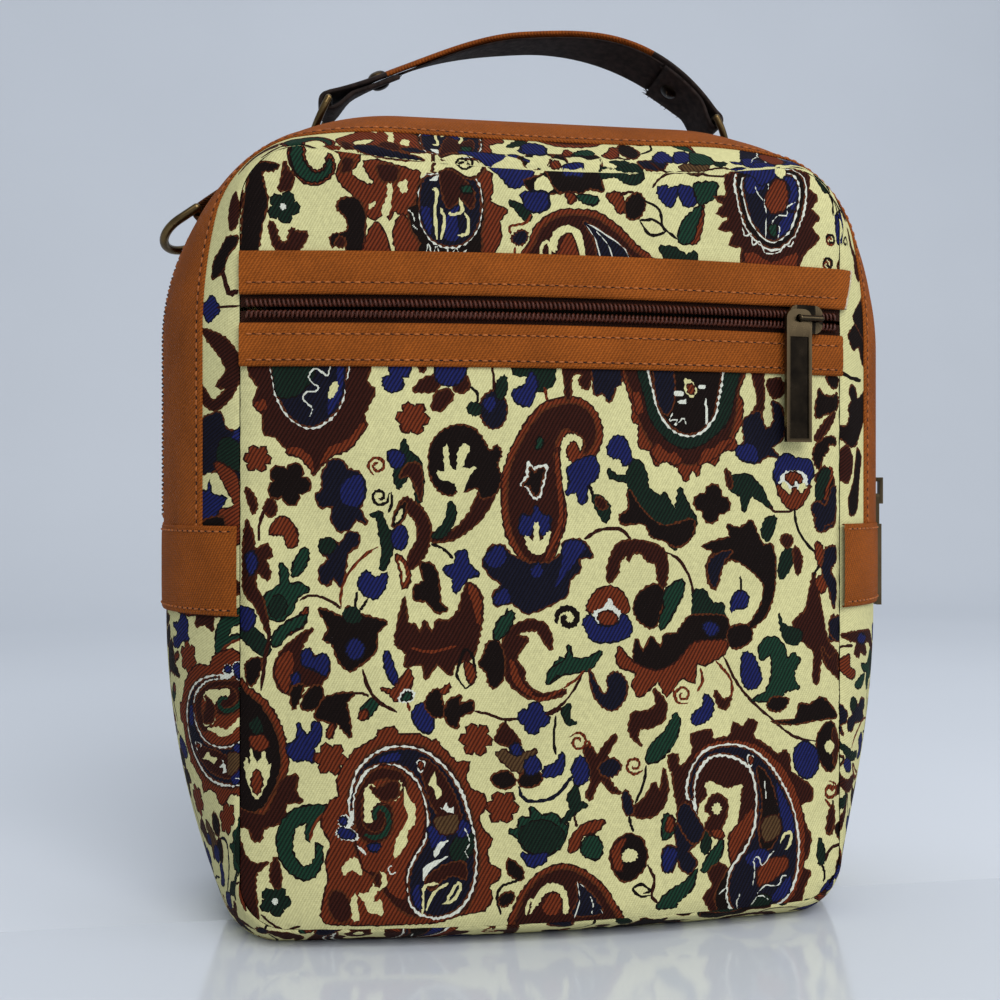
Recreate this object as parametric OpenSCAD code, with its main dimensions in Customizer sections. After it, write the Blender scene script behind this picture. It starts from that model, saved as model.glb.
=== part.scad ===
// Small upright crossbody bag: two cloth panels joined by a swelling gusset, a zipped front pocket,
// a main zip over the top, brown trim, brass rings and a carrying handle.
// Frame: X to the right, Y to the back, Z up, origin on the floor under the middle. Millimetres.

/* [Body] */
// Width of the front and back panels, seam to seam
panel_w = 190; // [170:1:220]
// Height of the panels, bottom seam to the ends of the top seam
panel_h = 235; // [215:1:260]
// Height of the bottom seam above the floor
seam_lift = 7; // [5:0.5:10]
// Distance between the front and back side seams
depth = 90; // [80:1:100]
// How far the sides swell past the panels
side_bulge = 26; // [20:1:30]
// How far the top swells past the panels
top_bulge = 20; // [16:1:26]
// Rise of the front panel's curve
front_rise = 10; // [7:0.5:14]
// Rise of the back panel's curve
back_rise = 6; // [4:0.5:10]
// Sag of the top seam at its middle
top_sag = 6; // [2:0.5:9]
// Radius of the panels' bottom corners
seam_r_low = 14; // [10:1:20]
// Radius of the panels' top corners
seam_r_top = 18; // [12:1:24]
// Radius of the zip line's top corners
zip_r = 75; // [65:1:85]
// Radius of the zip line's bottom corners
zip_r_low = 20; // [16:1:26]
// Height below which the sides lean in
side_low = 100; // [92:1:100]
// Lean of the sides at the floor
side_lean = 21; // [14:1:26]
// Thickness of the padded cloth
wall = 2.5; // [2:0.1:3]
// Room left at each seam
seam_gap = 0.1; // [0.05:0.05:0.2]

/* [Gusset] */
// Width of the cloth strip beside each panel
strip_w = 15; // [10:1:22]
// Height of the side patches' lower edge
patch_z = 101; // [101:0.5:106]
// Height of the side patches
patch_h = 27; // [22:1:32]
// Thickness of the side patches
patch_t = 1.35; // [1:0.05:2]
// Room between a patch and the gusset under it
patch_gap = 0.15; // [0.1:0.05:0.3]

/* [Zips] */
// Height of the front zip's middle
zip_z = 193; // [180:1:200]
// Width of each folded trim beside the front zip
trim_h = 13; // [10:0.5:16]
// Thickness of the trims
trim_t = 1.5; // [1:0.1:2]
// Gap between the folded edges beside a zip
zip_open = 8.4; // [8:0.1:10]
// How far a zip tape reaches under the folded edge
tape_tuck = 1.8; // [1:0.1:3]
// Thickness of a zip tape
tape_t = 1; // [0.8:0.1:1.2]
// Depth of a zip tape below the cloth's face
tape_drop = 0.7; // [0.5:0.1:1]
// Width of the closed chain
chain_w = 6; // [5:0.1:7]
// Slot between the two coils, which the slider's post runs in
chain_slot = 1.2; // [1:0.1:1.6]
// Height of a coil above its tape
coil_h = 2.4; // [2:0.1:3]
// Pitch of the coil's turns
coil_pitch = 2.5; // [2:0.1:4]
// Distance of the front zip's ends from the panel's side seams
zip_end = 1.5; // [1:0.5:4]
// Depth of the pocket behind the front panel
pocket_d = 12; // [9:0.5:14]
// Lower edge of the pocket
pocket_z = 34; // [20:1:60]

/* [Sliders and pulls] */
// Length of a slider
slider_l = 12; // [10:0.5:14]
// Thickness of a slider's plates
plate_t = 1.5; // [1.2:0.1:2]
// Running clearance of a slider and of a pull
run_gap = 0.4; // [0.3:0.05:0.5]
// Distance of the front slider's middle from the zip's end
front_slider_in = 13.5; // [12.5:0.5:24]
// Height of the main slider's middle above the patch
main_slider_up = 11; // [9:0.5:20]
// Length of a pull's plate below its eye
pull_l = 39; // [30:1:45]
// Width of a pull
pull_w = 9; // [7:0.5:10]
// Thickness of a pull
pull_t = 1.6; // [1.2:0.1:2]
// Radius of the bridge's wire
bridge_r = 0.9; // [0.7:0.1:1.1]

/* [Rings] */
// Inside width of the strap rings
ring_in = 17; // [14:0.5:20]
// Radius of the strap rings' wire
ring_wire = 1.5; // [1.2:0.1:1.8]
// Length of the strap rings' straight legs
ring_leg = 7; // [4:0.5:9]
// Place of the strap loops on the top corner, degrees above level
ring_turn = 35; // [30:1:42]
// Depth of the strap loops behind the main zip
ring_y = 18; // [17:0.5:22]
// Height of the strap ring's bar over the cloth
ring_lift = 5.2; // [5:0.1:6.5]
// How far the left ring points below level, degrees
left_droop = 33; // [20:1:40]
// How far the right ring points below level, degrees
right_droop = 69; // [50:1:71]

/* [Handle] */
// Distance of the handle loops from the side seams, measured across
handle_in = 22; // [15:1:29]
// Depth of the handle loops behind the main zip
handle_y = 16; // [15:0.5:20]
// Radius of the handle rings
handle_ring_r = 11.5; // [11.5:0.5:14]
// Lean of the handle rings towards the middle, degrees
ring_lean = 26; // [15:1:30]
// Radius of the handle rings' wire
handle_wire = 1.25; // [1:0.05:1.5]
// Width of the handle strap
strap_w = 19.5; // [17:0.5:19.5]
// Thickness of the handle's outer strap
strap_t = 2; // [1.6:0.1:2.4]
// Thickness of the handle's lining
lining_t = 1; // [0.8:0.1:1.4]
// Rise of the handle above its rings
handle_rise = 29; // [22:1:36]
// Length of the strap's folded tails
tail_l = 26; // [20:1:30]
// Twist of the strap near its ends, degrees
strap_twist = 16; // [0:1:20]

/* [Hidden] */
$fn = 48;
cloth = "khaki";
brown = "sienna";
dark = "#241a16";
brass = "#8a744a";
bronze = "#4a4036";

half_w = panel_w / 2;
half_d = depth / 2;
seam_top = seam_lift + panel_h;
zip_half = half_w + side_bulge;
zip_top = seam_top + top_bulge;
patch_mid = patch_z + patch_h / 2;
patch_top = patch_z + patch_h;

// The gusset's cross-section at the sides is one arc
gusset_r = (half_d * half_d + side_bulge * side_bulge) / (2 * side_bulge);
gusset_turn = asin(half_d / gusset_r);
gusset_x = zip_half - gusset_r;
function turn_of(length) = length / gusset_r * 180 / PI;
strip_turn = gusset_turn - turn_of(strip_w);
fold_turn = turn_of(zip_open / 2);
slot_turn = turn_of(chain_slot / 2);
gap_turn = turn_of(seam_gap / 2);

// Each panel is part of an upright cylinder
function rise_r(rise) = (half_w * half_w + rise * rise) / (2 * rise);
front_r = rise_r(front_rise);
back_r = rise_r(back_rise);
front_axis_y = front_r - front_rise - half_d;
back_axis_y = half_d + back_rise - back_r;
function swell(x, radius, rise) = sqrt(radius * radius - x * x) - (radius - rise);

function arc(cx, cz, r, a0, a1, n) =
    [for (i = [0 : n]) let (a = a0 + (a1 - a0) * i / n) [cx + r * cos(a), cz + r * sin(a)]];
function line(p, q, n) = [for (i = [0 : n]) p + (q - p) * i / n];
function tail_of(list) = [for (i = [1 : len(list) - 1]) list[i]];
function flip(list) = [for (i = [len(list) - 1 : -1 : 0]) [-list[i][0], list[i][1]]];

// The seam outline and the zip outline run side by side, point for point
zip_cx = zip_half - zip_r;
zip_cz = zip_top - zip_r;
corner_turn = asin((seam_top - seam_r_top - zip_cz) / zip_r);
sink = side_bulge - side_lean + 1;
lean_r = (side_low * side_low + side_lean * side_lean) / (2 * side_lean);
lean_x = zip_half - lean_r;
low_cz = zip_r_low - sink;
low_cx = lean_x + sqrt(pow(lean_r - zip_r_low, 2) - pow(side_low - low_cz, 2));
low_turn = atan2(low_cz - side_low, low_cx - lean_x);
top_x = half_w - seam_r_top;
function sag_line(x0, x1, n) =
    [for (i = [0 : n]) let (x = x0 + (x1 - x0) * i / n) [x, seam_top - top_sag * (1 - pow(x / top_x, 2))]];

steps_side = 4;
steps_corner = 7;
steps_top = 6;
steps_low = 7;
upper_seam_half = concat(
    line([half_w, patch_mid + seam_gap / 2], [half_w, zip_cz], 2),
    tail_of(line([half_w, zip_cz], [half_w, seam_top - seam_r_top], steps_side)),
    tail_of(arc(top_x, seam_top - seam_r_top, seam_r_top, 0, 90, steps_corner)),
    tail_of(sag_line(top_x, zip_cx, steps_side)),
    tail_of(sag_line(zip_cx, 0, steps_top)));
upper_zip_half = concat(
    line([zip_half, patch_mid + seam_gap / 2], [zip_half, zip_cz], 2),
    tail_of(arc(zip_cx, zip_cz, zip_r, 0, corner_turn, steps_side)),
    tail_of(arc(zip_cx, zip_cz, zip_r, corner_turn, 90 - corner_turn, steps_corner)),
    tail_of(arc(zip_cx, zip_cz, zip_r, 90 - corner_turn, 90, steps_side)),
    tail_of(line([zip_cx, zip_top], [0, zip_top], steps_top)));
lower_seam_half = concat(
    line([0, seam_lift], [half_w - seam_r_low, seam_lift], steps_top),
    tail_of(arc(half_w - seam_r_low, seam_lift + seam_r_low, seam_r_low, -90, 0, steps_corner)),
    tail_of(line([half_w, seam_lift + seam_r_low], [half_w, side_low], steps_low)),
    [[half_w, patch_mid - seam_gap / 2]]);
lower_zip_half = concat(
    line([0, -sink], [low_cx, -sink], steps_top),
    tail_of(arc(low_cx, low_cz, zip_r_low, -90, low_turn, steps_corner)),
    tail_of(arc(lean_x, side_low, lean_r, low_turn, 0, steps_low)),
    [[zip_half, patch_mid - seam_gap / 2]]);
upper_seam = concat(upper_seam_half, tail_of(flip(upper_seam_half)));
upper_zip = concat(upper_zip_half, tail_of(flip(upper_zip_half)));
lower_seam = concat(flip(lower_seam_half), tail_of(lower_seam_half));
lower_zip = concat(flip(lower_zip_half), tail_of(lower_zip_half));

// A point of the gusset: f on the seam outline, m on the zip outline, turn across, inset below the face
function unit(v) = v / norm(v);
function share(turn) = (cos(turn) - cos(gusset_turn)) / (1 - cos(gusset_turn));
function gusset_point(f, m, turn, inset) = let (
    p = f + (m - f) * share(turn) - unit(m - f) * inset * share(turn),
    reach = turn < 0 ? half_d + swell(f[0], front_r, front_rise) : half_d + swell(f[0], back_r, back_rise))
    [p[0], reach * sin(turn) / sin(gusset_turn) * (1 - inset / gusset_r), max(p[1], inset)];

// A strip of the gusset between two turns and two insets, as one closed surface
module gusset_strip(seam, zip, turn0, turn1, cells, inset0, inset1) {
    rows = len(seam);
    cols = cells + 1;
    function at(i, j, k) = (i * cols + j) * 2 + k;
    points = [for (i = [0 : rows - 1], j = [0 : cells], inset = [inset0, inset1])
        gusset_point(seam[i], zip[i], turn0 + (turn1 - turn0) * j / cells, inset)];
    function quad(a, b, c, d) = [[a, c, b], [a, d, c]];
    skins = [for (i = [0 : rows - 2], j = [0 : cells - 1]) each concat(
        quad(at(i, j, 0), at(i, j + 1, 0), at(i + 1, j + 1, 0), at(i + 1, j, 0)),
        quad(at(i, j, 1), at(i + 1, j, 1), at(i + 1, j + 1, 1), at(i, j + 1, 1)))];
    sides = [for (i = [0 : rows - 2]) each concat(
        quad(at(i, 0, 0), at(i + 1, 0, 0), at(i + 1, 0, 1), at(i, 0, 1)),
        quad(at(i, cells, 0), at(i, cells, 1), at(i + 1, cells, 1), at(i + 1, cells, 0)))];
    ends = [for (j = [0 : cells - 1]) each concat(
        quad(at(0, j, 0), at(0, j, 1), at(0, j + 1, 1), at(0, j + 1, 0)),
        quad(at(rows - 1, j, 0), at(rows - 1, j + 1, 0), at(rows - 1, j + 1, 1), at(rows - 1, j, 1)))];
    polyhedron(points, concat(skins, sides, ends), convexity = 10);
}

// Outline of a panel, just inside the gusset's edge
panel_outline = let (
    low = arc(half_w - seam_r_low, seam_lift + seam_r_low, seam_r_low - seam_gap, -90, 0, 8),
    high = arc(top_x, seam_top - seam_r_top, seam_r_top - seam_gap, 0, 90, 8),
    crest = [for (p = sag_line(top_x, 0, 8)) p - [0, seam_gap]],
    right = concat(low, high, tail_of(crest)))
    concat(right, tail_of(flip(right)));

module panel_prism(z0, z1) {
    intersection() {
        rotate([90, 0, 0]) linear_extrude(4 * depth, center = true) polygon(panel_outline);
        translate([-panel_w, -2 * depth, z0]) cube([2 * panel_w, 4 * depth, z1 - z0]);
    }
}

// A curved slab on a panel's cylinder: radii r0 to r1, half-width w at the face, heights z0 to z1
module curved_slab(axis_y, side, radius, r0, r1, w, z0, z1) {
    half_turn = asin(w / radius);
    translate([0, axis_y, 0]) rotate([0, 0, side * 90 - half_turn])
        rotate_extrude(angle = 2 * half_turn, $fn = 180) translate([r0, z0]) square([r1 - r0, z1 - z0]);
}
module front_slab(inset0, inset1, w, z0, z1) {
    curved_slab(front_axis_y, -1, front_r, front_r - inset1, front_r - inset0, w, z0, z1);
}

// Panels
fold_half = zip_open / 2;
cut_half = fold_half + tape_tuck;
module front_panel_upper() color(cloth) intersection() {
    front_slab(0, wall, half_w, seam_lift, seam_top);
    panel_prism(zip_z + cut_half, seam_top);
}
module front_panel_lower() color(cloth) intersection() {
    front_slab(0, wall, half_w, seam_lift, seam_top);
    panel_prism(seam_lift, zip_z - cut_half);
}
module back_panel() color(cloth) intersection() {
    curved_slab(back_axis_y, 1, back_r, back_r - wall, back_r, half_w, seam_lift, seam_top);
    panel_prism(seam_lift, seam_top);
}

// Front zip: trims on the face, tapes between the cut edges, toothed coils on the tapes
trim_w = half_w - zip_end;
module front_trim_upper() color(brown)
    front_slab(-trim_t, 0, trim_w, zip_z + fold_half, zip_z + fold_half + trim_h);
module front_trim_lower() color(brown)
    front_slab(-trim_t, 0, trim_w, zip_z - fold_half - trim_h, zip_z - fold_half);
module front_zip_tape_upper() color(dark)
    front_slab(tape_drop, tape_drop + tape_t, trim_w, zip_z + chain_slot / 2, zip_z + cut_half);
module front_zip_tape_lower() color(dark)
    front_slab(tape_drop, tape_drop + tape_t, trim_w, zip_z - cut_half, zip_z - chain_slot / 2);

coil_low = -tape_drop;
coil_tip = coil_h - tape_drop;
coil_root = coil_low + coil_h / 3;
coil_w = (chain_w - chain_slot) / 2;
// A comb along a path of [point, outward direction], one tooth to a pair of path points
function comb(path, lift) = let (out = function (k, h) path[k][0] + path[k][1] * (h + lift)) concat(
    [for (k = [0 : 2 : len(path) - 2])
        each [out(k, coil_root), out(k, coil_tip), out(k + 1, coil_tip), out(k + 1, coil_root)]],
    [for (k = [len(path) - 1 : -1 : 0]) out(k, coil_low)]);
function turned(cx, cy, r, a) = [[cx + r * cos(a), cy + r * sin(a)], [cos(a), sin(a)]];

tooth_half = 0.28;
front_coil_turn = asin((trim_w - coil_pitch) / front_r);
front_teeth = floor(2 * front_coil_turn * PI / 180 * front_r / coil_pitch);
front_coil_path = [for (k = [0 : front_teeth - 1], half = [-tooth_half, tooth_half])
    turned(0, front_axis_y, front_r, -90 + ((k + 0.5 + half) / front_teeth * 2 - 1) * front_coil_turn)];
module front_coil(z) color(dark)
    translate([0, 0, z]) linear_extrude(coil_w) polygon(comb(front_coil_path, 0));
module front_zip_coil_upper() front_coil(zip_z + chain_slot / 2);
module front_zip_coil_lower() front_coil(zip_z - chain_slot / 2 - coil_w);

// Pouch behind the front zip, open towards the panel
pocket_side = 5;
pocket_w = trim_w - pocket_side;
pocket_top = zip_z + cut_half + trim_h;
lining = 1;
module pocket_lining() color(dark) difference() {
    front_slab(wall, wall + pocket_d + lining, pocket_w, pocket_z, pocket_top);
    front_slab(wall - 1, wall + pocket_d, pocket_w - lining, pocket_z + lining, pocket_top - lining);
}

// Gusset strips
module upper_strip(turn0, turn1, cells, inset0, inset1)
    gusset_strip(upper_seam, upper_zip, turn0 + gap_turn, turn1 - gap_turn, cells, inset0, inset1);
module front_gusset() color(cloth)
    upper_strip(-gusset_turn - gap_turn, -strip_turn, 3, 0, wall);
module rear_gusset() color(cloth)
    upper_strip(strip_turn, gusset_turn + gap_turn, 3, 0, wall);
module zip_band_front() color(brown)
    upper_strip(-strip_turn, -fold_turn, 4, 0, wall);
module zip_band_rear() color(brown)
    upper_strip(fold_turn, strip_turn, 4, 0, wall);
module main_zip_tape_front() color(dark)
    upper_strip(-fold_turn, -slot_turn, 1, tape_drop, tape_drop + tape_t);
module main_zip_tape_rear() color(dark)
    upper_strip(slot_turn, fold_turn, 1, tape_drop, tape_drop + tape_t);
module bottom_gusset() color(cloth)
    gusset_strip(lower_seam, lower_zip, -gusset_turn, gusset_turn, 12, 0, wall);

// Main zip coils follow the zip outline from patch to patch
coil_gap = 2;
coil_start = patch_top + coil_gap;
side_run = zip_cz - coil_start;
bend_run = zip_r * PI / 2;
half_run = side_run + bend_run + zip_cx;
function zip_right(s) =
    s < side_run ? [[zip_half, coil_start + s], [1, 0]] :
    s < side_run + bend_run ? turned(zip_cx, zip_cz, zip_r, (s - side_run) / zip_r * 180 / PI) :
    [[half_run - s, zip_top], [0, 1]];
function mirrored(p) = [[-p[0][0], p[0][1]], [-p[1][0], p[1][1]]];
function zip_at(s) = s <= half_run ? zip_right(s) : mirrored(zip_right(2 * half_run - s));
main_teeth = floor(2 * half_run / coil_pitch);
main_coil_path = [for (k = [0 : main_teeth - 1], half = [-tooth_half, tooth_half])
    zip_at((k + 0.5 + half) / main_teeth * 2 * half_run)];
coil_rest = 0.1;
module main_coil(y) color(dark)
    translate([0, y + coil_w, 0]) rotate([90, 0, 0])
        linear_extrude(coil_w) polygon(comb(main_coil_path, coil_rest));
module main_zip_coil_front() main_coil(-chain_slot / 2 - coil_w);
module main_zip_coil_rear() main_coil(chain_slot / 2);

// Side patches
module patch(side) color(brown) rotate([0, 0, side > 0 ? 0 : 180])
    translate([gusset_x, 0, patch_z]) rotate([0, 0, -gusset_turn]) rotate_extrude(angle = 2 * gusset_turn)
        translate([gusset_r + patch_gap, 0]) square([patch_t, patch_h]);
module patch_left() patch(-1);
module patch_right() patch(1);

// A slider in its own frame: zip along X, outward along Z, Z = 0 at the cloth's face
plate_low = coil_tip + run_gap;
plate_top = plate_low + plate_t;
under_gap = 0.6;
inner_top = -tape_drop - tape_t - under_gap;
post_w = chain_slot / 2;
plate_w = chain_w + 2 * plate_t;
inner_w = zip_open - 2 * under_gap;
module slider_body() {
    module plate(l, w, z, t) translate([0, 0, z]) linear_extrude(t) rounded_plate(l, w);
    plate(slider_l, plate_w, plate_low, plate_t);
    plate(slider_l, inner_w, inner_top - plate_t, plate_t);
    translate([slider_l / 4, -post_w / 2, inner_top - plate_t])
        cube([slider_l / 4, post_w, plate_low + plate_t - inner_top + plate_t]);
}
// A rectangle whose corners are cut by a round end at both ends
module rounded_plate(l, w) {
    r = w / 3;
    square([l - 2 * r, w], center = true);
    square([l, w - 2 * r], center = true);
    for (x = [-1, 1], y = [-1, 1]) translate([x * (l / 2 - r), y * (w / 2 - r)]) circle(r);
}

// Front slider: its bridge stands on two posts, and the pull's eye hangs on the left one
leg_gap = 7.2;
front_leg_x = -leg_gap / 2;
pull_low = plate_top + run_gap;
bar_z = pull_low + pull_t + run_gap + bridge_r;
front_slider_x = trim_w - front_slider_in;
front_slider_turn = asin(front_slider_x / front_r);
module on_front_zip() translate([0, front_axis_y, zip_z]) rotate([0, 0, front_slider_turn])
    translate([0, -front_r, 0]) rotate([90, 0, 0]) children();
module front_slider() color(bronze) on_front_zip() {
    slider_body();
    for (x = [-1, 1]) translate([x * leg_gap / 2, 0, plate_top - plate_t / 2])
        cylinder(r = bridge_r, h = bar_z - plate_top + plate_t / 2);
    translate([-leg_gap / 2, 0, bar_z]) rotate([0, 90, 0]) cylinder(r = bridge_r, h = leg_gap);
    for (x = [-1, 1]) translate([x * leg_gap / 2, 0, bar_z]) sphere(bridge_r);
}

// A pull's plate: long bar with round top corners, and a shallow panel on its face
pull_rim = 1.2;
pull_sink = 0.35;
eye_r = bridge_r + run_gap;
eye_rim = 1.6;
pull_head = eye_r + eye_rim;
module pull_outline(top) {
    r = pull_w / 3;
    translate([-pull_w / 2, -pull_l]) square([pull_w, pull_l + top - r]);
    translate([-pull_w / 2 + r, 0]) square([pull_w - 2 * r, top]);
    for (x = [-1, 1]) translate([x * (pull_w / 2 - r), top - r]) circle(r);
}
module pull_panel(z, start) translate([-pull_w / 2 + pull_rim, -pull_l + pull_rim, z])
    cube([pull_w - 2 * pull_rim, pull_l - pull_rim - start, 2 * pull_sink]);
module front_pull() color(bronze) on_front_zip() translate([front_leg_x, 0, pull_low]) difference() {
    linear_extrude(pull_t) pull_outline(pull_head);
    translate([0, 0, -1]) cylinder(r = eye_r, h = pull_t + 2);
    pull_panel(pull_t - pull_sink, 2 * pull_head);
}

// Main slider: the bridge stands along the zip, and the pull's cross bar lies under it
bridge_t = 1.5;
bridge_w = 1.8;
bridge_l = 9.5;
bridge_h = 3;
main_slider_z = patch_top + main_slider_up;
module on_main_zip() translate([zip_half, 0, main_slider_z]) rotate([0, 90, 0]) rotate([0, 0, 180])
    children();
module main_slider() color(bronze) on_main_zip() {
    slider_body();
    difference() {
        translate([-bridge_l / 2, -bridge_w / 2, plate_top - plate_t / 2])
            cube([bridge_l, bridge_w, bridge_h + bridge_t + plate_t / 2]);
        translate([-bridge_l / 2 + bridge_t, -bridge_w, plate_top])
            cube([bridge_l - 2 * bridge_t, 2 * bridge_w, bridge_h]);
    }
}
bar_x = -bridge_l / 2 + bridge_t + bridge_r + run_gap;
bar_h = plate_top + bridge_h / 2;
eye_in = bridge_w / 2 + run_gap;
arm_w = 1.3;
eye_l = 10;
module main_pull() color(bronze) on_main_zip() translate([bar_x, 0, bar_h]) {
    rotate([90, 0, 0]) cylinder(r = bridge_r, h = 2 * (eye_in + arm_w), center = true);
    for (y = [-1, 1]) translate([-eye_l - 1, y > 0 ? eye_in : -eye_in - arm_w, -pull_t / 2])
        cube([eye_l + 1, arm_w, pull_t]);
    difference() {
        translate([-pull_l, -pull_w / 2, -pull_t / 2]) cube([pull_l - eye_l, pull_w, pull_t]);
        translate([-pull_l + pull_rim, -pull_w / 2 + pull_rim, pull_t / 2 - pull_sink])
            cube([pull_l - eye_l - 2 * pull_rim, pull_w - 2 * pull_rim, 2 * pull_sink]);
    }
}

// A frame standing on the gusset behind the zip, at an angle of the top corner's arc: X down along the
// cloth, Y to the back, Z straight out
function seam_near(a) = a < corner_turn
    ? [half_w, zip_cz + zip_r * sin(a)]
    : a < 90 - corner_turn
    ? turned(top_x, seam_top - seam_r_top, seam_r_top, (a - corner_turn) / (90 - 2 * corner_turn) * 90)[0]
    : let (x = zip_cx + (top_x - zip_cx) * (90 - a) / corner_turn)
        [x, seam_top - top_sag * (1 - pow(x / top_x, 2))];
function turn_at(y) = asin(y / half_d * sin(gusset_turn));
function ground(a, y) = gusset_point(seam_near(a),
    [zip_cx + zip_r * cos(a), zip_cz + zip_r * sin(a)], turn_at(y), 0);
function out_at(a, y) = let (t = turn_at(y)) [cos(a) * cos(t), sin(t), sin(a) * cos(t)];
function down_at(a) = [sin(a), 0, -cos(a)];
module on_corner(side, a, y) {
    o = ground(a, y);
    x = down_at(a);
    z = out_at(a, y);
    v = cross(z, x);
    mirror([side < 0 ? 1 : 0, 0, 0]) multmatrix([
        [x[0], v[0], z[0], o[0]], [x[1], v[1], z[1], o[1]], [x[2], v[2], z[2], o[2]], [0, 0, 0, 1]])
        children();
}

// Strap rings hang in loops of brown strap
tab_t = 1.3;
tab_gap = 0.3;
tab_in = ring_wire + tab_gap;
tab_l = 13;
tab_rest = 0.5;
tab_w = ring_in - 2 * tab_gap;
module d_ring_tab(side) color(brown) on_corner(side, ring_turn, ring_y) rotate([90, 0, 0])
    linear_extrude(tab_w, center = true) difference() {
        union() {
            translate([0, ring_lift]) circle(tab_in + tab_t);
            polygon([[0, ring_lift + tab_in + tab_t], [-tab_l, tab_rest + 2 * tab_t], [-tab_l, tab_rest],
                [0, ring_lift - tab_in - tab_t]]);
        }
        translate([0, ring_lift]) circle(tab_in);
    }
ring_r = ring_in / 2 + ring_wire;
module d_ring(side, droop) color(brass) on_corner(side, ring_turn, ring_y)
    translate([0, 0, ring_lift]) rotate([0, droop + ring_turn - 90, 0]) {
        translate([ring_leg, 0, 0]) rotate([0, 0, -90]) rotate_extrude(angle = 180)
            translate([ring_r, 0]) circle(ring_wire);
        for (y = [-1, 1]) translate([0, y * ring_r, 0]) {
            rotate([0, 90, 0]) cylinder(r = ring_wire, h = ring_leg);
            sphere(ring_wire);
        }
        rotate([90, 0, 0]) cylinder(r = ring_wire, h = 2 * ring_r, center = true);
    }
module d_ring_tab_left() d_ring_tab(-1);
module d_ring_tab_right() d_ring_tab(1);
module d_ring_left() d_ring(-1, left_droop);
module d_ring_right() d_ring(1, right_droop);

// Handle loops and rings: each ring leans to the middle, and its round side slides in its loop as the
// handle tips forward or back, wandering a little towards the middle
handle_x = half_w - handle_in;
handle_turn = acos((handle_x - zip_cx) / zip_r);
loop_w = 6;
loop_t = 1.4;
loop_wander = 1.75;
loop_slack = 0.6;
loop_in = handle_wire + tab_gap + loop_wander;
loop_out = handle_wire + loop_slack;
loop_rise = handle_ring_r - sqrt(pow(handle_ring_r, 2) - pow(loop_w / 2 + handle_wire, 2));
loop_top = loop_rise + handle_wire + tab_gap;
loop_low = handle_wire + tab_gap;
loop_foot = 18;
ring_bottom = 5.6;
ring_rise = 2;
ring_way = [-sin(ring_lean), 0, cos(ring_lean)];
handle_pivot = ground(handle_turn, handle_y)
    + [cos(handle_turn), 0, sin(handle_turn)] * ring_bottom + ring_way * handle_ring_r;
handle_bar = handle_pivot + ring_way * ring_rise;
// A frame at a handle ring's centre: X out of the ring's plane, Y to the back, Z towards the bar
module on_ring(side) mirror([side < 0 ? 1 : 0, 0, 0]) translate(handle_pivot)
    rotate([0, -ring_lean, 0]) children();
module on_ring_arc() translate([0, 0, -handle_ring_r]) rotate([90, 0, 0]) children();
module handle_tab(side) color(brown) difference() {
    union() {
        on_ring(side) on_ring_arc() linear_extrude(loop_w, center = true)
            translate([-loop_in - loop_t, -loop_foot / 2])
                square([loop_in + loop_out + 2 * loop_t, loop_foot / 2 + loop_top + loop_t]);
        on_corner(side, handle_turn, handle_y)
            translate([-loop_foot / 2, -loop_w / 2, tab_rest]) cube([loop_foot, loop_w, loop_t]);
    }
    on_ring(side) on_ring_arc() linear_extrude(2 * loop_w, center = true)
        translate([-loop_in, -loop_low]) square([loop_in + loop_out, loop_low + loop_top]);
    on_corner(side, handle_turn, handle_y)
        translate([-loop_foot, -loop_foot, tab_rest - loop_foot])
            cube([2 * loop_foot, 2 * loop_foot, loop_foot]);
}
module handle_ring(side) color(brass) on_ring(side) {
    rotate([0, 90, 0]) rotate([0, 0, -90]) rotate_extrude(angle = 180)
        translate([handle_ring_r, 0]) circle(handle_wire);
    for (y = [-1, 1]) translate([0, y * handle_ring_r, 0]) {
        cylinder(r = handle_wire, h = ring_rise);
        translate([0, 0, ring_rise]) sphere(handle_wire);
    }
    translate([0, 0, ring_rise]) rotate([90, 0, 0])
        cylinder(r = handle_wire, h = 2 * handle_ring_r, center = true);
}
module handle_tab_left() handle_tab(-1);
module handle_tab_right() handle_tab(1);
module handle_ring_left() handle_ring(-1);
module handle_ring_right() handle_ring(1);

// Handle strap: a ribbon along an arch in X and Z, folded back round each ring's bar
fold_r = handle_wire + tab_gap + strap_t / 2;
left_slope = 27;
right_slope = 44;
function along(a) = [cos(a), sin(a)];
function beside(a) = [-sin(a), cos(a)];
left_bar = [-handle_bar[0], handle_bar[2]];
right_bar = [handle_bar[0], handle_bar[2]];
left_leave = left_bar + beside(left_slope) * fold_r;
right_leave = right_bar + beside(-right_slope) * fold_r;
peak_shift = 4;
peak_slope = 4;
peak = [peak_shift, handle_pivot[2] + handle_rise];
function smooth(p, q, a, b, n, pull) = [for (i = [0 : n]) let (t = i / n)
    pow(1 - t, 3) * p + 3 * t * pow(1 - t, 2) * (p + along(a) * pull * norm(q - p))
    + 3 * t * t * (1 - t) * (q - along(b) * pull * norm(q - p)) + pow(t, 3) * q];
arch_steps = 20;
left_pull = 0.36;
right_pull = 0.4;
arch = concat(
    smooth(left_leave, peak, left_slope, peak_slope, arch_steps, left_pull),
    tail_of(smooth(peak, right_leave, peak_slope, -right_slope, arch_steps, right_pull)));
function fold(bar, a0, a1, n) = [for (i = [0 : n]) bar + along(a0 + (a1 - a0) * i / n) * fold_r];
left_tail = left_bar - beside(left_slope) * fold_r;
right_tail = right_bar - beside(-right_slope) * fold_r;
tail_start = 4;
strap_path = concat(
    line(left_tail + along(left_slope) * tail_l, left_tail + along(left_slope) * tail_start, 3),
    fold(left_bar, left_slope + 270, left_slope + 90, 8),
    tail_of(arch),
    tail_of(fold(right_bar, 90 - right_slope, -90 - right_slope, 8)),
    line(right_tail - along(-right_slope) * tail_start, right_tail - along(-right_slope) * tail_l, 3));
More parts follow.
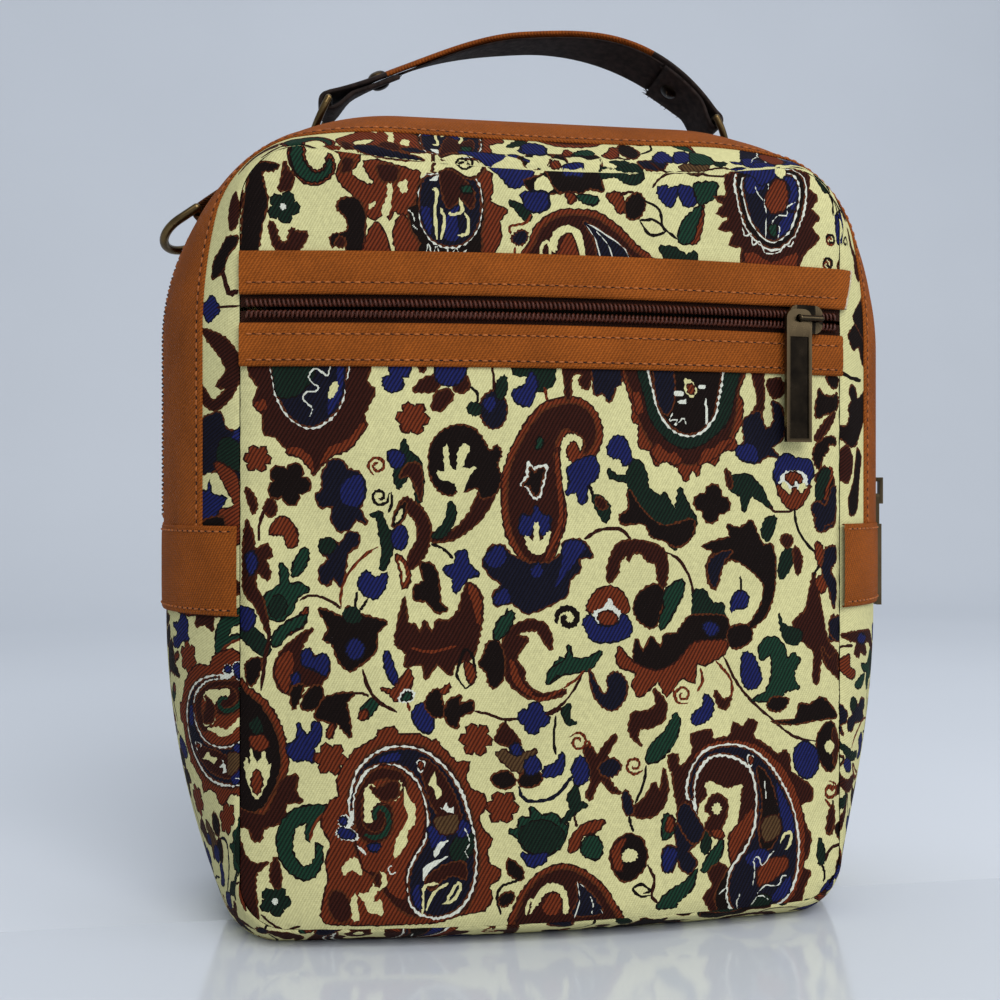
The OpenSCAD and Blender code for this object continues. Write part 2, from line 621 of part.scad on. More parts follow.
// The twist grows away from the rings, is gone at the top and turns the two ends opposite ways;
// the tails turn with the strap above them
twist_gain = 27 / 4;
function twist_at(p) = let (u = min(abs(p[0]) / handle_bar[0], 1))
    sign(p[0]) * strap_twist * twist_gain * u * u * (1 - u);
// Axes of the strap at a point: the way along it, the way across it and the way out of its face
function strap_axes(p, d) = let (up = [-d[1], 0, d[0]], t = twist_at(p) * sign(d[0]))
    [[d[0], 0, d[1]], [0, cos(t), 0] - up * sin(t), up * cos(t) + [0, sin(t), 0]];
// A flat ribbon along a path, between two offsets from it
module ribbon(path, w, low, high) {
    n = len(path);
    function way(i) = unit(path[min(i + 1, n - 1)] - path[max(i - 1, 0)]);
    points = [for (i = [0 : n - 1]) let (axes = strap_axes(path[i], way(i)), across = axes[1], out = axes[2],
        o = [path[i][0], handle_bar[1], path[i][1]])
        each [o + across * w / 2 + out * low, o + across * w / 2 + out * high,
            o - across * w / 2 + out * high, o - across * w / 2 + out * low]];
    // Both broad faces are cut along the same diagonal, so that two ribbons on one path lie close
    walls = [for (i = [0 : n - 2], k = [0 : 3]) let (a = 4 * i + k, b = 4 * i + (k + 1) % 4)
        each (k == 1 ? [[a, a + 4, b], [a + 4, b + 4, b]] : [[a, b + 4, b], [a, a + 4, b + 4]])];
    polyhedron(points, concat(walls, [[1, 2, 3], [0, 1, 3]],
        [[4 * n - 2, 4 * n - 3, 4 * n - 4], [4 * n - 1, 4 * n - 2, 4 * n - 4]]), convexity = 10);
}
module handle_strap() color(brown) ribbon(strap_path, strap_w, -strap_t / 2, strap_t / 2);
// The lining lies under the arch between the folded tails
lining_end = tail_l + 2;
lining_in = 2;
lining_path = [for (p = arch)
    if (norm(p - left_leave) > lining_end && norm(p - right_leave) > lining_end) p];
module handle_lining() color(dark)
    ribbon(lining_path, strap_w - lining_in, -strap_t / 2 - lining_t, -strap_t / 2 - 2 * seam_gap);

// The heads of one rivet at each fold: one on the strap's face and one under its tail
rivet_r = 3.2;
rivet_h = 1.2;
rivet_gap = 0.2;
rivet_step = 5;
module rivet_head() intersection() {
    cylinder(r = rivet_r, h = rivet_h);
    translate([0, 0, rivet_h - 2 * rivet_r]) sphere(2 * rivet_r);
}
module on_strap(p, d) {
    axes = strap_axes(p, d);
    x = cross(axes[1], axes[2]);
    multmatrix([[x[0], axes[1][0], axes[2][0], p[0]], [x[1], axes[1][1], axes[2][1], handle_bar[1]],
        [x[2], axes[1][2], axes[2][2], p[1]], [0, 0, 0, 1]])
        translate([0, 0, strap_t / 2 + rivet_gap]) children();
}
module rivet(k, tail, slope, way) {
    p = arch[k];
    d = unit(arch[k + 1] - arch[k - 1]);
    on_strap(p, d) rivet_head();
    on_strap(tail + along(slope) * way * norm(p - (way > 0 ? left_leave : right_leave)), -along(slope))
        rivet_head();
}
module handle_rivets() color(brass) {
    rivet(rivet_step, left_tail, left_slope, 1);
    rivet(len(arch) - 1 - rivet_step, right_tail, -right_slope, -1);
}

front_panel_upper();
front_panel_lower();
back_panel();
front_trim_upper();
front_trim_lower();
front_zip_tape_upper();
front_zip_tape_lower();
front_zip_coil_upper();
front_zip_coil_lower();
pocket_lining();
front_gusset();
rear_gusset();
zip_band_front();
zip_band_rear();
main_zip_tape_front();
main_zip_tape_rear();
main_zip_coil_front();
main_zip_coil_rear();
bottom_gusset();
patch_left();
patch_right();
front_slider();
front_pull();
main_slider();
main_pull();
d_ring_tab_left();
d_ring_tab_right();
d_ring_left();
d_ring_right();
handle_tab_left();
handle_tab_right();
handle_ring_left();
handle_ring_right();
handle_strap();
handle_lining();
handle_rivets();
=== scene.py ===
# Dresses the solids of a small zipped cloth bag: its woven cloth, twill trim, zips, handle and metal, on a
# plain stage. Lengths are in millimetres until they become meshes.
import math
import bmesh
import bpy
import numpy as np
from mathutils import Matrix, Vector
from mathutils.geometry import delaunay_2d_cdt


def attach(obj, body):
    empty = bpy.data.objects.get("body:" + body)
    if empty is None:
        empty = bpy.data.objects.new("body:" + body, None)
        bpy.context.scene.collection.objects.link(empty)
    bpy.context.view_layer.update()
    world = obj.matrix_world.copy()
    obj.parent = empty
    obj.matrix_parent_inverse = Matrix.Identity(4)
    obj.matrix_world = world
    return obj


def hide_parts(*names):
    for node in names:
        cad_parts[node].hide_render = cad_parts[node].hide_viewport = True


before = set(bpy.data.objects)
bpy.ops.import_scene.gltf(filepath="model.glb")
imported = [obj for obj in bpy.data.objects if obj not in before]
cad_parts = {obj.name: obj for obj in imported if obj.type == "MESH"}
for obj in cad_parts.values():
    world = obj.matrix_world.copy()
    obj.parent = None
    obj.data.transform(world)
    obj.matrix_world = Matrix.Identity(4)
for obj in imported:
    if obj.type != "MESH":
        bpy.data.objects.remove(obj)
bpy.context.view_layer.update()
scene = bpy.context.scene
MM = 0.001
# A point inside the bag, which outer faces look away from
MIDDLE = np.array([0, 0, 125.0])

# Sizes of the solids
HALF_W, HALF_D = 95.0, 45.0
SEAM_LIFT, SEAM_TOP = 7.0, 242.0
SEAM_R_LOW, SEAM_R_TOP = 14.0, 18.0
FRONT_R, FRONT_RISE = 456.25, 10.0
BACK_R, BACK_RISE = 755.0833, 6.0
FRONT_AXIS = 401.25
ZIP_HALF, ZIP_TOP, ZIP_R = 121.0, 262.0, 75.0
ZIP_CX, ZIP_CZ = 46.0, 187.0
ZIP_R_LOW, SINK, SIDE_LOW, SIDE_LEAN = 20.0, 6.0, 100.0, 21.0
TOP_X, TOP_SAG = 77.0, 6.0
BULGE = 26.0
GUSSET_R = (HALF_D ** 2 + BULGE ** 2) / (2 * BULGE)
GUSSET_TURN = math.asin(HALF_D / GUSSET_R)
GUSSET_X = ZIP_HALF - GUSSET_R
STRIP_W = 15.0
PATCH_LOW, PATCH_TOP, PATCH_MID = 101.0, 128.0, 114.5
ZIP_Z, FOLD_HALF, CUT_HALF = 193.0, 4.2, 6.0
TRIM_H, TRIM_W, TRIM_END = 13.0, 93.5, 94.8
COIL_W, SLOT = 2.4, 1.2
# Past the side seams the panels' curves run on level
LEVEL_X = HALF_W + 5
# A row of stitching: pitch, length and radius of a dash, radius and depth of the hole after it
STITCH_PITCH, STITCH_L, STITCH_R = 2.9, 2.0, 0.34
HOLE_R, HOLE_SINK = 0.36, 0.14
# Points round a strap's cross-section
RIBBON_COLS = 28
# Texture coordinates are a tenth of the cloth's own
UV_SCALE = 0.1


def unit(v):
    v = np.asarray(v, float)
    return v / np.maximum(np.linalg.norm(v, axis=-1, keepdims=True), 1e-9)


def linear(rgb):
    """Linear colour from 8-bit sRGB."""
    c = np.asarray(rgb, float) / 255.0
    return tuple(np.where(c <= 0.04045, c / 12.92, ((c + 0.055) / 1.055) ** 2.4))


# Surfaces
def front_y(x):
    return -HALF_D - (np.sqrt(FRONT_R ** 2 - np.minimum(np.abs(x), LEVEL_X) ** 2) - (FRONT_R - FRONT_RISE))


def back_y(x):
    return HALF_D + (np.sqrt(BACK_R ** 2 - np.minimum(np.abs(x), LEVEL_X) ** 2) - (BACK_R - BACK_RISE))


def front_at(x, z, h):
    """Points h above the front panel's face, x measured on the chord."""
    x = np.asarray(x, float)
    a = np.arcsin(np.clip(x / FRONT_R, -1, 1))
    r = FRONT_R + h
    return np.stack([r * np.sin(a), FRONT_AXIS - r * np.cos(a), np.broadcast_to(z, x.shape)], -1)


def arc(cx, cz, r, a0, a1, n):
    a = np.radians(a0 + (a1 - a0) * np.arange(n + 1) / n)
    return np.stack([cx + r * np.cos(a), cz + r * np.sin(a)], -1)


def line(p, q, n):
    t = (np.arange(n + 1) / n)[:, None]
    return np.asarray(p, float) * (1 - t) + np.asarray(q, float) * t


def sag(x0, x1, n):
    """Part of the top seam, which sags at its middle."""
    x = x0 + (x1 - x0) * np.arange(n + 1) / n
    return np.stack([x, SEAM_TOP - TOP_SAG * (1 - (x / TOP_X) ** 2)], -1)


def join(*parts):
    return np.concatenate([parts[0]] + [p[1:] for p in parts[1:]])


def flip(points):
    return points[::-1] * np.array([-1.0, 1.0])


# The seam and the zip line run side by side, point for point, from the patches up and from the floor up
CORNER = math.degrees(math.asin((SEAM_TOP - SEAM_R_TOP - ZIP_CZ) / ZIP_R))
LEAN_R = (SIDE_LOW ** 2 + SIDE_LEAN ** 2) / (2 * SIDE_LEAN)
LEAN_X = ZIP_HALF - LEAN_R
LOW_CZ = ZIP_R_LOW - SINK
LOW_CX = LEAN_X + math.sqrt((LEAN_R - ZIP_R_LOW) ** 2 - (SIDE_LOW - LOW_CZ) ** 2)
LOW_TURN = math.degrees(math.atan2(LOW_CZ - SIDE_LOW, LOW_CX - LEAN_X))
N1, N2, N3, N4 = 30, 16, 30, 24
upper_seam = join(
    line((HALF_W, PATCH_MID), (HALF_W, ZIP_CZ), N1),
    line((HALF_W, ZIP_CZ), (HALF_W, SEAM_TOP - SEAM_R_TOP), N2),
    arc(TOP_X, SEAM_TOP - SEAM_R_TOP, SEAM_R_TOP, 0, 90, N3),
    sag(TOP_X, ZIP_CX, N2),
    sag(ZIP_CX, 0, N4))
upper_zip = join(
    line((ZIP_HALF, PATCH_MID), (ZIP_HALF, ZIP_CZ), N1),
    arc(ZIP_CX, ZIP_CZ, ZIP_R, 0, CORNER, N2),
    arc(ZIP_CX, ZIP_CZ, ZIP_R, CORNER, 90 - CORNER, N3),
    arc(ZIP_CX, ZIP_CZ, ZIP_R, 90 - CORNER, 90, N2),
    line((ZIP_CX, ZIP_TOP), (0, ZIP_TOP), N4))
lower_seam = join(
    line((0, SEAM_LIFT), (HALF_W - SEAM_R_LOW, SEAM_LIFT), N4),
    arc(HALF_W - SEAM_R_LOW, SEAM_LIFT + SEAM_R_LOW, SEAM_R_LOW, -90, 0, N2),
    line((HALF_W, SEAM_LIFT + SEAM_R_LOW), (HALF_W, SIDE_LOW), N4),
    line((HALF_W, SIDE_LOW), (HALF_W, PATCH_MID), 4))
lower_zip = join(
    line((0, -SINK), (LOW_CX, -SINK), N4),
    arc(LOW_CX, LOW_CZ, ZIP_R_LOW, -90, LOW_TURN, N2),
    arc(LEAN_X, SIDE_LOW, LEAN_R, LOW_TURN, 0, N4),
    line((ZIP_HALF, SIDE_LOW), (ZIP_HALF, PATCH_MID), 4))
upper_seam = join(upper_seam, flip(upper_seam))
upper_zip = join(upper_zip, flip(upper_zip))
lower_seam = join(flip(lower_seam), lower_seam)
lower_zip = join(flip(lower_zip), lower_zip)


def run_of(points):
    """Distance along a line of points."""
    return np.concatenate([[0], np.cumsum(np.linalg.norm(np.diff(points, axis=0), axis=1))])


upper_run = run_of(upper_seam * 0.5 + upper_zip * 0.5)
lower_run = run_of(lower_seam * 0.5 + lower_zip * 0.5)


def along(points, run, u):
    return np.stack([np.interp(u, run, points[:, 0]), np.interp(u, run, points[:, 1])], -1)


def gusset_at(seam, zipline, run, u, v, h):
    """Points of the gusset: u along it, v across it from the middle, h above its face."""
    u = np.asarray(u, float)
    v = np.asarray(v, float)
    f = along(seam, run, u)
    m = along(zipline, run, u)
    turn = v / GUSSET_R
    share = ((np.cos(turn) - math.cos(GUSSET_TURN)) / (1 - math.cos(GUSSET_TURN)))[..., None]
    h = np.broadcast_to(h, u.shape)[..., None]
    p = f + (m - f) * share + unit(m - f) * h * np.maximum(share, 0)
    reach = np.where(turn < 0, -front_y(f[..., 0]), back_y(f[..., 0]))
    y = reach * np.sin(turn) / math.sin(GUSSET_TURN) * (1 + h[..., 0] / GUSSET_R)
    return np.stack([p[..., 0], y, np.maximum(p[..., 1], 0.05)], -1)


# Meshes
def add_mesh(name, points, faces, material):
    mesh = bpy.data.meshes.new(name)
    mesh.from_pydata((np.asarray(points) * MM).tolist(), [], [list(map(int, f)) for f in faces])
    mesh.validate()
    mesh.update()
    mesh.polygons.foreach_set("use_smooth", [True] * len(mesh.polygons))
    mesh.materials.append(material)
    obj = bpy.data.objects.new(name, mesh)
    scene.collection.objects.link(obj)
    return obj


def set_uv(obj, uv):
    mesh = obj.data
    layer = mesh.uv_layers.new(name="UVMap")
    index = np.empty(len(mesh.loops), int)
    mesh.loops.foreach_get("vertex_index", index)
    layer.data.foreach_set("uv", (np.asarray(uv, float)[index] * UV_SCALE).astype(np.float32).ravel())


def place(obj, body, nodes=()):
    """Ties a piece to its body, and hides the solids that it takes the place of."""
    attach(obj, body)
    if nodes:
        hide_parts(*nodes)
    return obj


def grid_faces(rows, cols, closed=False):
    i, j = np.meshgrid(np.arange(rows - 1), np.arange(cols if closed else cols - 1), indexing="ij")
    k = (j + 1) % cols
    a = i * cols + j
    b = i * cols + k
    c = (i + 1) * cols + k
    d = (i + 1) * cols + j
    return np.stack([a, b, c, d], -1).reshape(-1, 4)


def outward(points, faces):
    """Turns the faces round if most of them face the bag's middle."""
    p = np.asarray(points)[np.asarray(faces)[:, :3]]
    n = np.cross(p[:, 1] - p[:, 0], p[:, 2] - p[:, 0])
    if np.sum(n * (p[:, 0] - MIDDLE)) < 0:
        return np.asarray(faces)[:, ::-1]
    return np.asarray(faces)


def strip(name, at, us, profile, material):
    """A strip along us whose cross-section is the profile's (v, h) points."""
    profile = np.asarray(profile, float)
    u = np.repeat(np.asarray(us, float)[:, None], len(profile), 1)
    v = np.repeat(profile[None, :, 0], len(us), 0)
    h = np.repeat(profile[None, :, 1], len(us), 0)
    points = at(u.ravel(), v.ravel(), h.ravel())
    faces = outward(points, grid_faces(len(us), len(profile)))
    obj = add_mesh(name, points, faces, material)
    across = run_of(profile) * np.sign(profile[-1, 0] - profile[0, 0])
    set_uv(obj, np.stack([u.ravel(), np.repeat(across[None, :], len(us), 0).ravel()], -1))
    return obj


def stitches(name, at, us, v, h):
    """A row of thread dashes along us at v, standing h over the face, with a sunken hole between each two,
    painted dark as the shade inside it.
    """
    starts = np.arange(us[0] + STITCH_PITCH, us[1] - STITCH_PITCH, STITCH_PITCH)
    hole_l = STITCH_PITCH - STITCH_L + 0.5
    t = np.array([-0.5, -0.42, -0.2, 0.2, 0.42, 0.5])
    lift = np.array([-0.45, -0.1, 0.08, 0.08, -0.1, -0.45])
    fat = np.array([0.35, 0.85, 1.0, 1.0, 0.85, 0.35])
    hole = np.array([-0.5, -0.38, 0.0, 0.38, 0.5])
    wide = np.array([0.05, 0.75, 1.0, 0.75, 0.05])
    sides = 6
    ring = np.radians(np.arange(sides) * 360 / sides)
    points, faces, hole_shade = [], [], []

    def dash(u, low, reach, flat):
        row = np.full(len(u), v)
        c = at(u, row, h + low)
        o = unit(at(u, row, np.full(len(u), h + 1.0)) - at(u, row, np.full(len(u), float(h))))
        b = np.cross(unit(np.gradient(c, axis=0)), o)
        p = c[:, None] + reach[:, None, None] * (
            flat * o[:, None] * np.cos(ring)[None, :, None] + b[:, None] * np.sin(ring)[None, :, None])
        faces.append(grid_faces(len(u), sides, True) + sum(map(len, points)))
        points.append(p.reshape(-1, 3))

    for s in starts:
        dash(s + t * STITCH_L, lift, STITCH_R * fat, 1.0)
        dash(s + STITCH_PITCH / 2 + hole * hole_l, np.full(len(hole), -HOLE_SINK), HOLE_R * wide, 0.35)
        hole_shade += [0] * len(faces[-2]) + [1] * len(faces[-1])
    obj = add_mesh(name, np.concatenate(points), np.concatenate(faces), M_THREAD)
    # The holes take a dark colour as painted shade.
    obj.data.materials.append(M_HOLE_SHADE)
    if len(obj.data.polygons) == len(hole_shade):
        obj.data.polygons.foreach_set("material_index", hole_shade)
    place(obj, "bag")


def tube(points, normal, radius, sides=6):
    """A tube along points; normal gives a reference direction at each point."""
    points = np.asarray(points, float)
    w = unit(np.gradient(points, axis=0))
    n = np.asarray(normal, float)
    n = unit(n - w * np.sum(n * w, -1, keepdims=True))
    b = np.cross(w, n)
    ring = np.radians(np.arange(sides) * 360 / sides)
    r = np.broadcast_to(radius, (len(points),))[:, None, None]
    p = points[:, None] + r * (
        n[:, None] * np.cos(ring)[None, :, None] + b[:, None] * np.sin(ring)[None, :, None])
    return p.reshape(-1, 3), grid_faces(len(points), sides, True)


def ribbon(name, path, across, out, width, thick, material):
    """A strap along a path, with rounded edges; across and out are its axes at each point."""
    path = np.asarray(path, float)
    cols = RIBBON_COLS
    a = (np.arange(cols) + 0.5) * 2 * math.pi / cols
    x = np.sign(np.cos(a)) * np.abs(np.cos(a)) ** 0.35
    y = np.sign(np.sin(a)) * np.abs(np.sin(a)) ** 0.55
    p = (path[:, None] + across[:, None] * width / 2 * x[None, :, None]
         + out[:, None] * thick / 2 * y[None, :, None])
    faces = grid_faces(len(path), cols, True).tolist()
    faces.append(list(range(cols)))
    faces.append(list(range((len(path) - 1) * cols, len(path) * cols))[::-1])
    obj = add_mesh(name, p.reshape(-1, 3), faces, material)
    bm = bmesh.new()
    bm.from_mesh(obj.data)
    bmesh.ops.recalc_face_normals(bm, faces=bm.faces)
    bm.to_mesh(obj.data)
    bm.free()
    u = np.repeat(run_of(path)[:, None], cols, 1)
    v = np.repeat((width / 2 * x)[None, :], len(path), 0)
    set_uv(obj, np.stack([u.ravel(), v.ravel()], -1))
    return obj


# The woven pattern: closed shapes in millimetres on the cloth, drawn one over the other
TINTS = {
    "cream": ((198, 194, 143), (172, 166, 115)),
    "rust": ((112, 48, 24), (46, 17, 10)),
    "maroon": ((53, 22, 15), (25, 9, 7)),
    "umber": ((86, 44, 22), (46, 21, 12)),
    "black": ((21, 13, 11), (14, 8, 7)),
    "ink": ((20, 21, 36), (13, 10, 14)),
    "navy": ((28, 34, 88), (16, 15, 32)),
    "green": ((24, 56, 40), (15, 23, 19)),
    "dgreen": ((20, 38, 28), (13, 16, 14)),
    "brownish": ((84, 62, 38), (42, 26, 17)),
    "white": ((200, 204, 192), (172, 172, 156)),
}
# Colours of the ground's own threads, which show no broad hatching
UNDYED = ("cream", "white")
# The line round a colour's shapes, how far out it runs, and how far out the shape itself runs
EDGES = {"rust": ("maroon", 0.55, 0.05), "navy": ("ink", 0.5, 0.0), "green": ("black", 0.5, 0.0),
         "brownish": ("maroon", 0.6, 0.1), "black": ("umber", 0.45, -0.1), "ink": ("umber", 0.45, -0.1),
         "maroon": ("umber", 0.45, -0.1), "dgreen": ("black", 0.4, 0.1)}
# Least width of a vine
VINE_MIN = 0.9
MOTIFS = []


def pairs(flat):
    return np.asarray(flat, float).reshape(-1, 2)


def soften(points, n, bend):
    """A closed curve through the points; a lower bend keeps their corners sharper."""
    t = (np.arange(n) / n)[None, :, None]
    p, q = points[:, None], np.roll(points, -1, axis=0)[:, None]
    leave = (q - np.roll(points, 1, axis=0)[:, None]) * bend / 2
    meet = (np.roll(points, -2, axis=0)[:, None] - p) * bend / 2
    curve = ((2 * t ** 3 - 3 * t ** 2 + 1) * p + (t ** 3 - 2 * t ** 2 + t) * leave
             + (3 * t ** 2 - 2 * t ** 3) * q + (t ** 3 - t ** 2) * meet)
    return curve.reshape(-1, 2)


def lay(colour, shape):
    """Adds a shape, over a thin line where its colour has one."""
    way = unit(np.roll(shape, -1, axis=0) - np.roll(shape, 1, axis=0))
    after = np.roll(shape, -1, axis=0)
    turn = np.sign(np.sum(shape[:, 0] * after[:, 1] - shape[:, 1] * after[:, 0]))
    out = turn * way[:, ::-1] * np.array([1.0, -1.0])
    grow = 0.0
    if colour in EDGES:
        line_colour, far, grow = EDGES[colour]
        MOTIFS.append((line_colour, shape + far * out))
    MOTIFS.append((colour, shape + grow * out))


def blob(colour, *flat):
    lay(colour, soften(pairs(flat), 5, 1.0))


def leaf(colour, *flat):
    lay(colour, soften(pairs(flat), 4, 0.6))


def vine(colour, width, *flat):
    """A thin line through the points, narrower at both ends."""
    p = pairs(flat)
    n = max(6, 5 * (len(p) - 1))
    t = np.linspace(0, len(p) - 1, n + 1)
    q = np.concatenate([[2 * p[0] - p[1]], p, [2 * p[-1] - p[-2]]])
    i = np.minimum(t.astype(int), len(p) - 2)
    f = (t - i)[:, None]
    a, b, c, d = q[i], q[i + 1], q[i + 2], q[i + 3]
    curve = 0.5 * (2 * b + (c - a) * f + (2 * a - 5 * b + 4 * c - d) * f ** 2
                   + (3 * b - a - 3 * c + d) * f ** 3)
    side = unit(np.gradient(curve, axis=0))[:, ::-1] * np.array([-1.0, 1.0])
    width = 0.6 * width if colour == "white" else max(1.15 * width, VINE_MIN)
    taper = (width / 2 * np.minimum(1, 0.45 + 1.4 * np.sin(np.linspace(0, math.pi, n + 1))))[:, None]
    MOTIFS.append((colour, np.concatenate([curve + side * taper, (curve - side * taper)[::-1]])))


def rosette(colour, x, z, r, lobes):
    """A small flower with round lobes."""
    a = np.radians(np.arange(0, 360, 9))
    reach = r * (0.56 + 0.38 * np.abs(np.cos(lobes * a / 2 + 0.3)) ** 0.7)
    lay(colour, np.stack([x + reach * np.cos(a), z + reach * np.sin(a)], -1))


def curl(colour, x, z, r, start, turns, width):
    """A tendril that winds inwards."""
    t = np.linspace(0, 1, 9)
    a = np.radians(start) - t * turns * 2 * math.pi
    flat = np.stack([x + r * (1 - 0.75 * t) * np.cos(a), z + r * (1 - 0.75 * t) * np.sin(a)], -1)
    vine(colour, width, *flat.ravel())


# Cloth of the front, in the panel's X and Z
leaf("maroon", -90.9, 182.9, -92.2, 174.1, -89.4, 169.6, -90.9, 164.6, -88.1, 161.5, -87.8, 155.8,
     -84.4, 154.5, -81.3, 151.4, -77.3, 149.5, -74.2, 146.4, -73, 143.2, -71.1, 145.7, -68.6, 148.9,
     -64.3, 150.8, -60.6, 154.6, -57.5, 157.7, -58.1, 161.5, -55, 168.4, -57.5, 171.6, -56.2, 182.9)
leaf("rust", -80.4, 151.4, -77.3, 151.4, -73.6, 148.2, -73, 143.8, -74.8, 146.4, -77.3, 148.9, -81,
     149.8)
leaf("rust", -71.1, 146.4, -68.6, 151.4, -63, 153.9, -58.7, 159, -58.1, 157.1, -62.4, 151.4, -68, 148.9)
leaf("rust", -90.6, 164.6, -87.8, 165.9, -86.9, 163.4, -89.1, 162.4)
blob("white", -85.2, 182.9, -85, 170.3, -83.2, 164.3, -79.5, 159.3, -74.2, 156.9, -69.6, 158.5, -65.7,
     162.4, -63.8, 169, -63.7, 182.9)
blob("ink", -84.6, 182.9, -84.4, 170.3, -82.6, 164.9, -79, 159.9, -74.2, 157.7, -70, 159.3, -66.3,
     162.8, -64.4, 169, -64.3, 182.9)
blob("dgreen", -84.6, 182.9, -84.4, 170.3, -82.6, 166.5, -77.3, 167.7, -73, 173.4, -71.7, 182.9)
blob("navy", -66.8, 182.9, -64.4, 182.9, -64.5, 169, -66.8, 163.4, -68.9, 161.5, -68.6, 165.9, -66.1,
     170.3)
blob("cream", -68.9, 167.1, -67.4, 170.9, -65.8, 170.6, -66.8, 167.1, -68.3, 165.9)
vine("white", 0.8, -68, 177.2, -68.9, 173.1, -70.5, 174, -73, 175, -74.5, 172.8, -73.6, 170.9, -71.7,
     169.6, -72.3, 168.4, -75.1, 168.1, -76.1, 165.9, -73.6, 163.3, -74.2, 160.7)
blob("navy", -51.9, 182.9, -44.4, 183, -45, 173.5, -47.2, 172.9, -46.9, 169.7, -50, 168.1, -52.2,
     169.7, -52.5, 172.2, -50, 173.2, -50.6, 174.7)
blob("maroon", -43.1, 183, -39.4, 183, -40, 175.1, -41.9, 175.1)
leaf("maroon", -43.8, 168.5, -40.6, 172.3, -36.6, 173.3, -35.6, 170.4, -38.1, 168.2)
leaf("maroon", -31.8, 171.1, -28.1, 173.3, -26.8, 169.9, -29.3, 168, -31.2, 168.6)
leaf("maroon", -36.9, 167.9, -33.1, 169.2, -31.8, 166.7, -35, 162.8, -38.1, 163.1)
blob("navy", -35.6, 183.1, -27.4, 183.2, -28.7, 173, -33.1, 170.1, -36.9, 173)
vine("black", 0.6, -26.8, 169.9, -24.6, 168, -24.6, 164.8)
vine("maroon", 0.7, -21.1, 183.3, -19.5, 171.9, -19.8, 168.7)
blob("ink", -23.3, 165.5, -20.5, 168.7, -17.3, 167.4, -15.7, 164.3, -16.6, 159.2, -19.8, 157.2, -22.4,
     159.1, -23.6, 162.3)
blob("navy", -22.7, 165.5, -19.8, 167.1, -19.2, 164.2, -21.1, 162.3)
blob("dgreen", -18.9, 168, -18.2, 171.9, -16, 173.2, -15.7, 169.4, -17.3, 166.2)
blob("dgreen", -27.4, 162.9, -26.2, 165.1, -23.6, 164.2, -23.6, 162, -25.5, 161.3)
leaf("dgreen", -13.8, 183.4, -1.2, 183.6, -1.2, 171.5, -5.1, 168.8, -9, 170.1, -7.7, 173.3, -13.4,
     173.8)
blob("navy", -13.8, 168.7, -10.2, 170.4, -8.3, 174.5, -6.4, 171.4, -7, 168.2, -9, 164.3, -12.8, 165.6)
vine("rust", 0.6, -4.1, 170.1, -3.2, 165.4)
rosette("rust", -43.8, 160.3, 5.1, 6)
blob("maroon", -19.1, 142.6, -17.3, 142.6, -18.9, 137.6, -23, 130.6, -27.4, 126.5, -31.8, 123.9, -38.4,
     123.3, -37.8, 125.9, -31.8, 126.8, -27.4, 131.2, -24.6, 136.9, -23, 140.1)
blob("black", -39.1, 147.7, -38.1, 152.7, -35, 156.5, -30.6, 158.3, -25.5, 157.2, -22.4, 153.4, -20.8,
     150.6, -18.6, 152.2, -17.3, 149.6, -18.6, 146.5, -17.3, 142.6, -18.9, 138.2, -23, 136.3, -24.6,
     139.5, -28.7, 138.2, -30.6, 138.5, -32.5, 137.2, -36.2, 138.8, -38.4, 142.6)
leaf("cream", -36.6, 144.6, -34.4, 144.6, -34.9, 150.8, -33.4, 152.6, -32.8, 146.4, -30.9, 144.8,
     -30.3, 150.8, -28.4, 152.9, -26.7, 151.5, -29, 145.5, -24.8, 145.8, -26.8, 143.3, -28.8, 137.9,
     -30.7, 138.2, -31.2, 140.7, -35.6, 141.9)
blob("dgreen", -38.1, 124.8, -34.4, 129.3, -32.8, 135.3, -30.9, 131.9, -32.5, 127.4, -35, 124.5)
curl("rust", -54.3, 146.1, 3.0, 250, 1.5, 0.6)
curl("black", -53.6, 136.9, 3.0, 20, 1.4, 0.8)
vine("black", 0.6, -50.3, 138.2, -49.9, 135.3, -50.9, 131.9)
leaf("dgreen", -46.3, 154.3, -45, 150.8, -41.9, 147.7, -40.6, 142.6, -41.1, 136.3, -42.5, 134.1, -43.3,
     139.8, -45, 143.2, -47.4, 139.8, -48.4, 139.3, -49.5, 143.2, -48.7, 145.7, -45.6, 147, -47.6,
     150.5)
blob("maroon", -45.6, 146.4, -41.9, 146.4, -40.9, 141.3, -41.6, 135.7, -42.8, 139.4, -45, 143.2, -47.5,
     142.6)
blob("navy", -51.2, 149.5, -48.7, 150.7, -46.3, 148.9, -46.9, 146.4, -49.4, 145.4)
blob("maroon", -45.9, 136.6, -43.1, 135, -40.6, 132.5, -38.6, 128.1, -38.9, 123, -40.6, 118.6, -44.4,
     115.1, -45.1, 118.6, -42.6, 123.7, -42.6, 128.7, -45, 131.9, -48.1, 133.8)
leaf("dgreen", -56.5, 131.4, -53.1, 132.2, -51.9, 128.7, -50, 125.6, -50, 120.5, -51.9, 115, -53.6,
     115.4, -52.8, 120.5, -53.7, 125.6, -54.3, 130)
blob("navy", -50.1, 125.3, -47.5, 128.4, -45.5, 125.6, -46.4, 121.5, -48.9, 121.5)
blob("black", -49.7, 127.8, -48.9, 132, -46, 135.3, -46.4, 130.3)
blob("cream", -49, 129, -48.2, 131.9, -46.9, 133.3, -47.2, 130.6)
blob("rust", -48.9, 119.3, -46.1, 117.4, -44.6, 112.3, -46.7, 109.3, -47.4, 114.2)
blob("cream", -48.1, 117.7, -46.5, 116.1, -45.8, 112.9, -46.6, 111.1, -46.9, 114.2)
leaf("black", -41.6, 116.7, -38.1, 116.7, -36.2, 112.9, -35.6, 105.3, -33.4, 102.8, -36.6, 102, -40,
     105.3, -43.3, 105.9, -43.3, 109.8, -40.6, 111.7)
vine("black", 0.6, -38.4, 122.5, -35, 121.4, -31.7, 118.1)
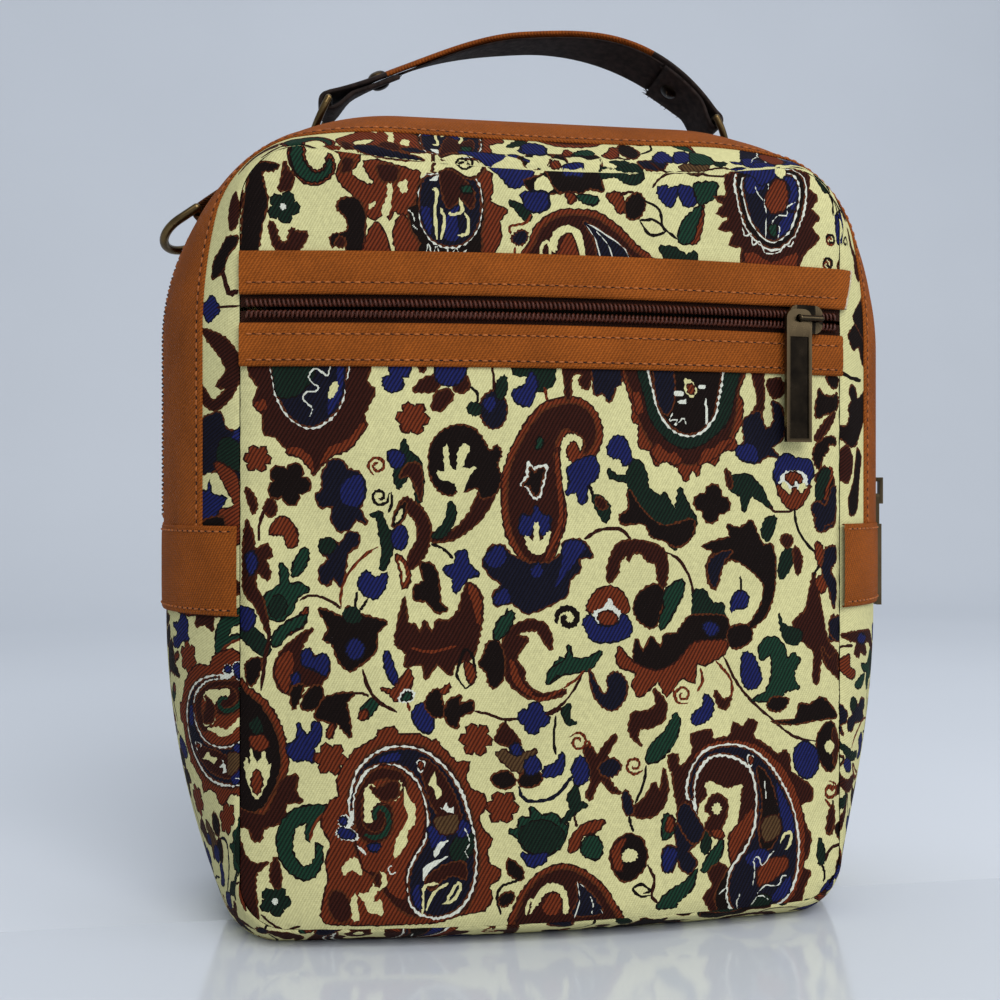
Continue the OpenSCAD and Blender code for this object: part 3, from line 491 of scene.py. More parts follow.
leaf("navy", -34.5, 115.4, -31.2, 116.7, -30.6, 120, -27.9, 120.6, -27.1, 116.6, -23.9, 113.5, -27.4,
     112.2, -30.5, 108.1, -31.8, 108.9, -31.8, 112.2, -33.7, 113.5)
leaf("maroon", -49.1, 94, -48.1, 99.7, -46.3, 106.8, -45.3, 99.1, -43.1, 98.4, -41.6, 95.9, -40.3,
     99.7, -38.1, 95.8, -36.6, 99.6, -33.1, 99.6, -30, 102.7, -28.7, 108.4, -27.1, 110.9, -24.6, 109.3,
     -22.9, 105.2, -23.3, 98.2, -24.6, 91.9, -26.2, 88.1, -31.2, 86.3, -32.5, 83.1, -36.6, 86.4, -40,
     82.1, -40.9, 86.4, -46.3, 85.8, -45.6, 89.6, -48.7, 92.1)
vine("rust", 0.5, -44.4, 91.5, -38.1, 90.2, -30.6, 92)
blob("rust", -27.4, 110.3, -24.9, 109.1, -23.3, 104.6, -23.9, 98.2, -25.5, 102.7)
leaf("ink", -70.5, 143.8, -68, 147.7, -64.9, 147.7, -63, 145.1, -59.3, 143.8, -58, 137.6, -59.3, 133.1,
     -57.3, 128.6, -60.6, 130, -62.4, 127.2, -65.5, 126.3, -68, 130, -67.4, 133.8, -71.1, 133.6, -72.5,
     136.9, -70.5, 139.4)
blob("navy", -64.3, 141.3, -59.3, 143.2, -58.1, 137.6, -60.6, 133.8, -64.9, 135.7)
rosette("black", -80.4, 140.7, 6.9, 5)
rosette("rust", -89.7, 148.2, 4.2, 6)
blob("rust", -86, 126.2, -84.1, 130, -81, 130.4, -78.4, 126.9, -78, 123.1, -80.4, 121.6, -81.6, 125,
     -83.8, 125.6)
blob("maroon", -87.5, 134.4, -85.4, 136.3, -84, 133.1, -85.2, 130.8, -87.2, 131.9)
vine("maroon", 0.8, -87.5, 133.1, -89.1, 128.1, -89.2, 123.7)
blob("maroon", -93.3, 139.4, -90.9, 137.6, -89.9, 133.8, -90.9, 131.8, -92.5, 135.7)
leaf("ink", -71.1, 123.4, -68, 124.3, -65.5, 122.4, -63, 126.1, -59.8, 125.6, -59.8, 122.4, -63, 119.9,
     -63.7, 114.9, -64.9, 109.7, -67.4, 112.4, -68.6, 110.4, -71.1, 111.1, -71.4, 115.5, -68.6, 118,
     -70.5, 119.9)
blob("dgreen", -71.2, 123.4, -68, 124.3, -66.5, 121.8, -68.6, 119.9, -70.8, 120.2)
blob("green", -79.2, 112.9, -78.8, 116.8, -76.1, 121.3, -74.7, 119.9, -75.7, 115.5)
leaf("green", -87.5, 107.3, -82.9, 110.5, -82.9, 116.9, -80.7, 114.3, -80.4, 110.5, -77.3, 111.1,
     -74.5, 109.1, -77.9, 106.7, -79.2, 102.9, -82.9, 99.7, -86.6, 100.9, -87.2, 104.2)
blob("dgreen", -86, 104.8, -83.5, 107.4, -81, 104.8, -82.9, 100.7, -85.7, 101.7)
leaf("maroon", -94, 123.7, -92.8, 130, -90.9, 125, -90.3, 121.2, -86.6, 122.6, -85.2, 119, -87.2, 118,
     -85.9, 114.3, -86.6, 111.6, -89.7, 114.3, -90.3, 110.5, -87.8, 105.5, -85.9, 94.1, -87.8, 98.5,
     -90.3, 104.2, -94, 109.2)
blob("navy", -93.1, 118.7, -90.9, 120.2, -89.9, 116.2, -91.9, 113.5)
blob("rust", -84.4, 93.9, -81.6, 98.5, -77.3, 101.1, -75, 103.7, -76.1, 98.5, -79.8, 96)
vine("maroon", 0.6, -64.9, 103.2, -66.8, 104.8, -70.5, 106.7, -74.2, 107.2, -77.3, 105.8)
vine("rust", 0.5, -65, 103.6, -64.9, 108.6, -63, 113.6, -58.1, 119.3, -54, 121.9)
blob("navy", -59.8, 111.7, -57.5, 114.4, -55, 112.4, -51.7, 113.7, -52, 110.4, -54.3, 106.5, -57.5,
     107.2, -59.3, 109.2)
vine("black", 0.6, -60.2, 108.3, -60.7, 105.4, -60.6, 102.3)
vine("black", 0.5, -57.1, 106.4, -58.4, 104.2, -59.6, 102.6)
leaf("black", -71.7, 103.1, -68.6, 102.6, -64.9, 100.9, -63, 104, -60.6, 102.4, -58.1, 101.2, -51.5,
     99.2, -54.3, 96.1, -54.8, 90.4, -59.3, 86.5, -62.4, 84.5, -65.5, 87.3, -67.4, 92.4, -70.2, 94.1,
     -68.6, 97.4)
blob("dgreen", -64.3, 102.4, -60.6, 103.7, -59.3, 99.9, -63, 99.3)
blob("navy", -63.4, 91.1, -62.1, 93.9, -59.9, 93.9, -58.2, 91.4, -59.6, 88.6, -62.1, 88.5)
blob("rust", -8.9, 116.2, -13.1, 120.4, -16, 126.7, -17.1, 136.3, -16.1, 145.8, -12.3, 154.7, -7.6,
     161.8, -3.5, 165.4, 3.7, 166.9, 8.9, 165.5, 12.6, 161.1, 13.7, 155.6, 11.9, 150.4, 8.6, 147.3,
     5.1, 147.1, 3.2, 149.1, 3.2, 151.7, 4.9, 153.5, 6, 151.7, 7, 149.8, 8.1, 152.3, 7.8, 154.8, 5.3,
     156.4, 2.4, 156, 0.9, 153.6, 0.2, 149.1, 1.2, 139.5, 2.5, 131.2, 1.1, 125.4, -2.7, 116.3)
blob("maroon", -8, 116.8, -11.5, 121, -14.3, 127.1, -15.3, 136.3, -14.4, 145.5, -10.8, 154, -6.5,
     160.5, -2.8, 163.6, 3.7, 165.1, 8, 164, 11, 160.4, 11.8, 155.6, 10.3, 151.6, 8.1, 149.8, 8.4,
     152.7, 7.8, 154.8, 5.3, 156.4, 2.1, 157.4, -0.3, 154.2, -1.2, 149.1, -0.3, 139.5, 0.8, 131.2,
     -0.6, 125.4, -4, 116.8)
blob("rust", -0.1, 151.6, 0.4, 146.5, 1.7, 132.4, 0.4, 125.4, -3.5, 117.1, -4.1, 117.4, -0.9, 126, 0.4,
     132.4, -0.7, 146.5)
leaf("white", -11.9, 140.4, -9.8, 143.3, -9.4, 147.8, -7.5, 145.5, -6.7, 146.2, -3.1, 146.5, -4, 141.4,
     -5.1, 136.9, -7, 135.8, -8.9, 138.2, -9.6, 139.5)
leaf("black", -10.7, 140.4, -8.7, 142.7, -8.5, 145.8, -7.2, 143.9, -6.3, 144.9, -4.2, 145.4, -4.9,
     141.7, -5.9, 137.9, -7, 136.9, -8.1, 138.7, -8.7, 140)
blob("green", -6.7, 151.6, -5.7, 154.8, -4.6, 153.5, -5.3, 151.6)
leaf("navy", -11.8, 126.1, -10.9, 131.2, -8, 130.5, -6.7, 134, -4.7, 131.2, -2.5, 130.8, -2.8, 126.7,
     -4.7, 125.1, -7, 128, -8.9, 124.8)
leaf("cream", -10.2, 124.8, -8.6, 124.5, -7.6, 122.9, -7.3, 128.6, -6, 128.6, -5.5, 123.2, -3.8, 125.4,
     -2.3, 126.4, -2.5, 123.5, -4.7, 119.4, -7.3, 119.4, -9.4, 121.6)
leaf("ink", -23, 116.6, -20.4, 121.7, -16.9, 122.3, -14.4, 119.4, -8.6, 116.8, -2.8, 116.8, 1.1, 119.6,
     1.7, 122.8, 5.7, 123.9, 8.9, 122.1, 10.8, 118.3, 6.6, 118, 7, 114.5, 3.7, 111.3, 2.9, 106.8, -1.5,
     104.3, -5.4, 102.4, -9.9, 101.4, -14.1, 104.5, -19.2, 103.8, -19.6, 107.7, -17.3, 110.2, -20.4,
     112.8)
blob("navy", 1.7, 122.2, 5.7, 123.4, 8.6, 121.5, 6.3, 118.3, 3, 113.9, -0.9, 109.4, 1.1, 115.8)
blob("navy", -22.3, 117.2, -20.1, 121, -17.3, 121.7, -15.7, 118.5, -18.2, 115.3)
blob("navy", -19.2, 104.5, -18.8, 107.4, -15.7, 108.9, -14.7, 105.1)
blob("navy", -8.3, 114, -6, 116.5, -4.7, 113.9, -6.7, 112)
vine("dgreen", 0.9, -15.3, 103.2, -16.9, 98.1, -18.8, 93.5)
leaf("navy", 2.9, 145.2, 5.3, 147.2, 10.9, 149.3, 12.8, 145.3, 11.7, 142.1, 9.1, 140.1, 8.7, 135.5, 7,
     134.7, 5.7, 138.2, 2.5, 137.4, 3.7, 141.4)
vine("black", 0.4, 9.9, 140.5, 10.9, 136.9)
blob("dgreen", 10.8, 137, 14.2, 136.4, 16.3, 133.1, 15, 128.9, 12.2, 132.4)
blob("maroon", 11.7, 136.3, 14.2, 136, 15.2, 133.4, 12.9, 133.1)
blob("maroon", 1.7, 181.1, 10.8, 181.3, 9.9, 171, 8, 169.8, 6.6, 172.2, 7.8, 174.2, 5, 174.1, 4, 171.5,
     4, 167, 2.7, 166.3, 2.1, 171.5)
leaf("ink", 10.9, 181.3, 20.2, 181.5, 19.9, 171.8, 18.2, 170.5, 16.9, 166.6, 15.7, 165.8, 14.2, 168.5,
     11.6, 167.7, 10.9, 171.6)
leaf("rust", 21.2, 181.5, 22.2, 168.6, 23.6, 165.4, 23.4, 160.2, 25.6, 159, 25.6, 152.3, 29, 151.2, 31,
     146.5, 33.7, 148.6, 36.5, 146.6, 38.2, 145.7, 40.9, 141.6, 42.7, 145.4, 44.8, 143.3, 46.2, 148.7,
     50.4, 146.7, 51.8, 150.1, 53.9, 151.4, 57.7, 152, 56.8, 156.1, 59.1, 159.4, 59.8, 166.1, 58.2,
     170, 61.1, 182.7)
blob("maroon", 22.9, 181.6, 24.2, 166.1, 26.9, 157.7, 31, 151.2, 36.5, 148.7, 42, 146.7, 48.3, 149.4,
     53.9, 153.4, 56.8, 160.1, 57.9, 169.3, 57.9, 182.6)
blob("dgreen", 26.9, 181.7, 27.6, 166.8, 30.7, 158.7, 36.5, 153.2, 42, 152, 48.6, 154.8, 54.3, 160.3,
     56.9, 169.3, 57.2, 182.5)
leaf("rust", 23.6, 168.6, 25.6, 168.7, 26.9, 163.5, 24.9, 162.2)
leaf("rust", 29.6, 150.6, 31.7, 153.2, 35.1, 150, 37.1, 150.6, 39.2, 148, 37.1, 146.7, 34.4, 148, 31.7,
     147.6)
leaf("rust", 44.8, 146.8, 46.9, 151.4, 50.4, 152.1, 52.5, 154.1, 56.1, 154.8, 53.2, 151.4, 49.7, 148.8)
blob("white", 29.4, 181.7, 30.4, 166.5, 33.9, 159.2, 38.9, 155.7, 44.4, 155.7, 48.8, 158.9, 51.7,
     165.9, 52, 182.4)
blob("black", 30.3, 181.8, 31.3, 166.8, 34.7, 160, 39.4, 156.7, 43.9, 156.7, 47.9, 159.7, 50.7, 166.1,
     51, 182.4)
blob("ink", 30.3, 181.8, 31.3, 166.8, 34.7, 162.3, 37.1, 168.9, 35.1, 181.9)
leaf("cream", 40.3, 173.5, 42.7, 172.9, 44.4, 169.7, 42.7, 167.4, 40.3, 169.6)
leaf("rust", 41.3, 171.3, 43, 171.5, 43.4, 169.3, 41.8, 169)
leaf("white", 37.1, 169.5, 39.9, 169.3, 39.6, 168.2, 37.1, 168.2)
leaf("white", 45.1, 171.5, 47.2, 171.6, 46.9, 170.4, 45.1, 170.4)
leaf("white", 38.2, 166.6, 40.6, 167, 40.7, 165.8, 38.4, 165.7)
leaf("white", 47, 167.1, 47.7, 166.8, 47.9, 159.9, 47.2, 159.9)
vine("white", 0.6, 36.5, 162.7, 35.4, 160.4, 37.8, 160.7, 37.1, 158.8, 39.9, 161.1, 40.9, 158.5)
blob("maroon", 61.8, 181.4, 66.2, 179.5, 67.1, 166.2, 65.5, 162.5, 62.6, 162.8, 64.9, 167.5)
leaf("ink", 59.7, 160.8, 65.5, 163.7, 67.7, 158.2, 70.6, 161, 69.9, 167, 72.8, 165.8, 74.8, 160.4,
     73.6, 155, 69.9, 152.3, 72.2, 149.5, 68.4, 149.6, 64.7, 147.4, 58.9, 148.7, 57.7, 152.1, 60.4,
     154.2)
blob("navy", 57.9, 152.1, 63.3, 153.2, 64.7, 147.9, 58.9, 148.8)
blob("maroon", 68.4, 173.6, 72.8, 174.1, 74, 170.4, 71.4, 168, 69.1, 169.6)
leaf("navy", 70.5, 143.6, 71.9, 148.3, 75.1, 150.6, 78.2, 149, 83.5, 148.5, 84.7, 144.3, 82.8, 140.2,
     81.1, 143, 78.1, 145.5, 74.3, 143.6, 72.3, 140.1)
leaf("white", 72.1, 140.9, 73.2, 143.6, 75.4, 145.1, 80.3, 144.9, 82.5, 143, 82.5, 140.3, 80.3, 141.6,
     78.8, 138.9, 76.6, 138.9, 74.3, 141.6)
leaf("rust", 74.7, 142.9, 77.3, 144.6, 80.5, 143, 80, 141.3, 78.2, 142.6, 77.2, 140.6)
blob("rust", 71.9, 140.4, 76.4, 136.9, 77.8, 139.5, 80.3, 137.5, 83.5, 140.4, 82, 136.2, 77.8, 132.7,
     73.6, 135.4)
vine("black", 0.7, 77.8, 133.2, 78.7, 127.5, 81.9, 122.1, 86.6, 117.8)
leaf("dgreen", 53.8, 145.8, 56.1, 143.5, 61.8, 143.7, 66.2, 139.6, 68.8, 134.9, 70.2, 132.6, 65.5,
     135.5, 62.6, 136.9, 60.2, 131.9, 58.9, 136.9, 55.4, 138.9)
blob("maroon", 53.9, 145.5, 55.7, 142.9, 56.1, 139.6, 54.6, 140.2)
vine("maroon", 0.8, 69.1, 133.9, 71, 132.1, 77.3, 132.1)
rosette("black", 49.4, 134.6, 6.3, 4)
leaf("dgreen", 15.7, 145.4, 18.2, 143.4, 21.5, 143.4, 22.9, 148, 26.2, 147.4, 28, 142.8, 28.4, 139.5,
     32.4, 136.9, 33.7, 138.2, 37.1, 133, 38.7, 139.7, 42, 133, 44.2, 129.7, 42.8, 124.5, 38, 121.2,
     37.1, 120.3, 33.7, 123.2, 29.6, 124.6, 26.9, 128.5, 20.2, 128.4, 19.4, 131.1, 22.2, 133, 22.2,
     138.9, 21.5, 141.3, 16.2, 142.6)
blob("black", 22.2, 138.9, 26.9, 132.4, 33.7, 127.8, 42.7, 129.7, 42.8, 124.5, 38, 121.2, 33.7, 123.2,
     29.6, 124.6, 26.9, 128.5, 20.2, 128.4, 19.5, 131.1, 22.2, 133)
blob("navy", 15.4, 151.1, 17.5, 155.1, 20.9, 154.5, 23, 148.4, 20.9, 146.5, 19.5, 148.4, 16.9, 149)
leaf("black", 46, 121.2, 50.4, 123.1, 55.4, 124.2, 54.6, 128, 58.9, 126.9, 62.6, 129.3, 64.7, 125.6,
     66.9, 121.6, 69.7, 121.7, 71.2, 116.2, 70.6, 106.2, 67.7, 98.9, 61.8, 94.4, 57.9, 91.5, 55.7,
     91.6, 61.8, 96.4, 66.2, 103, 67.1, 108.9, 64.7, 111.6, 59.7, 115.7, 55.4, 117.1, 52.5, 114.5,
     50.5, 107.6, 48.3, 110, 47.4, 115.2, 49.7, 119.8)
blob("ink", 47.9, 115.2, 50.4, 118.5, 56.1, 119.7, 53.2, 115.8, 50.7, 108.6, 48.6, 110.6)
blob("navy", 55.9, 100.9, 56.4, 105.2, 58.9, 107.3, 61.6, 105.1, 60.5, 102, 57.5, 101.7)
vine("black", 0.6, 58.9, 106.8, 59.2, 109.1, 58.9, 111.8)
blob("dgreen", 72.3, 114.2, 73.6, 118.8, 76.6, 120.3, 77.5, 116.8, 75.1, 112.1, 72.8, 110.7)
blob("maroon", 77.7, 120.8, 80, 118.7, 80.5, 115.4, 79.2, 111.7, 77.9, 115.4)
blob("maroon", 73.2, 123.9, 75.4, 124.7, 77.3, 122.8, 75.4, 120.5, 73.6, 121.8)
blob("dgreen", 66.2, 125.6, 67.7, 129.6, 71.1, 130.4, 70.8, 126.9, 68.4, 122.7)
blob("black", 85.5, 143, 88.8, 146.5, 92, 143, 92, 139, 88.8, 136.1, 87.1, 138.9)
leaf("ink", 84.4, 134.2, 88.8, 136.2, 92.8, 132.8, 92.8, 128.1, 88, 125.6, 85.5, 128.1)
leaf("maroon", 84.9, 112.6, 86.6, 105.8, 88.8, 95.5, 90.3, 89.7, 97.6, 82.3, 91.9, 81.1, 87.6, 84.7,
     86.4, 76.7, 84.5, 78.1, 84.9, 86.9, 80.3, 90.9, 77.2, 96.6, 81.9, 100.5, 83.4, 107.2)
blob("rust", 85.7, 109.2, 88, 111.3, 89.7, 108.7, 87.6, 105.9)
vine("black", 0.5, 88.8, 115.6, 86.4, 113.9, 84.5, 111.2)
vine("maroon", 1.0, 8.3, 123.9, 12.9, 126.5, 18.9, 126.9, 23, 123.8)
leaf("maroon", 15.5, 111, 15.7, 116.3, 18.9, 122.7, 25.6, 123.4, 31, 122, 33.7, 120, 34.9, 114.8, 33.7,
     108.8, 31.7, 110.3, 31, 116.1, 28.3, 116.8, 26.2, 119.4, 23.6, 119.4, 22.2, 116.9, 21.5, 118.8,
     19.5, 116.9, 18.9, 113.7, 16.9, 111)
vine("maroon", 0.8, 33.7, 119.9, 38.5, 117.3, 42, 111.4, 43.2, 104.8, 42.8, 97)
blob("rust", 9.1, 102.7, 10.9, 106.7, 15.5, 109.3, 20.2, 107.2, 22.3, 102, 19.5, 101.3, 17.5, 103.4,
     16.2, 106, 13.6, 102.8, 10.9, 101.4)
blob("white", 10.9, 101.4, 13.9, 102.7, 16.1, 105.8, 17.7, 103.2, 19.7, 101.3, 20.2, 98.8, 16.2, 96.8,
     12.2, 97.5)
blob("rust", 12.6, 100.4, 15.7, 101.6, 18.3, 100, 17.4, 97.8, 13.9, 98)
blob("navy", 7.8, 98.9, 10.3, 100.4, 12.2, 97.7, 15.5, 96.8, 18.9, 98, 20.2, 100.7, 23, 97.4, 22.2,
     94.1, 17.5, 92.5, 10.9, 92.8, 8.8, 96.4)
curl("black", 3.2, 99.6, 4.0, 200, 1.25, 1.7)
blob("black", 23.8, 103.3, 26.2, 107.7, 31, 109.7, 33.9, 106.3, 32.4, 101.1, 31, 97.1, 28.3, 96.5,
     24.9, 99.3)
blob("green", 33.7, 107.5, 39.4, 110.9, 39.7, 106.9, 37.1, 101.7, 33, 95.7, 32.2, 98.5, 33.7, 102.4)
leaf("dgreen", 43.4, 107.4, 46.9, 107.5, 49.7, 103.4, 53, 103.3, 53.7, 98, 51.8, 94.1, 54.6, 90, 42,
     90.4, 42.7, 100.2)
leaf("black", 23.9, 90.4, 24.8, 93.1, 26.9, 89.1, 29.3, 93.7, 32.4, 90.2, 33.7, 94.2, 37.8, 94.6, 42,
     99.7, 53.9, 99.4, 54.8, 92.8, 44.8, 91, 40.6, 87.9, 36.5, 84.7, 31, 83, 24.2, 84.5)
blob("navy", 46.5, 96.4, 49, 97.6, 51.8, 95.5, 49, 93.3)
leaf("rust", 18.4, 87.3, 19.2, 90.7, 23.6, 85.6, 31, 82.8, 37.1, 85, 43.7, 91.3, 54.1, 91.5, 53.4,
     87.6, 46.9, 84.4, 44.1, 85.1, 43.4, 79.1, 39.2, 80.7, 34.4, 74.9, 31.7, 79.8, 25.6, 75.2, 23.4,
     79.4, 24.9, 82.6, 19.5, 84.6)
blob("black", 54.6, 94.1, 56.8, 96.2, 62, 96, 62.7, 91.9, 58.2, 89.2, 55.2, 90.2)
vine("black", 0.6, 61.8, 95.2, 64.4, 97.2, 66.6, 99.4)
blob("dgreen", 72.3, 99.6, 74.3, 96, 80.3, 93.8, 79, 89.7, 74.3, 91.2)
leaf("maroon", -84.9, 84.2, -83.5, 89.2, -81, 92.4, -78.5, 94.3, -76.1, 96.2, -73.1, 97.3, -76.1, 93,
     -76.7, 89.9, -74.5, 91.4, -73, 89.2, -71.1, 89.5, -68.5, 88.3, -68.8, 83.6, -71.7, 80.3, -77.3,
     80.3, -79.8, 77.8, -82.9, 79)
blob("navy", -76.4, 90, -74.5, 91.3, -73, 88.5, -70.5, 89.7, -68.6, 88.1, -69.4, 83.4, -73, 85.3,
     -76.1, 86.6)
blob("rust", -84.4, 84.2, -83.2, 88.6, -79.8, 90.5, -79.2, 84.2, -81, 78.5, -82.6, 79.5)
blob("navy", -79.5, 82.9, -77.9, 84.2, -77.3, 81.7, -78.8, 80.4)
blob("black", -79.6, 79.2, -76.2, 80.6, -77.3, 76, -79.2, 73.3)
blob("black", -76.8, 74, -74.5, 79.3, -70.7, 79.9, -70.7, 74.6, -74.2, 73.1)
blob("dgreen", -94.8, 97.4, -92.2, 98.8, -87.2, 94.3, -85.9, 91.1, -87.8, 89.1, -92.8, 93, -94.8, 94.9)
blob("navy", -95.3, 103.7, -90.9, 102.6, -90.8, 98.7, -93.4, 96.6, -95.1, 98.6)
vine("maroon", 1.0, -87.1, 100.6, -86.3, 94.9, -87.5, 87.3, -88.6, 78.8)
blob("black", -93.2, 84.8, -92.8, 87.3, -89, 88.7, -88.6, 85.4, -90.9, 80.5, -92.8, 81.5)
blob("green", -85.5, 92.9, -84.4, 96.2, -79.8, 99.9, -75.3, 101.3, -76.7, 98, -80.4, 96.2, -83.5, 92.3)
blob("rust", -95.6, 79.4, -92.2, 79.3, -87.1, 75.5, -82.7, 68, -80.8, 59, -81.8, 52, -85.2, 44.3,
     -87.8, 41.8, -95.3, 43)
blob("black", -95.6, 77.7, -92.8, 77.8, -88.5, 74.2, -84.4, 67.2, -82.7, 59, -83.6, 52.6, -86.8, 45.7,
     -89.1, 43.3, -95.3, 44.5)
leaf("rust", -91.9, 64.7, -88.5, 65.6, -86.3, 62.8, -88.5, 60.9, -90.9, 61.8)
leaf("cream", -93.9, 56.5, -92.8, 59.1, -91.7, 55.9, -91.6, 61.6, -89.7, 57.1, -87.7, 61, -86.5, 56.5,
     -85.5, 57.1, -86.6, 52, -89.1, 46.8, -90.6, 46.8, -92.8, 51.9)
blob("rust", -91.3, 51.4, -89.8, 55.1, -88.3, 51.5, -89.8, 47.8)
blob("dgreen", -91.9, 68.4, -89.7, 71, -88.1, 67.2, -90, 65.9)
leaf("maroon", -96.5, 43.1, -87.8, 41.9, -85.4, 45.7, -82.3, 52.6, -77.8, 53.5, -78.4, 49, -76.4, 45.7,
     -81, 45.2, -81.5, 41.4, -84, 38.8, -87.8, 37.6, -88.5, 34.1, -90.9, 34.1, -92.2, 37.6, -95.3, 38.1)
leaf("black", -72.5, 72.2, -69.9, 76.6, -65.5, 78, -61.1, 78, -63.4, 75.2, -62.7, 71.6, -62, 64.8,
     -64.6, 67.2, -66.1, 69.1, -68, 64.8, -69.4, 65.5, -68, 69.1, -72.5, 70.6)
blob("rust", -69.1, 65.4, -68.3, 68.1, -67.1, 68.5, -67.9, 64.9)
vine("maroon", 0.7, -61.5, 77.9, -59, 78, -56.7, 77.1)
blob("green", -59.4, 70.2, -59, 73.4, -55.5, 76.4, -54.2, 74.7, -56.5, 71.1)
blob("rust", -59.4, 70.2, -59.2, 72.2, -57.5, 72.8, -57.5, 70.8)
vine("maroon", 1.0, -58.6, 85.1, -57, 79.7, -53.7, 75.3, -48.4, 72.3)
blob("navy", -52.3, 88.4, -51.2, 90.5, -49.6, 86, -48, 81.6, -49.1, 80.4, -51.5, 84.1)
leaf("rust", -53.2, 79.4, -50, 78.9, -48.1, 80.9, -45, 85.1, -43.9, 81.5, -45.5, 78.2, -48.7, 75.4,
     -50.6, 77.8)
blob("white", -48.2, 75.8, -46.3, 79.1, -43.3, 78.3, -43.6, 75.7, -46.3, 75)
blob("green", -47.2, 76, -45.8, 78.1, -44.3, 77.7, -44.7, 76)
vine("rust", 0.5, -45.5, 75.2, -44.5, 72.6)
vine("black", 0.6, -28.1, 79.1, -30.6, 82.9, -29.8, 87, -28.2, 90.8, -26.2, 89.2, -25.2, 85.1, -25.5,
     81.3, -28.1, 79.1)
blob("rust", -28.2, 87, -26.2, 86, -25.2, 83.2, -26.2, 80.5, -27.6, 82.6)
blob("navy", -43.9, 71.4, -41.3, 74.7, -38.7, 73.2, -37.7, 68.8, -38.7, 66.1, -41.9, 67.2)
blob("black", -40.1, 74.5, -38.7, 77.8, -36.1, 79, -35, 75.1, -34.2, 71.3, -36.9, 70.6, -38.7, 71.8)
blob("rust", -35.6, 78.2, -32.8, 80.4, -33.7, 77.9)
leaf("black", -34.5, 71.9, -33.1, 75.7, -29.2, 77, -30, 74.4, -25.8, 75.4, -26, 72.3, -30, 70.4, -30.5,
     67.2, -33.2, 68.6)
vine("maroon", 0.8, -26.2, 72.5, -21.1, 71.2, -16, 69.5, -10.2, 69.8)
rosette("navy", -7.4, 69.7, 5.0, 4)
vine("maroon", 0.6, -3.8, 70.5, -1.2, 71.2, 1.4, 72.7)
leaf("maroon", -16.1, 94.4, -12.8, 98.2, -8.3, 99.6, -3.8, 98.1, -1.7, 94.2, -2.1, 90.1, -4.4, 93,
     -6.4, 96.2, -9.6, 96.3, -12.5, 95, -9.2, 93.7, -11.2, 90.6, -12.8, 87.4, -10.2, 84.2, -10.2, 81,
     -7.7, 78.4, -4.4, 77, 2, 78, 2, 76.7, -4.4, 75, -10.2, 76.4, -14.7, 80.3, -17.4, 85.6, -17.4, 90.7)
blob("rust", -14.7, 86.8, -13.4, 86.8, -10.9, 80.4, -7.7, 77.4, -10.2, 77.5, -13.8, 81.4)
leaf("black", -24.1, 86.3, -22.4, 89.5, -21.4, 92.7, -18.6, 93.3, -16.5, 89.4, -16.5, 82.4, -19.2, 79,
     -21.1, 80.4, -21.7, 83.7)
blob("green", -19.3, 93.7, -18.6, 98.3, -14.6, 102.2, -13.6, 100.1, -16, 95.6)
blob("green", -3.3, 80.1, -1.9, 84.6, 1.4, 87.8, 1.7, 83.3)
leaf("navy", -80.8, 62.2, -77.9, 64.7, -77.6, 69.3, -75.4, 65.3, -73.6, 66.6, -73.3, 69.3, -71, 68.6,
     -71, 64.7, -73, 61.6, -73.3, 57.5, -75.4, 58.3, -78.5, 58, -80.4, 59.7)
rosette("rust", -68.1, 58.4, 5.0, 6)
rosette("rust", -24.9, 63.6, 5.1, 6)
rosette("rust", -17, 43, 5.1, 6)
leaf("green", -69.4, 44.4, -74.2, 44.4, -78.5, 43.4, -82.1, 40.2, -83.9, 35.1, -83, 28.8, -79.8, 24.3,
     -76.1, 22.4, -72.8, 23.4, -70.6, 27.6, -70.7, 32, -72.3, 33.1, -72.3, 29.5, -73.9, 26.6, -76.7,
     26.3, -79.2, 30.1, -79.5, 34.5, -78.2, 38.3, -74.8, 39.5, -75.4, 36.4, -74.5, 33.8, -73, 38.9,
     -69.4, 42.9)
vine("rust", 0.4, -69.6, 43, -72.8, 38.6, -74.3, 34)
rosette("dgreen", -84.4, 15.9, 4.8, 5)
blob("white", -85.4, 15.9, -84.4, 17, -83.5, 15.9, -84.4, 14.9)
blob("maroon", -85.5, 21.2, -85.7, 25.1, -84.4, 29.1, -82.8, 25.1, -83.1, 19.9)
vine("maroon", 0.8, -88.5, 11.8, -86.3, 9.3, -81.6, 6.7, -77, 8.4)
leaf("maroon", -98.4, 35.8, -95.9, 35.8, -93.4, 29.4, -89.7, 26.9, -86.3, 27.6, -89.7, 24.4, -90.3,
     21.2, -89.6, 10.3, -91.6, 9, -94, 14.3, -96.7, 18.1, -95.3, 22.5, -98.4, 23.8)
leaf("rust", -69.6, 9.3, -68.6, 22.5, -69.4, 27.6, -67.9, 33.2, -70.6, 38.3, -69.9, 42, -68, 45.9,
     -65.4, 47.1, -66, 52.1, -64.3, 55.9, -60.6, 60.9, -54.3, 64.6, -53.9, 66.6, -49.4, 67.6, -48,
     65.5, -41.9, 65.4, -38.1, 63.1, -36.9, 63.9, -35.6, 61.7, -31.8, 57.9, -30.6, 56.7, -27.2, 56.7,
     -28.1, 52.2, -26.2, 48.3, -22.9, 47.1, -21.9, 43.8, -24.3, 40, -22.9, 36.2, -20.2, 33.5, -21.7,
     29.8, -21.1, 26, -17.7, 23.9, -18.4, 21.3, -21.1, 19.6, -20.2, 15.8, -22.4, 12.4, -28.1, 11.5,
     -30.6, 10.9, -38.7, 8.8)
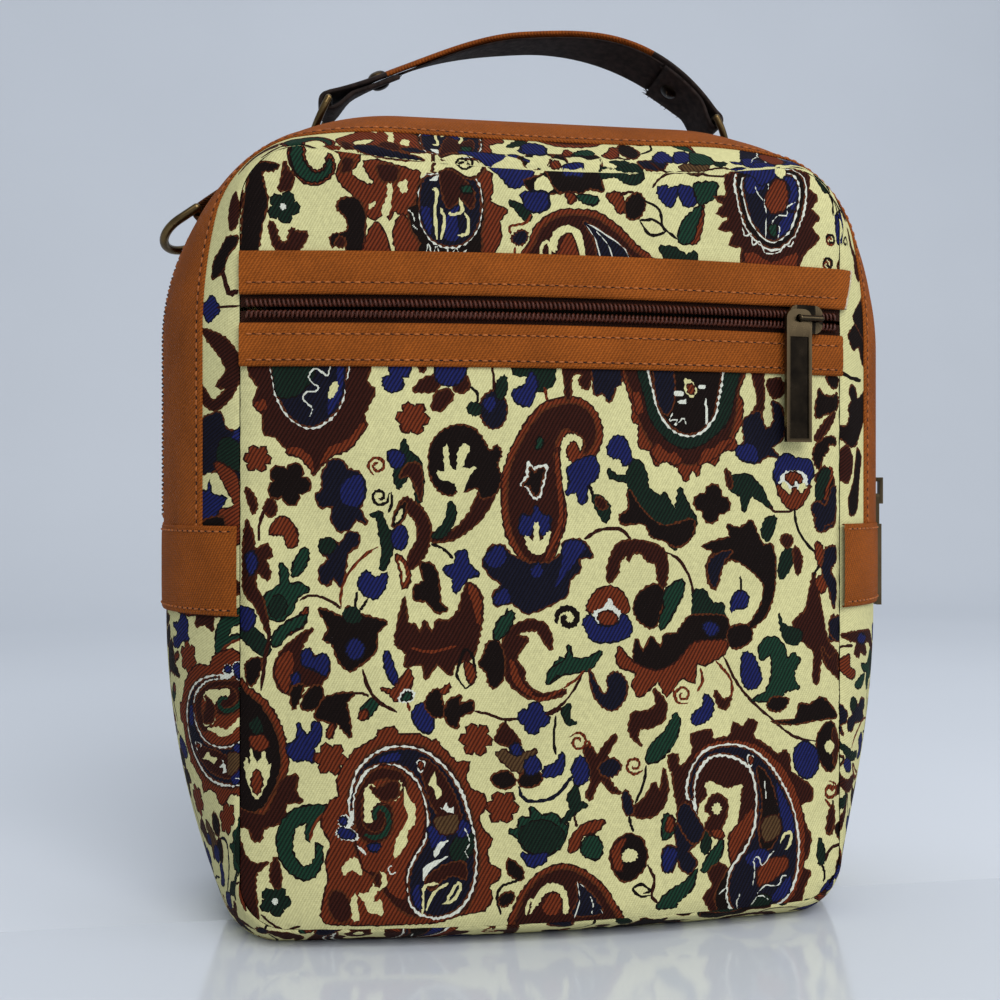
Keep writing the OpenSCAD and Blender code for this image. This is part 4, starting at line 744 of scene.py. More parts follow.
blob("maroon", -61.2, 38.2, -63, 45.8, -61.2, 53.6, -57.5, 59, -52.5, 62.1, -45.6, 62.7, -39.4, 61.1,
     -33.4, 56.4, -29, 49.6, -25.7, 39.7, -24.1, 31.1, -24.1, 22.9, -25.8, 16.3, -30, 11.4, -45, 11.5,
     -54.3, 21.1, -60.6, 30.6)
blob("white", -38.9, 10.2, -43.1, 12.2, -45.5, 16.9, -45.5, 22.8, -43.6, 28.6, -40.5, 33.5, -39.6,
     39.1, -40.5, 45.3, -42.9, 51.3, -47, 55.1, -50.6, 56.1, -54.1, 55.8, -57.1, 54.1, -60, 50, -61.2,
     45.6, -61.2, 40.1, -62.1, 39.2, -62.9, 45.8, -61.1, 53.4, -57.8, 58.1, -53.2, 61.3, -46.3, 62.2,
     -39.8, 60.5, -34, 55.8, -29.4, 49.3, -26.3, 39.6, -24.7, 31.2, -24.7, 23.4, -26.3, 17, -30.2,
     11.8, -35.5, 10)
blob("ink", -38.7, 11.2, -42.5, 13.1, -44.6, 17.1, -44.6, 22.7, -42.7, 28.2, -39.6, 33.3, -38.6, 39.1,
     -39.6, 45.6, -42.2, 52.3, -46.7, 56.2, -50.6, 57.2, -54.5, 56.9, -58.1, 54.9, -60.9, 50.5, -62,
     45.8, -61.8, 42.6, -61.8, 45.8, -60.2, 53, -57.1, 57.3, -52.9, 60.3, -46.3, 61.2, -40.3, 59.6,
     -34.8, 55.1, -30.5, 48.8, -27.3, 39.3, -25.7, 31.2, -25.7, 23.7, -27.3, 17.5, -31, 12.9, -35.7,
     11.1)
blob("navy", -53.1, 58.9, -48.1, 60.1, -48.1, 57.9, -53.1, 57.5)
blob("maroon", -41.9, 58.1, -36.9, 55.5, -31.8, 47.8, -29.3, 38.9, -33.1, 37.7, -38.1, 44.2, -40, 50.5)
leaf("cream", -39.1, 50.5, -37.2, 54.3, -36.6, 50.4, -35, 47.9, -36.6, 46, -37.5, 49.2)
leaf("white", -36.2, 44.1, -35, 42.8, -33.7, 45, -33.1, 43.1, -31.5, 43.4, -31.8, 40.2, -33.4, 39.6,
     -33.7, 41.9)
leaf("white", -42.6, 57.8, -40, 57.3, -41.1, 54, -42.2, 54.7)
blob("rust", -41.9, 56.9, -40.8, 56.7, -41.4, 55.1)
blob("navy", -39.1, 37.9, -35, 36.5, -33.7, 33.3, -38.1, 31.5, -38.7, 34.1)
blob("dgreen", -31.8, 33.3, -26.8, 36.3, -25.8, 30.6, -29.3, 26.9, -32.5, 28.8)
blob("navy", -30.6, 38.9, -27.4, 38.8, -26.8, 35.7, -30, 34.5)
blob("brownish", -36.9, 40.3, -30.6, 40.8, -31.2, 36.4, -35.6, 35.9)
leaf("white", -36.2, 32.7, -33.1, 33.6, -35, 31.4, -37.2, 28.3, -37.5, 30.2)
leaf("white", -40.9, 25.3, -38.1, 27.1, -33.1, 28.9, -36.9, 26.1, -39.7, 23.3, -40.6, 21.5)
blob("maroon", -40, 21.5, -35, 25.8, -28.7, 26.8, -28.1, 21.8, -31.8, 23.1, -35.6, 21.3, -38.1, 18.9)
vine("cream", 0.6, -40.9, 11.4, -40.9, 17.7, -39.7, 20.2, -36.2, 20.7)
vine("cream", 0.5, -39.7, 12.6, -38.1, 17, -35.6, 19.4, -33.1, 20.6)
vine("cream", 0.6, -35, 14.4, -31.8, 15.5, -29.6, 18.6, -30.3, 20.6, -32.5, 17.5, -33.7, 15)
blob("navy", -43.8, 18.4, -41.9, 20.2, -41.6, 13.3, -43.1, 14.6)
vine("white", 0.5, -28.7, 37.6, -27.4, 35, -26.8, 32.5, -28.1, 30, -27.1, 28.1)
blob("rust", -54.3, 55.8, -49.4, 55.8, -43.8, 51.8, -40.9, 45.5, -40.3, 39.2, -41.6, 33.5, -44.1, 29.1,
     -46.3, 23.5, -45.9, 16.5, -50.6, 18.5, -54.3, 24.3, -58.1, 25.6, -60.6, 36.3, -57.5, 33.3, -54,
     33.1, -50.9, 35.6, -50, 39.3, -50.9, 44.4, -54.3, 46.3, -57.5, 52)
blob("maroon", -60.6, 40.1, -60.6, 45.6, -59.3, 49.7, -56.6, 53.6, -53.7, 55.3, -48.7, 54.9, -45.6,
     51.9, -46.3, 47.5, -49.4, 51.9, -54.3, 52, -57.5, 49.5, -59, 44.5, -58.7, 38.8, -55.6, 36.3,
     -53.1, 36.9, -51.9, 39.4, -51.9, 42.5, -53.7, 43.8, -50.6, 44.4, -49.7, 39.3, -50.9, 35.2, -54.3,
     33.1, -57.8, 33.6, -60.2, 36.3)
leaf("cream", -58.1, 43.2, -58.1, 48.9, -56.2, 51.1, -54.3, 49.5, -51.5, 50.7, -48.1, 51.9, -46.9,
     50.6, -48.1, 46.2, -51.9, 45.7, -54.3, 45.1, -56.2, 42.6, -55.6, 39.4, -58.1, 39.4)
leaf("maroon", -56.5, 50.1, -54.3, 49.5, -50.6, 51.3, -48.1, 51.3, -48.1, 46.9, -52.5, 45.7, -55, 47.6)
leaf("cream", -46.3, 50, -44.4, 45.5, -43.1, 44.3, -43.1, 39.2, -45, 36.7, -45.6, 32.9, -48.1, 29.2,
     -49.4, 28.6, -48.7, 34.3, -46.3, 38, -45, 41.1, -46.3, 44.3)
vine("green", 1.3, -55, 40, -55, 42.5, -53.4, 43.8, -51.5, 42.2, -50.9, 39, -52.2, 35.9, -55, 34.7,
     -58.1, 35.7)
blob("white", -66.1, 37.6, -63.4, 38.2, -60.6, 36.3, -60.2, 34.1, -64.3, 34.1, -66.5, 35.7)
blob("navy", -65.5, 37.3, -63.7, 37.6, -61.1, 36, -61.2, 34.7, -64, 34.8, -65.7, 36)
blob("white", -65.8, 40.8, -63.7, 41.7, -61.8, 40.1, -62.4, 37.9, -65.5, 38.6)
blob("navy", -65.4, 40.4, -63.8, 40.9, -63.4, 38.9, -65, 39)
leaf("cream", -64.9, 25.3, -63, 28.2, -60.6, 28.8, -58.9, 25.6, -59, 23.4, -61.8, 25, -64, 23.4)
blob("navy", -56.8, 32.5, -53.7, 32.8, -54.3, 30.9, -56.2, 30.9)
leaf("white", -60.2, 32.5, -58.7, 31.6, -57.5, 29.7, -58.4, 30, -59.8, 31.3)
vine("white", 0.6, -49.7, 26.7, -50.9, 25.5, -50.3, 23.9, -48.7, 24.2)
leaf("cream", -59.9, 18, -56.8, 18.6, -54.3, 24.3, -51.9, 24.2, -51.5, 20.4, -54.3, 18.6, -55.6, 15.5,
     -53.1, 16.1, -52.5, 11.6, -56.8, 12.3, -58.1, 15.5)
leaf("maroon", -55, 23.6, -53.4, 23.9, -53.6, 20.5, -55, 20.8)
blob("maroon", -68.7, 16.2, -67.4, 18.9, -64.3, 18.2, -62.2, 14.9, -62.9, 10.3, -65.5, 9.7, -68.1, 12.5)
leaf("cream", -62.1, 16.2, -60.6, 18.1, -59.6, 10.5, -61.5, 9.9)
leaf("maroon", -19.3, 63.2, -16.6, 68.5, -12.7, 64.5, -11.4, 61.8, -14.7, 61.2)
vine("maroon", 0.6, -16, 69.6, -16.1, 67.7)
leaf("brownish", -18.7, 58.9, -16.6, 60.3, -14.7, 58.8, -13.4, 62.1, -10.2, 59.3, -6.7, 60, -8.3, 57.2,
     -10.9, 53.5, -14.7, 54.9)
blob("navy", -14.4, 61.3, -12.2, 61.9, -11.2, 59.3, -13.4, 58.8)
blob("black", -20.1, 52.5, -15.4, 53.9, -12.9, 50.5, -16, 48.7, -19.3, 49.9)
blob("black", -12.2, 50.3, -10.2, 53.6, -7, 54.9, -4.8, 50.8, -9, 48.8)
blob("navy", -10.2, 56.1, -7, 58.1, -5.3, 54.7, -7.7, 52.7, -9.7, 53.4)
vine("ink", 1.0, -12, 49.2, -11.2, 46.3, -9, 44.6, -4.4, 44.6, 0.1, 46.5, 3.3, 50.2, 5.3, 52.5)
blob("navy", -4.3, 51.8, -3.8, 54.6, -0.9, 55.8, 1.3, 58.8, 1.9, 55.7, 0.7, 52.6)
vine("black", 0.4, -0.6, 70.2, -1.3, 63.5, -0.7, 58.4)
leaf("green", -14.9, 35.9, -12.2, 36.4, -11.5, 39.6, -8.3, 39.5, -8.3, 42.9, -5.1, 40, -1.2, 40.5, 2.7,
     36.5, 3.3, 37.7, 1.4, 30.8, -3.8, 27.7, -10.2, 29.9, -12.2, 33.3)
blob("dgreen", -11.5, 35.8, -5.1, 38.7, 1.4, 35.3, 0.1, 30.8, -3.8, 28.1, -9.9, 30.3)
leaf("navy", -11.3, 28.9, -7.7, 28.1, -3.3, 28.6, -4.3, 25.8, -8.3, 24.6)
blob("black", -15.5, 23.8, -15, 27.3, -10.7, 23.6, -11.4, 20.9, -14.1, 22.1)
vine("black", 0.4, -10.4, 21.6, -13.8, 20.3, -17, 19.1, -18.6, 15.7, -17.4, 10.6)
blob("black", -17.7, 13.5, -17.3, 16.4, -14, 17.2, -13.6, 14.9, -16, 13.2)
blob("rust", -12.6, 5.3, -12.6, 14.2, -9.9, 18.6, -5.4, 22.9, 1.1, 24.9, 7.1, 23.3, 13, 18.7, 17, 13.3,
     19.4, 3.4)
blob("maroon", -10.9, 5.2, -11, 13.8, -8.6, 17.8, -4.7, 21.6, 1.1, 23.5, 6.6, 21.9, 11.9, 17.8, 15.5,
     12.7, 17.5, 3.5)
blob("cream", -8.3, 13.3, -4.7, 18.4, -0.9, 19.5, 2.5, 16.6, 3.3, 10.7, 1.7, 10, 1.1, 14.8, -0.9, 16.8,
     -4.1, 16.3, -6.2, 12.9)
blob("rust", -4.7, 12.5, -2.8, 15.6, -0.2, 16.1, 1.1, 12.9, -0.2, 10.1, -3.5, 10.3)
vine("cream", 0.5, -9.9, 10.2, -8.6, 14.6, -7.3, 13.3, -8.6, 10.5)
blob("ink", 6.2, 19.2, 10.3, 15.7, 13.9, 9.4, 4.7, 9.3, 6.2, 13.9)
vine("white", 0.4, 6, 19.6, 9.9, 15.9, 14.1, 9.4)
vine("white", 0.4, 6, 19.6, 6.8, 13.8, 5.1, 8.1)
vine("white", 0.4, 9.9, 14.9, 10.9, 12.3, 10.6, 9.4)
leaf("green", -3.3, 79.9, -2.5, 84, 2.4, 87.1, 3.4, 91.6, 4.7, 87.7, 9.6, 87.6, 13.6, 89.5, 10.3, 84.2,
     5, 83.1, -0.2, 82.5)
vine("rust", 0.6, 1.7, 78.5, 5.3, 80.9, 8.4, 83.7)
vine("maroon", 0.8, -3.6, 71.2, -0.2, 72.6, 3.4, 75.9, 7.6, 82.5)
vine("rust", 0.6, -10.5, 78.4, -6.7, 75.7, -3.5, 75.7, 1.7, 78.5)
blob("ink", 9.8, 84.2, 11.6, 80.4, 14.2, 76.5, 15.7, 77.7, 15.4, 81, 17.5, 83, 20.3, 81.9, 21.7, 78.2,
     20.3, 73.6, 16.9, 71.4, 13.4, 73.2, 10.8, 77.2)
leaf("dgreen", 1, 71.8, 3.7, 73.7, 3.7, 69.1, 5.9, 67.8, 3, 67.3)
leaf("maroon", 22.1, 65.9, 23.6, 70.4, 28.3, 70.8, 31, 72.7, 30.2, 77.5, 32.5, 75.4, 34.5, 71.9, 33.2,
     67.3, 29, 65.5, 25.9, 65.4, 24.9, 62.6, 26.4, 60, 23.4, 62.6)
curl("rust", 39.8, 75.3, 3.2, 300, 1.5, 0.5)
vine("rust", 0.5, 37.1, 80.9, 36.5, 77.7, 37.1, 74.4)
vine("rust", 0.5, 45.6, 83.6, 46.2, 79.3, 44.4, 76.1)
vine("rust", 0.6, 50.4, 85.7, 52.9, 83, 55.7, 79.6, 56.1, 75.3, 54.3, 72.4)
blob("maroon", 50.3, 76, 53.2, 73.2, 55.7, 73.8, 53.9, 70.3, 51.3, 71.7)
blob("navy", 43.2, 66.2, 42.9, 68.9, 46.2, 71.4, 46.9, 74.9, 49.5, 72.7, 49.1, 68.5, 46.2, 66.3)
vine("maroon", 0.6, 53.1, 87.3, 57.5, 78.8, 63.3, 71.9, 69.9, 66.3, 77.3, 60.5, 85.8, 58.1)
leaf("green", 65.3, 89.1, 67.7, 91.9, 71.4, 92.1, 74.5, 88.8, 75.1, 84.8, 77.3, 86.8, 79.9, 84.6, 77.7,
     81.3, 78.1, 77.9, 79.5, 75.7, 76.6, 75.2, 74.3, 74.6, 72.1, 72, 62.9, 72.5, 67.7, 75.1, 69.9,
     80.3, 69.9, 85, 69.1, 87, 66.2, 85)
blob("navy", 59.3, 82.7, 60.2, 87.5, 63.3, 86.6, 65.2, 82.5, 66, 78.5, 62.9, 76.1, 60.2, 77.9)
blob("black", 68.3, 71, 70.6, 73.1, 75.4, 72.5, 74.8, 69.9, 72.1, 68.6, 69, 69.5)
leaf("black", 69.5, 65.5, 78.1, 65.8, 79.6, 70.4, 83.4, 70.1, 88, 72.3, 92.8, 67.6, 93.8, 65.4, 88.8,
     65.2, 83.4, 64.7, 77.3, 64.2)
blob("black", 85.9, 56.5, 86.6, 60.6, 90.3, 64.3, 93.6, 61.4, 94.9, 55.9, 93.6, 50.6, 90.3, 48.1, 86.9,
     52.4)
blob("maroon", 91.9, 61.6, 93.9, 59.7, 94.5, 54.6, 92.7, 49.9, 92, 54.8)
blob("cream", 88.6, 56.4, 90.7, 58.2, 92.5, 56.1, 90.7, 53.9)
blob("navy", 77.8, 51.6, 78.2, 56.4, 81.9, 58.3, 85.8, 55.2, 86.3, 50.3, 84.1, 46.9, 80.2, 47.6)
curl("rust", 90.9, 42.1, 3.1, 100, 1.4, 0.4)
vine("rust", 0.4, 88.8, 39.4, 91.3, 36.5, 91.5, 33.7)
blob("maroon", 89.7, 29, 90.7, 34.6, 92.4, 33, 91.6, 28)
leaf("maroon", 95.8, 77.7, 99.4, 76.2, 99.4, 32.5, 96.5, 33.3, 96.2, 40.7, 93.3, 40.2, 94.2, 43, 96.5,
     45.6, 95.5, 62.7)
rosette("black", 96.9, 28.5, 3.2, 5)
blob("dgreen", 86.3, 20.6, 86.8, 27, 88.5, 23.8, 88.9, 19.7, 87.6, 18.2)
vine("black", 0.4, 87.8, 18.5, 88.9, 15.6, 88.4, 12.6)
vine("black", 0.5, 89.2, 21.4, 92.7, 23.7, 98.3, 23)
rosette("black", 97.3, 16.2, 3.0, 5)
blob("navy", 87.4, 4.7, 88.4, 8.9, 91.1, 13, 91.7, 9.2, 89.7, 5.1)
vine("black", 0.5, 90.7, 11.7, 93.1, 13.8, 96.5, 14.8)
curl("green", 83.4, 5.3, 2.2, 180, 1.2, 0.4)
blob("maroon", 94.2, 5.5, 95.8, 9.4, 96.9, 7.3, 95.4, 4.7)
leaf("maroon", 7.8, 60.1, 10.3, 60.7, 12.2, 57.3, 14.2, 60.4, 17.5, 63.8, 18.4, 62.8, 15.5, 57.8, 16.5,
     54.5, 15.5, 51.3, 17.5, 48, 19.8, 45.7, 16.2, 46.7, 13.6, 50.1, 11.6, 47.6, 10.3, 44.2, 8.8, 45.8,
     10.3, 49.6, 9.9, 54.1)
blob("navy", 4.5, 54.3, 7, 57.7, 9.4, 54.2, 8.9, 50.2, 5.7, 48.9, 4.9, 51.8)
blob("ink", 12.9, 54.7, 17.5, 56.5, 19.8, 53.7, 16.9, 51, 13.6, 51.9)
curl("rust", 6.2, 62, 3.2, 150, 1.4, 0.6)
vine("rust", 0.6, 9.3, 62.5, 10.3, 60.2)
leaf("dgreen", 0.8, 37.7, 3.7, 41.6, 3, 45.4, 5.7, 48.8, 7.1, 44, 9.2, 42.6, 5.7, 40.7, 3, 38.1)
leaf("green", 27.8, 55, 29, 59.8, 33.7, 64.1, 37.3, 69.6, 38.7, 67.2, 37.3, 61.2, 32.4, 55.6)
vine("black", 0.4, 27.7, 54, 26.9, 48.2, 24.1, 42.4)
curl("rust", 24.1, 54.2, 3.1, 330, 1.4, 0.6)
leaf("maroon", 23.4, 41.1, 27.6, 44.3, 30.3, 48.7, 32.4, 45.8, 33.5, 52.8, 34.9, 47.1, 33.9, 41.8,
     30.3, 38.2, 25.6, 38, 23.4, 39.2)
blob("ink", 20.1, 43.4, 21.2, 46.8, 23, 43.9, 23.7, 39.8, 21.5, 39.2)
vine("black", 0.6, 22.5, 39, 22.7, 36.4, 23.7, 33.8)
leaf("black", 16.1, 27.3, 18.2, 31.3, 22.2, 33.4, 26.4, 31.4, 28.1, 26.7, 27.1, 22.1, 23.6, 19.1, 20.2,
     18.8, 17.4, 22.1)
blob("rust", 16.9, 27.4, 18.9, 30.8, 21.2, 31.7, 19.5, 27.9, 20.2, 22.7, 17.9, 22.8)
blob("cream", 20.1, 26.7, 22.2, 28.7, 25, 27.2, 24.2, 25, 20.9, 24.6)
vine("maroon", 0.9, 28.1, 23.5, 30.4, 18.8, 29.6, 13.6, 31.8, 11)
vine("black", 0.5, 29.3, 13.7, 25.6, 13.9, 23.6, 16.3, 26.2, 17.4, 29, 15.3, 26.9, 14.6)
leaf("rust", 3.6, 28.5, 4.3, 33.2, 8.3, 36.9, 14.5, 37.8, 12.2, 34.6, 7.6, 33.6, 6.3, 29.8)
blob("green", 7.2, 29.2, 8.6, 32.5, 11.7, 33, 13.8, 29.5, 12.4, 26.1, 8.8, 27.1)
vine("maroon", 0.5, 4.9, 39.7, 6, 36)
leaf("ink", 33.2, 21.7, 32.9, 27.1, 35.1, 28.9, 37.8, 28, 37.1, 32.7, 37.8, 36, 40.3, 40.9, 41.4, 38.3,
     44.1, 34.2, 46.5, 32.7, 44.1, 28.8, 41.3, 26.5, 44.4, 23, 42, 19.6, 39.1, 21.3, 37.8, 24.8, 36.5,
     20.8, 34.4, 20.6)
blob("navy", 33.4, 21.8, 33.7, 27.7, 37.1, 27.4, 37.8, 25.4, 35.4, 21)
blob("green", 32.9, 33.4, 33.7, 38.2, 36.6, 37.3, 36.6, 32.7, 33.7, 30.8)
blob("rust", 34.4, 33.5, 35.1, 37.3, 36.5, 36.9, 36.3, 33.4)
blob("green", 46, 20, 47.6, 24.1, 52.8, 29.3, 52.3, 24.4, 49, 20.5)
blob("dgreen", 45.7, 26.7, 46.9, 32.3, 49.1, 29.9, 47.9, 25.7)
leaf("green", 31, 9.9, 34.4, 13.9, 40.6, 17.4, 44.4, 20.8, 42.8, 15.1, 37.8, 10.9, 37.3, 9.4)
leaf("maroon", 37.8, 41.1, 37, 45.1, 36.3, 51, 35.3, 53, 35.1, 56.6, 37.8, 56.9, 38.2, 53.5, 39.9,
     53.4, 43, 57.8, 42.5, 62.9, 49.1, 63.9, 49.5, 61.1, 55.4, 61.8, 56.6, 65.9, 59.7, 64.2, 61.8,
     66.7, 64.7, 65.4, 63.3, 61, 68.4, 57.7, 72.1, 54.8, 74.5, 56.1, 76.1, 53.8, 76.7, 49.1, 83.7,
     43.9, 84.1, 39.6, 79.6, 38.1, 81.2, 32.6, 83.7, 27.7, 82.8, 22.2, 80.3, 18.5, 83.7, 16.2, 81.2,
     11.7, 80.5, 6.3, 75.1, 4, 66.2, 1.9, 56.1, 2.9, 50.3, 6, 46.6, 11.7, 49.7, 15.3, 48, 19.4, 51.8,
     22.3, 55.4, 20.1, 56.1, 26, 55.1, 30.7, 58.2, 34.5, 58.9, 39.7, 59.7, 46.3, 56.1, 45.6, 53.2,
     45.8, 49, 48.2, 46.9, 47.1, 47.7, 43.6, 44.8, 41.2, 44.1, 37.3, 39.2, 35.7)
blob("rust", 42, 53.9, 46.9, 58.9, 54.6, 60.3, 62.6, 59, 69.1, 55, 75.8, 47.8, 80.3, 36.7, 81.5, 29.2,
     81.1, 21.2, 79.6, 13.9, 75.1, 6.3, 66.9, 4.4, 58.9, 4.5, 66.2, 4.9, 74.3, 8.1, 78.2, 14.7, 79.4,
     22, 79, 29.4, 77.5, 37, 73.9, 45.3, 67.8, 53.2, 62, 57.7, 54.6, 59.2, 47.4, 58)
blob("rust", 55.4, 29.4, 58.9, 34.4, 63.3, 38.1, 62.6, 31.5, 58.9, 26.5, 56.1, 22.1)
blob("black", 55, 5.6, 51.8, 7.3, 50.4, 12, 53.9, 18.9, 56.1, 20.1, 61.1, 26.3, 64, 32.7, 66.2, 41.2,
     67.7, 31.1, 66.2, 17.9, 58.9, 5.3)
blob("white", 66.3, 4.7, 58.8, 4.8, 54.9, 8.7, 54.1, 14.3, 55.6, 20.4, 60.7, 26.6, 63.5, 32.9, 64.2,
     41.3, 62.8, 49.1, 59.4, 53.1, 53.9, 55.4, 49.3, 55, 46, 52.1, 43.9, 47.1, 44.2, 38.7, 43.4, 38.5,
     42.7, 42.1, 40.9, 42.9, 40.8, 47.5, 43, 53.5, 47.3, 58, 54.6, 59.4, 62.1, 57.9, 68.1, 53.4, 74,
     45.5, 77.8, 37.1, 79.4, 29.4, 79.7, 21.8, 78.6, 14.4, 74.8, 8, 70.2, 5)
blob("ink", 66.1, 5.7, 59.2, 5.8, 55.9, 9.1, 55.1, 14.4, 56.6, 19.8, 61.6, 26, 64.5, 32.5, 65.2, 41.2,
     63.7, 49.6, 60, 54.1, 54.1, 56.4, 48.8, 56.1, 44.9, 52.9, 42.9, 47.5, 43.1, 42.7, 42, 43.5, 41.8,
     47.3, 43.8, 52.9, 47.8, 57.1, 54.6, 58.4, 61.6, 57, 67.2, 52.7, 73.1, 45.1, 76.8, 36.9, 78.3,
     29.5, 78.7, 22.2, 77.5, 15.1, 73.9, 8.9, 69.6, 6.1)
blob("black", 64.7, 51.3, 69.1, 47, 72.1, 37.4, 71.4, 28.1, 66.9, 24.5, 65.5, 31.3, 66.6, 40.5)
blob("navy", 71.4, 45.5, 73.6, 42.6, 76.9, 35, 77.7, 29.6, 74.3, 30.5, 72.8, 37.3)
leaf("white", 61.5, 55.5, 63.6, 54.7, 62.9, 51.7, 61.5, 52.1)
blob("rust", 62, 54.6, 63.1, 54.2, 62.6, 52.4)
vine("white", 0.6, 67.4, 46.8, 67.8, 41.1)
blob("brownish", 66.6, 33.8, 71.4, 35.4, 72.8, 30.6, 67.7, 27.7)
blob("navy", 61.1, 23.6, 65.5, 25.3, 69.1, 23.6, 66.9, 19.8, 61.8, 20.9)
leaf("rust", 65.5, 19.3, 69.9, 22.2, 75.1, 21.7, 75.1, 18.4, 69.1, 14.9, 65.1, 14)
vine("white", 0.6, 63.3, 14.2, 64, 18.7, 63.6, 22.1, 65.1, 23, 66.6, 20.2, 69.1, 22.9, 70.6, 24.5)
vine("white", 0.6, 64.7, 11.4, 67.7, 13.7, 72.1, 13.3, 73.6, 16.2, 75.1, 16)
blob("navy", 69.9, 9.5, 73.6, 13.8, 76.6, 15.6, 75.8, 10.9, 71.4, 8)
blob("dgreen", 63.3, 8.8, 66.2, 11.2, 69.9, 8.9, 68.4, 6.2, 64, 6.4)
vine("white", 0.5, 63.3, 7.5, 64.4, 10.1, 66.9, 10.5, 68.8, 9)
vine("cream", 0.6, 72.8, 26.6, 74.3, 29.2, 76.6, 29.6, 76.2, 26.3, 74.7, 24.4)
vine("white", 0.6, 58.9, 5.9, 57.9, 9.3, 58.9, 11.9)
vine("white", 0.6, 51.8, 12.5, 54.6, 14.3, 53.9, 10.4)
leaf("cream", 46.9, 47.1, 49, 48, 53.2, 45.7, 56.1, 45.5, 59.8, 46.3, 58.9, 43, 58.9, 39.7, 58.2, 35.1,
     55.4, 31.4, 52.9, 30.9, 53.9, 34.8, 54.6, 40, 51.8, 43.5, 49, 42.4, 48.3, 37.2, 46.2, 39.3, 47.7,
     43.6)
leaf("maroon", 47, 39.2, 49, 43, 51.8, 43.8, 54.6, 40.7, 53.9, 35.4, 52.2, 32.3, 53.2, 30.2, 49.7,
     30.5, 46.9, 34, 49, 37.1)
blob("cream", 49.3, 39.4, 51.1, 41, 52.7, 39.2, 51.1, 37.3)
blob("rust", 49.7, 32.5, 52.5, 32.2, 53.2, 30.2, 50.4, 30.4)
blob("ink", 37.8, 37.2, 40.3, 41.7, 44.1, 37.4, 46.6, 32.7, 44.1, 28.8, 41.3, 30.4)
vine("maroon", 1.3, -89.1, 239.4, -83.5, 243.1, -77.9, 243.4, -72.3, 241.5)
blob("black", -92.8, 231.8, -90.3, 236.9, -83.6, 236.1, -85, 234.2, -88.1, 234, -87.8, 230.5, -86.7,
     224.9, -88.5, 216.7, -90.2, 208.7, -94.7, 208.4, -94.5, 218, -93.9, 224.3)
blob("maroon", -99, 224.2, -95.3, 228.7, -94, 226.8, -95.3, 221.8, -97.1, 216.1, -99, 217.9)
blob("rust", -80.5, 242, -76.4, 241.7, -75.7, 237.4, -72.8, 234.3, -69.9, 235.1, -68.7, 239.4, -67.1,
     236.8, -67.5, 233.6, -71, 230.5, -75.6, 230.8, -79.4, 234.8)
blob("green", -79.8, 241.7, -76.8, 241.4, -76.3, 237.3, -73.1, 233.5, -70, 234.2, -68.5, 237.5, -67.9,
     236.5, -68.3, 233.8, -71.2, 231.3, -75.3, 231.5, -78.8, 235)
leaf("maroon", -81.6, 237.1, -80.4, 234.3, -78.9, 232.9, -80, 228.5, -83.4, 228.5, -82.4, 232.4)
rosette("dgreen", -81.9, 223.3, 5.0, 5)
blob("white", -83, 223.5, -82.3, 224.5, -81.1, 223.6, -82.1, 222.3)
blob("maroon", -86.1, 218.7, -84.4, 217.9, -83.2, 213.5, -81, 212.9, -79.8, 216.8, -77.9, 216.1, -74.9,
     215.4, -76.6, 211.5, -79.8, 209.6, -84.1, 210.9, -85.8, 214.8)
leaf("rust", -69.4, 242.9, -63.7, 243, -60.1, 241.3, -59.8, 237.5, -62.1, 233.7, -60.2, 231.5, -56.5,
     230, -55, 230.7, -57.5, 234.4, -58.1, 237, -54.3, 237.6, -48.1, 235.8, -44.4, 234.6, -41.7, 234,
     -43, 227.7, -42.3, 223.3, -46.3, 221.2, -49.4, 222.5, -50.6, 219.9, -51.9, 222.5, -55, 219.7,
     -58.1, 221.7, -61.2, 226.8, -64.4, 229.8, -66.3, 233.1, -64.9, 238.7)
leaf("maroon", -54.3, 236.3, -48.1, 235.5, -48.7, 231.4, -53.1, 231.3)
leaf("maroon", -64.3, 238.1, -61.2, 237.5, -62.4, 234.4, -64.9, 233.7)
leaf("cream", -48.1, 230.8, -45.6, 231.7, -45.3, 228.3, -47.2, 227.9)
leaf("cream", -56.8, 224.3, -54.7, 225.3, -55.3, 223.7, -56.8, 222.8)
leaf("cream", -51.5, 230.4, -49.7, 230.1, -50.5, 221.9, -52.2, 220, -53.1, 223.1, -51.5, 226.9)
blob("black", -66, 223, -64.9, 225.7, -60.6, 226.1, -58.4, 223.1, -57.8, 219.3, -59.2, 209.2, -63,
     209.2, -64, 214.2, -67.4, 211.4, -67.9, 214.8, -64.9, 215.6, -62.9, 216.7, -63.7, 220.5)
blob("maroon", -66.8, 212.3, -65.5, 214.5, -64, 213.6, -64.6, 211.4)
leaf("rust", -58.3, 209.2, -57, 215.5, -54.3, 218.8, -51.7, 214.3, -50.9, 209.3)
leaf("rust", -49.5, 216.2, -46.9, 221.4, -43.6, 216.9, -41.6, 209.4, -48.1, 209.3)
blob("ink", -60.8, 243.6, -54.3, 244.3, -50.3, 242.1, -44.3, 240.3, -40.3, 238.3, -43.8, 238, -50,
     238.2, -57.6, 240.1)
blob("ink", -47.1, 242.8, -43.1, 243.6, -39.1, 241.7, -43.1, 241.1)
leaf("rust", -26.5, 233.1, -20.8, 234.9, -20.1, 229.5, -20.8, 225.7, -15.7, 223.3, -17.9, 220, -17.6,
     214.3, -20.5, 209.8, -26.2, 208.4, -23.6, 218.6, -23, 225)
leaf("black", -45.3, 223.2, -43.1, 224.5, -41.9, 230.9, -38.1, 233.8, -26.2, 233.8, -22.7, 228.2,
     -22.4, 221.8, -23.3, 216.1, -24.3, 209.1, -41.9, 208.8, -41.6, 212.6, -44.1, 216.9)
vine("white", 0.4, -45.3, 222.9, -43.8, 221.4, -43.1, 218.8)
vine("white", 0.4, -43.8, 218.2, -42.5, 217)
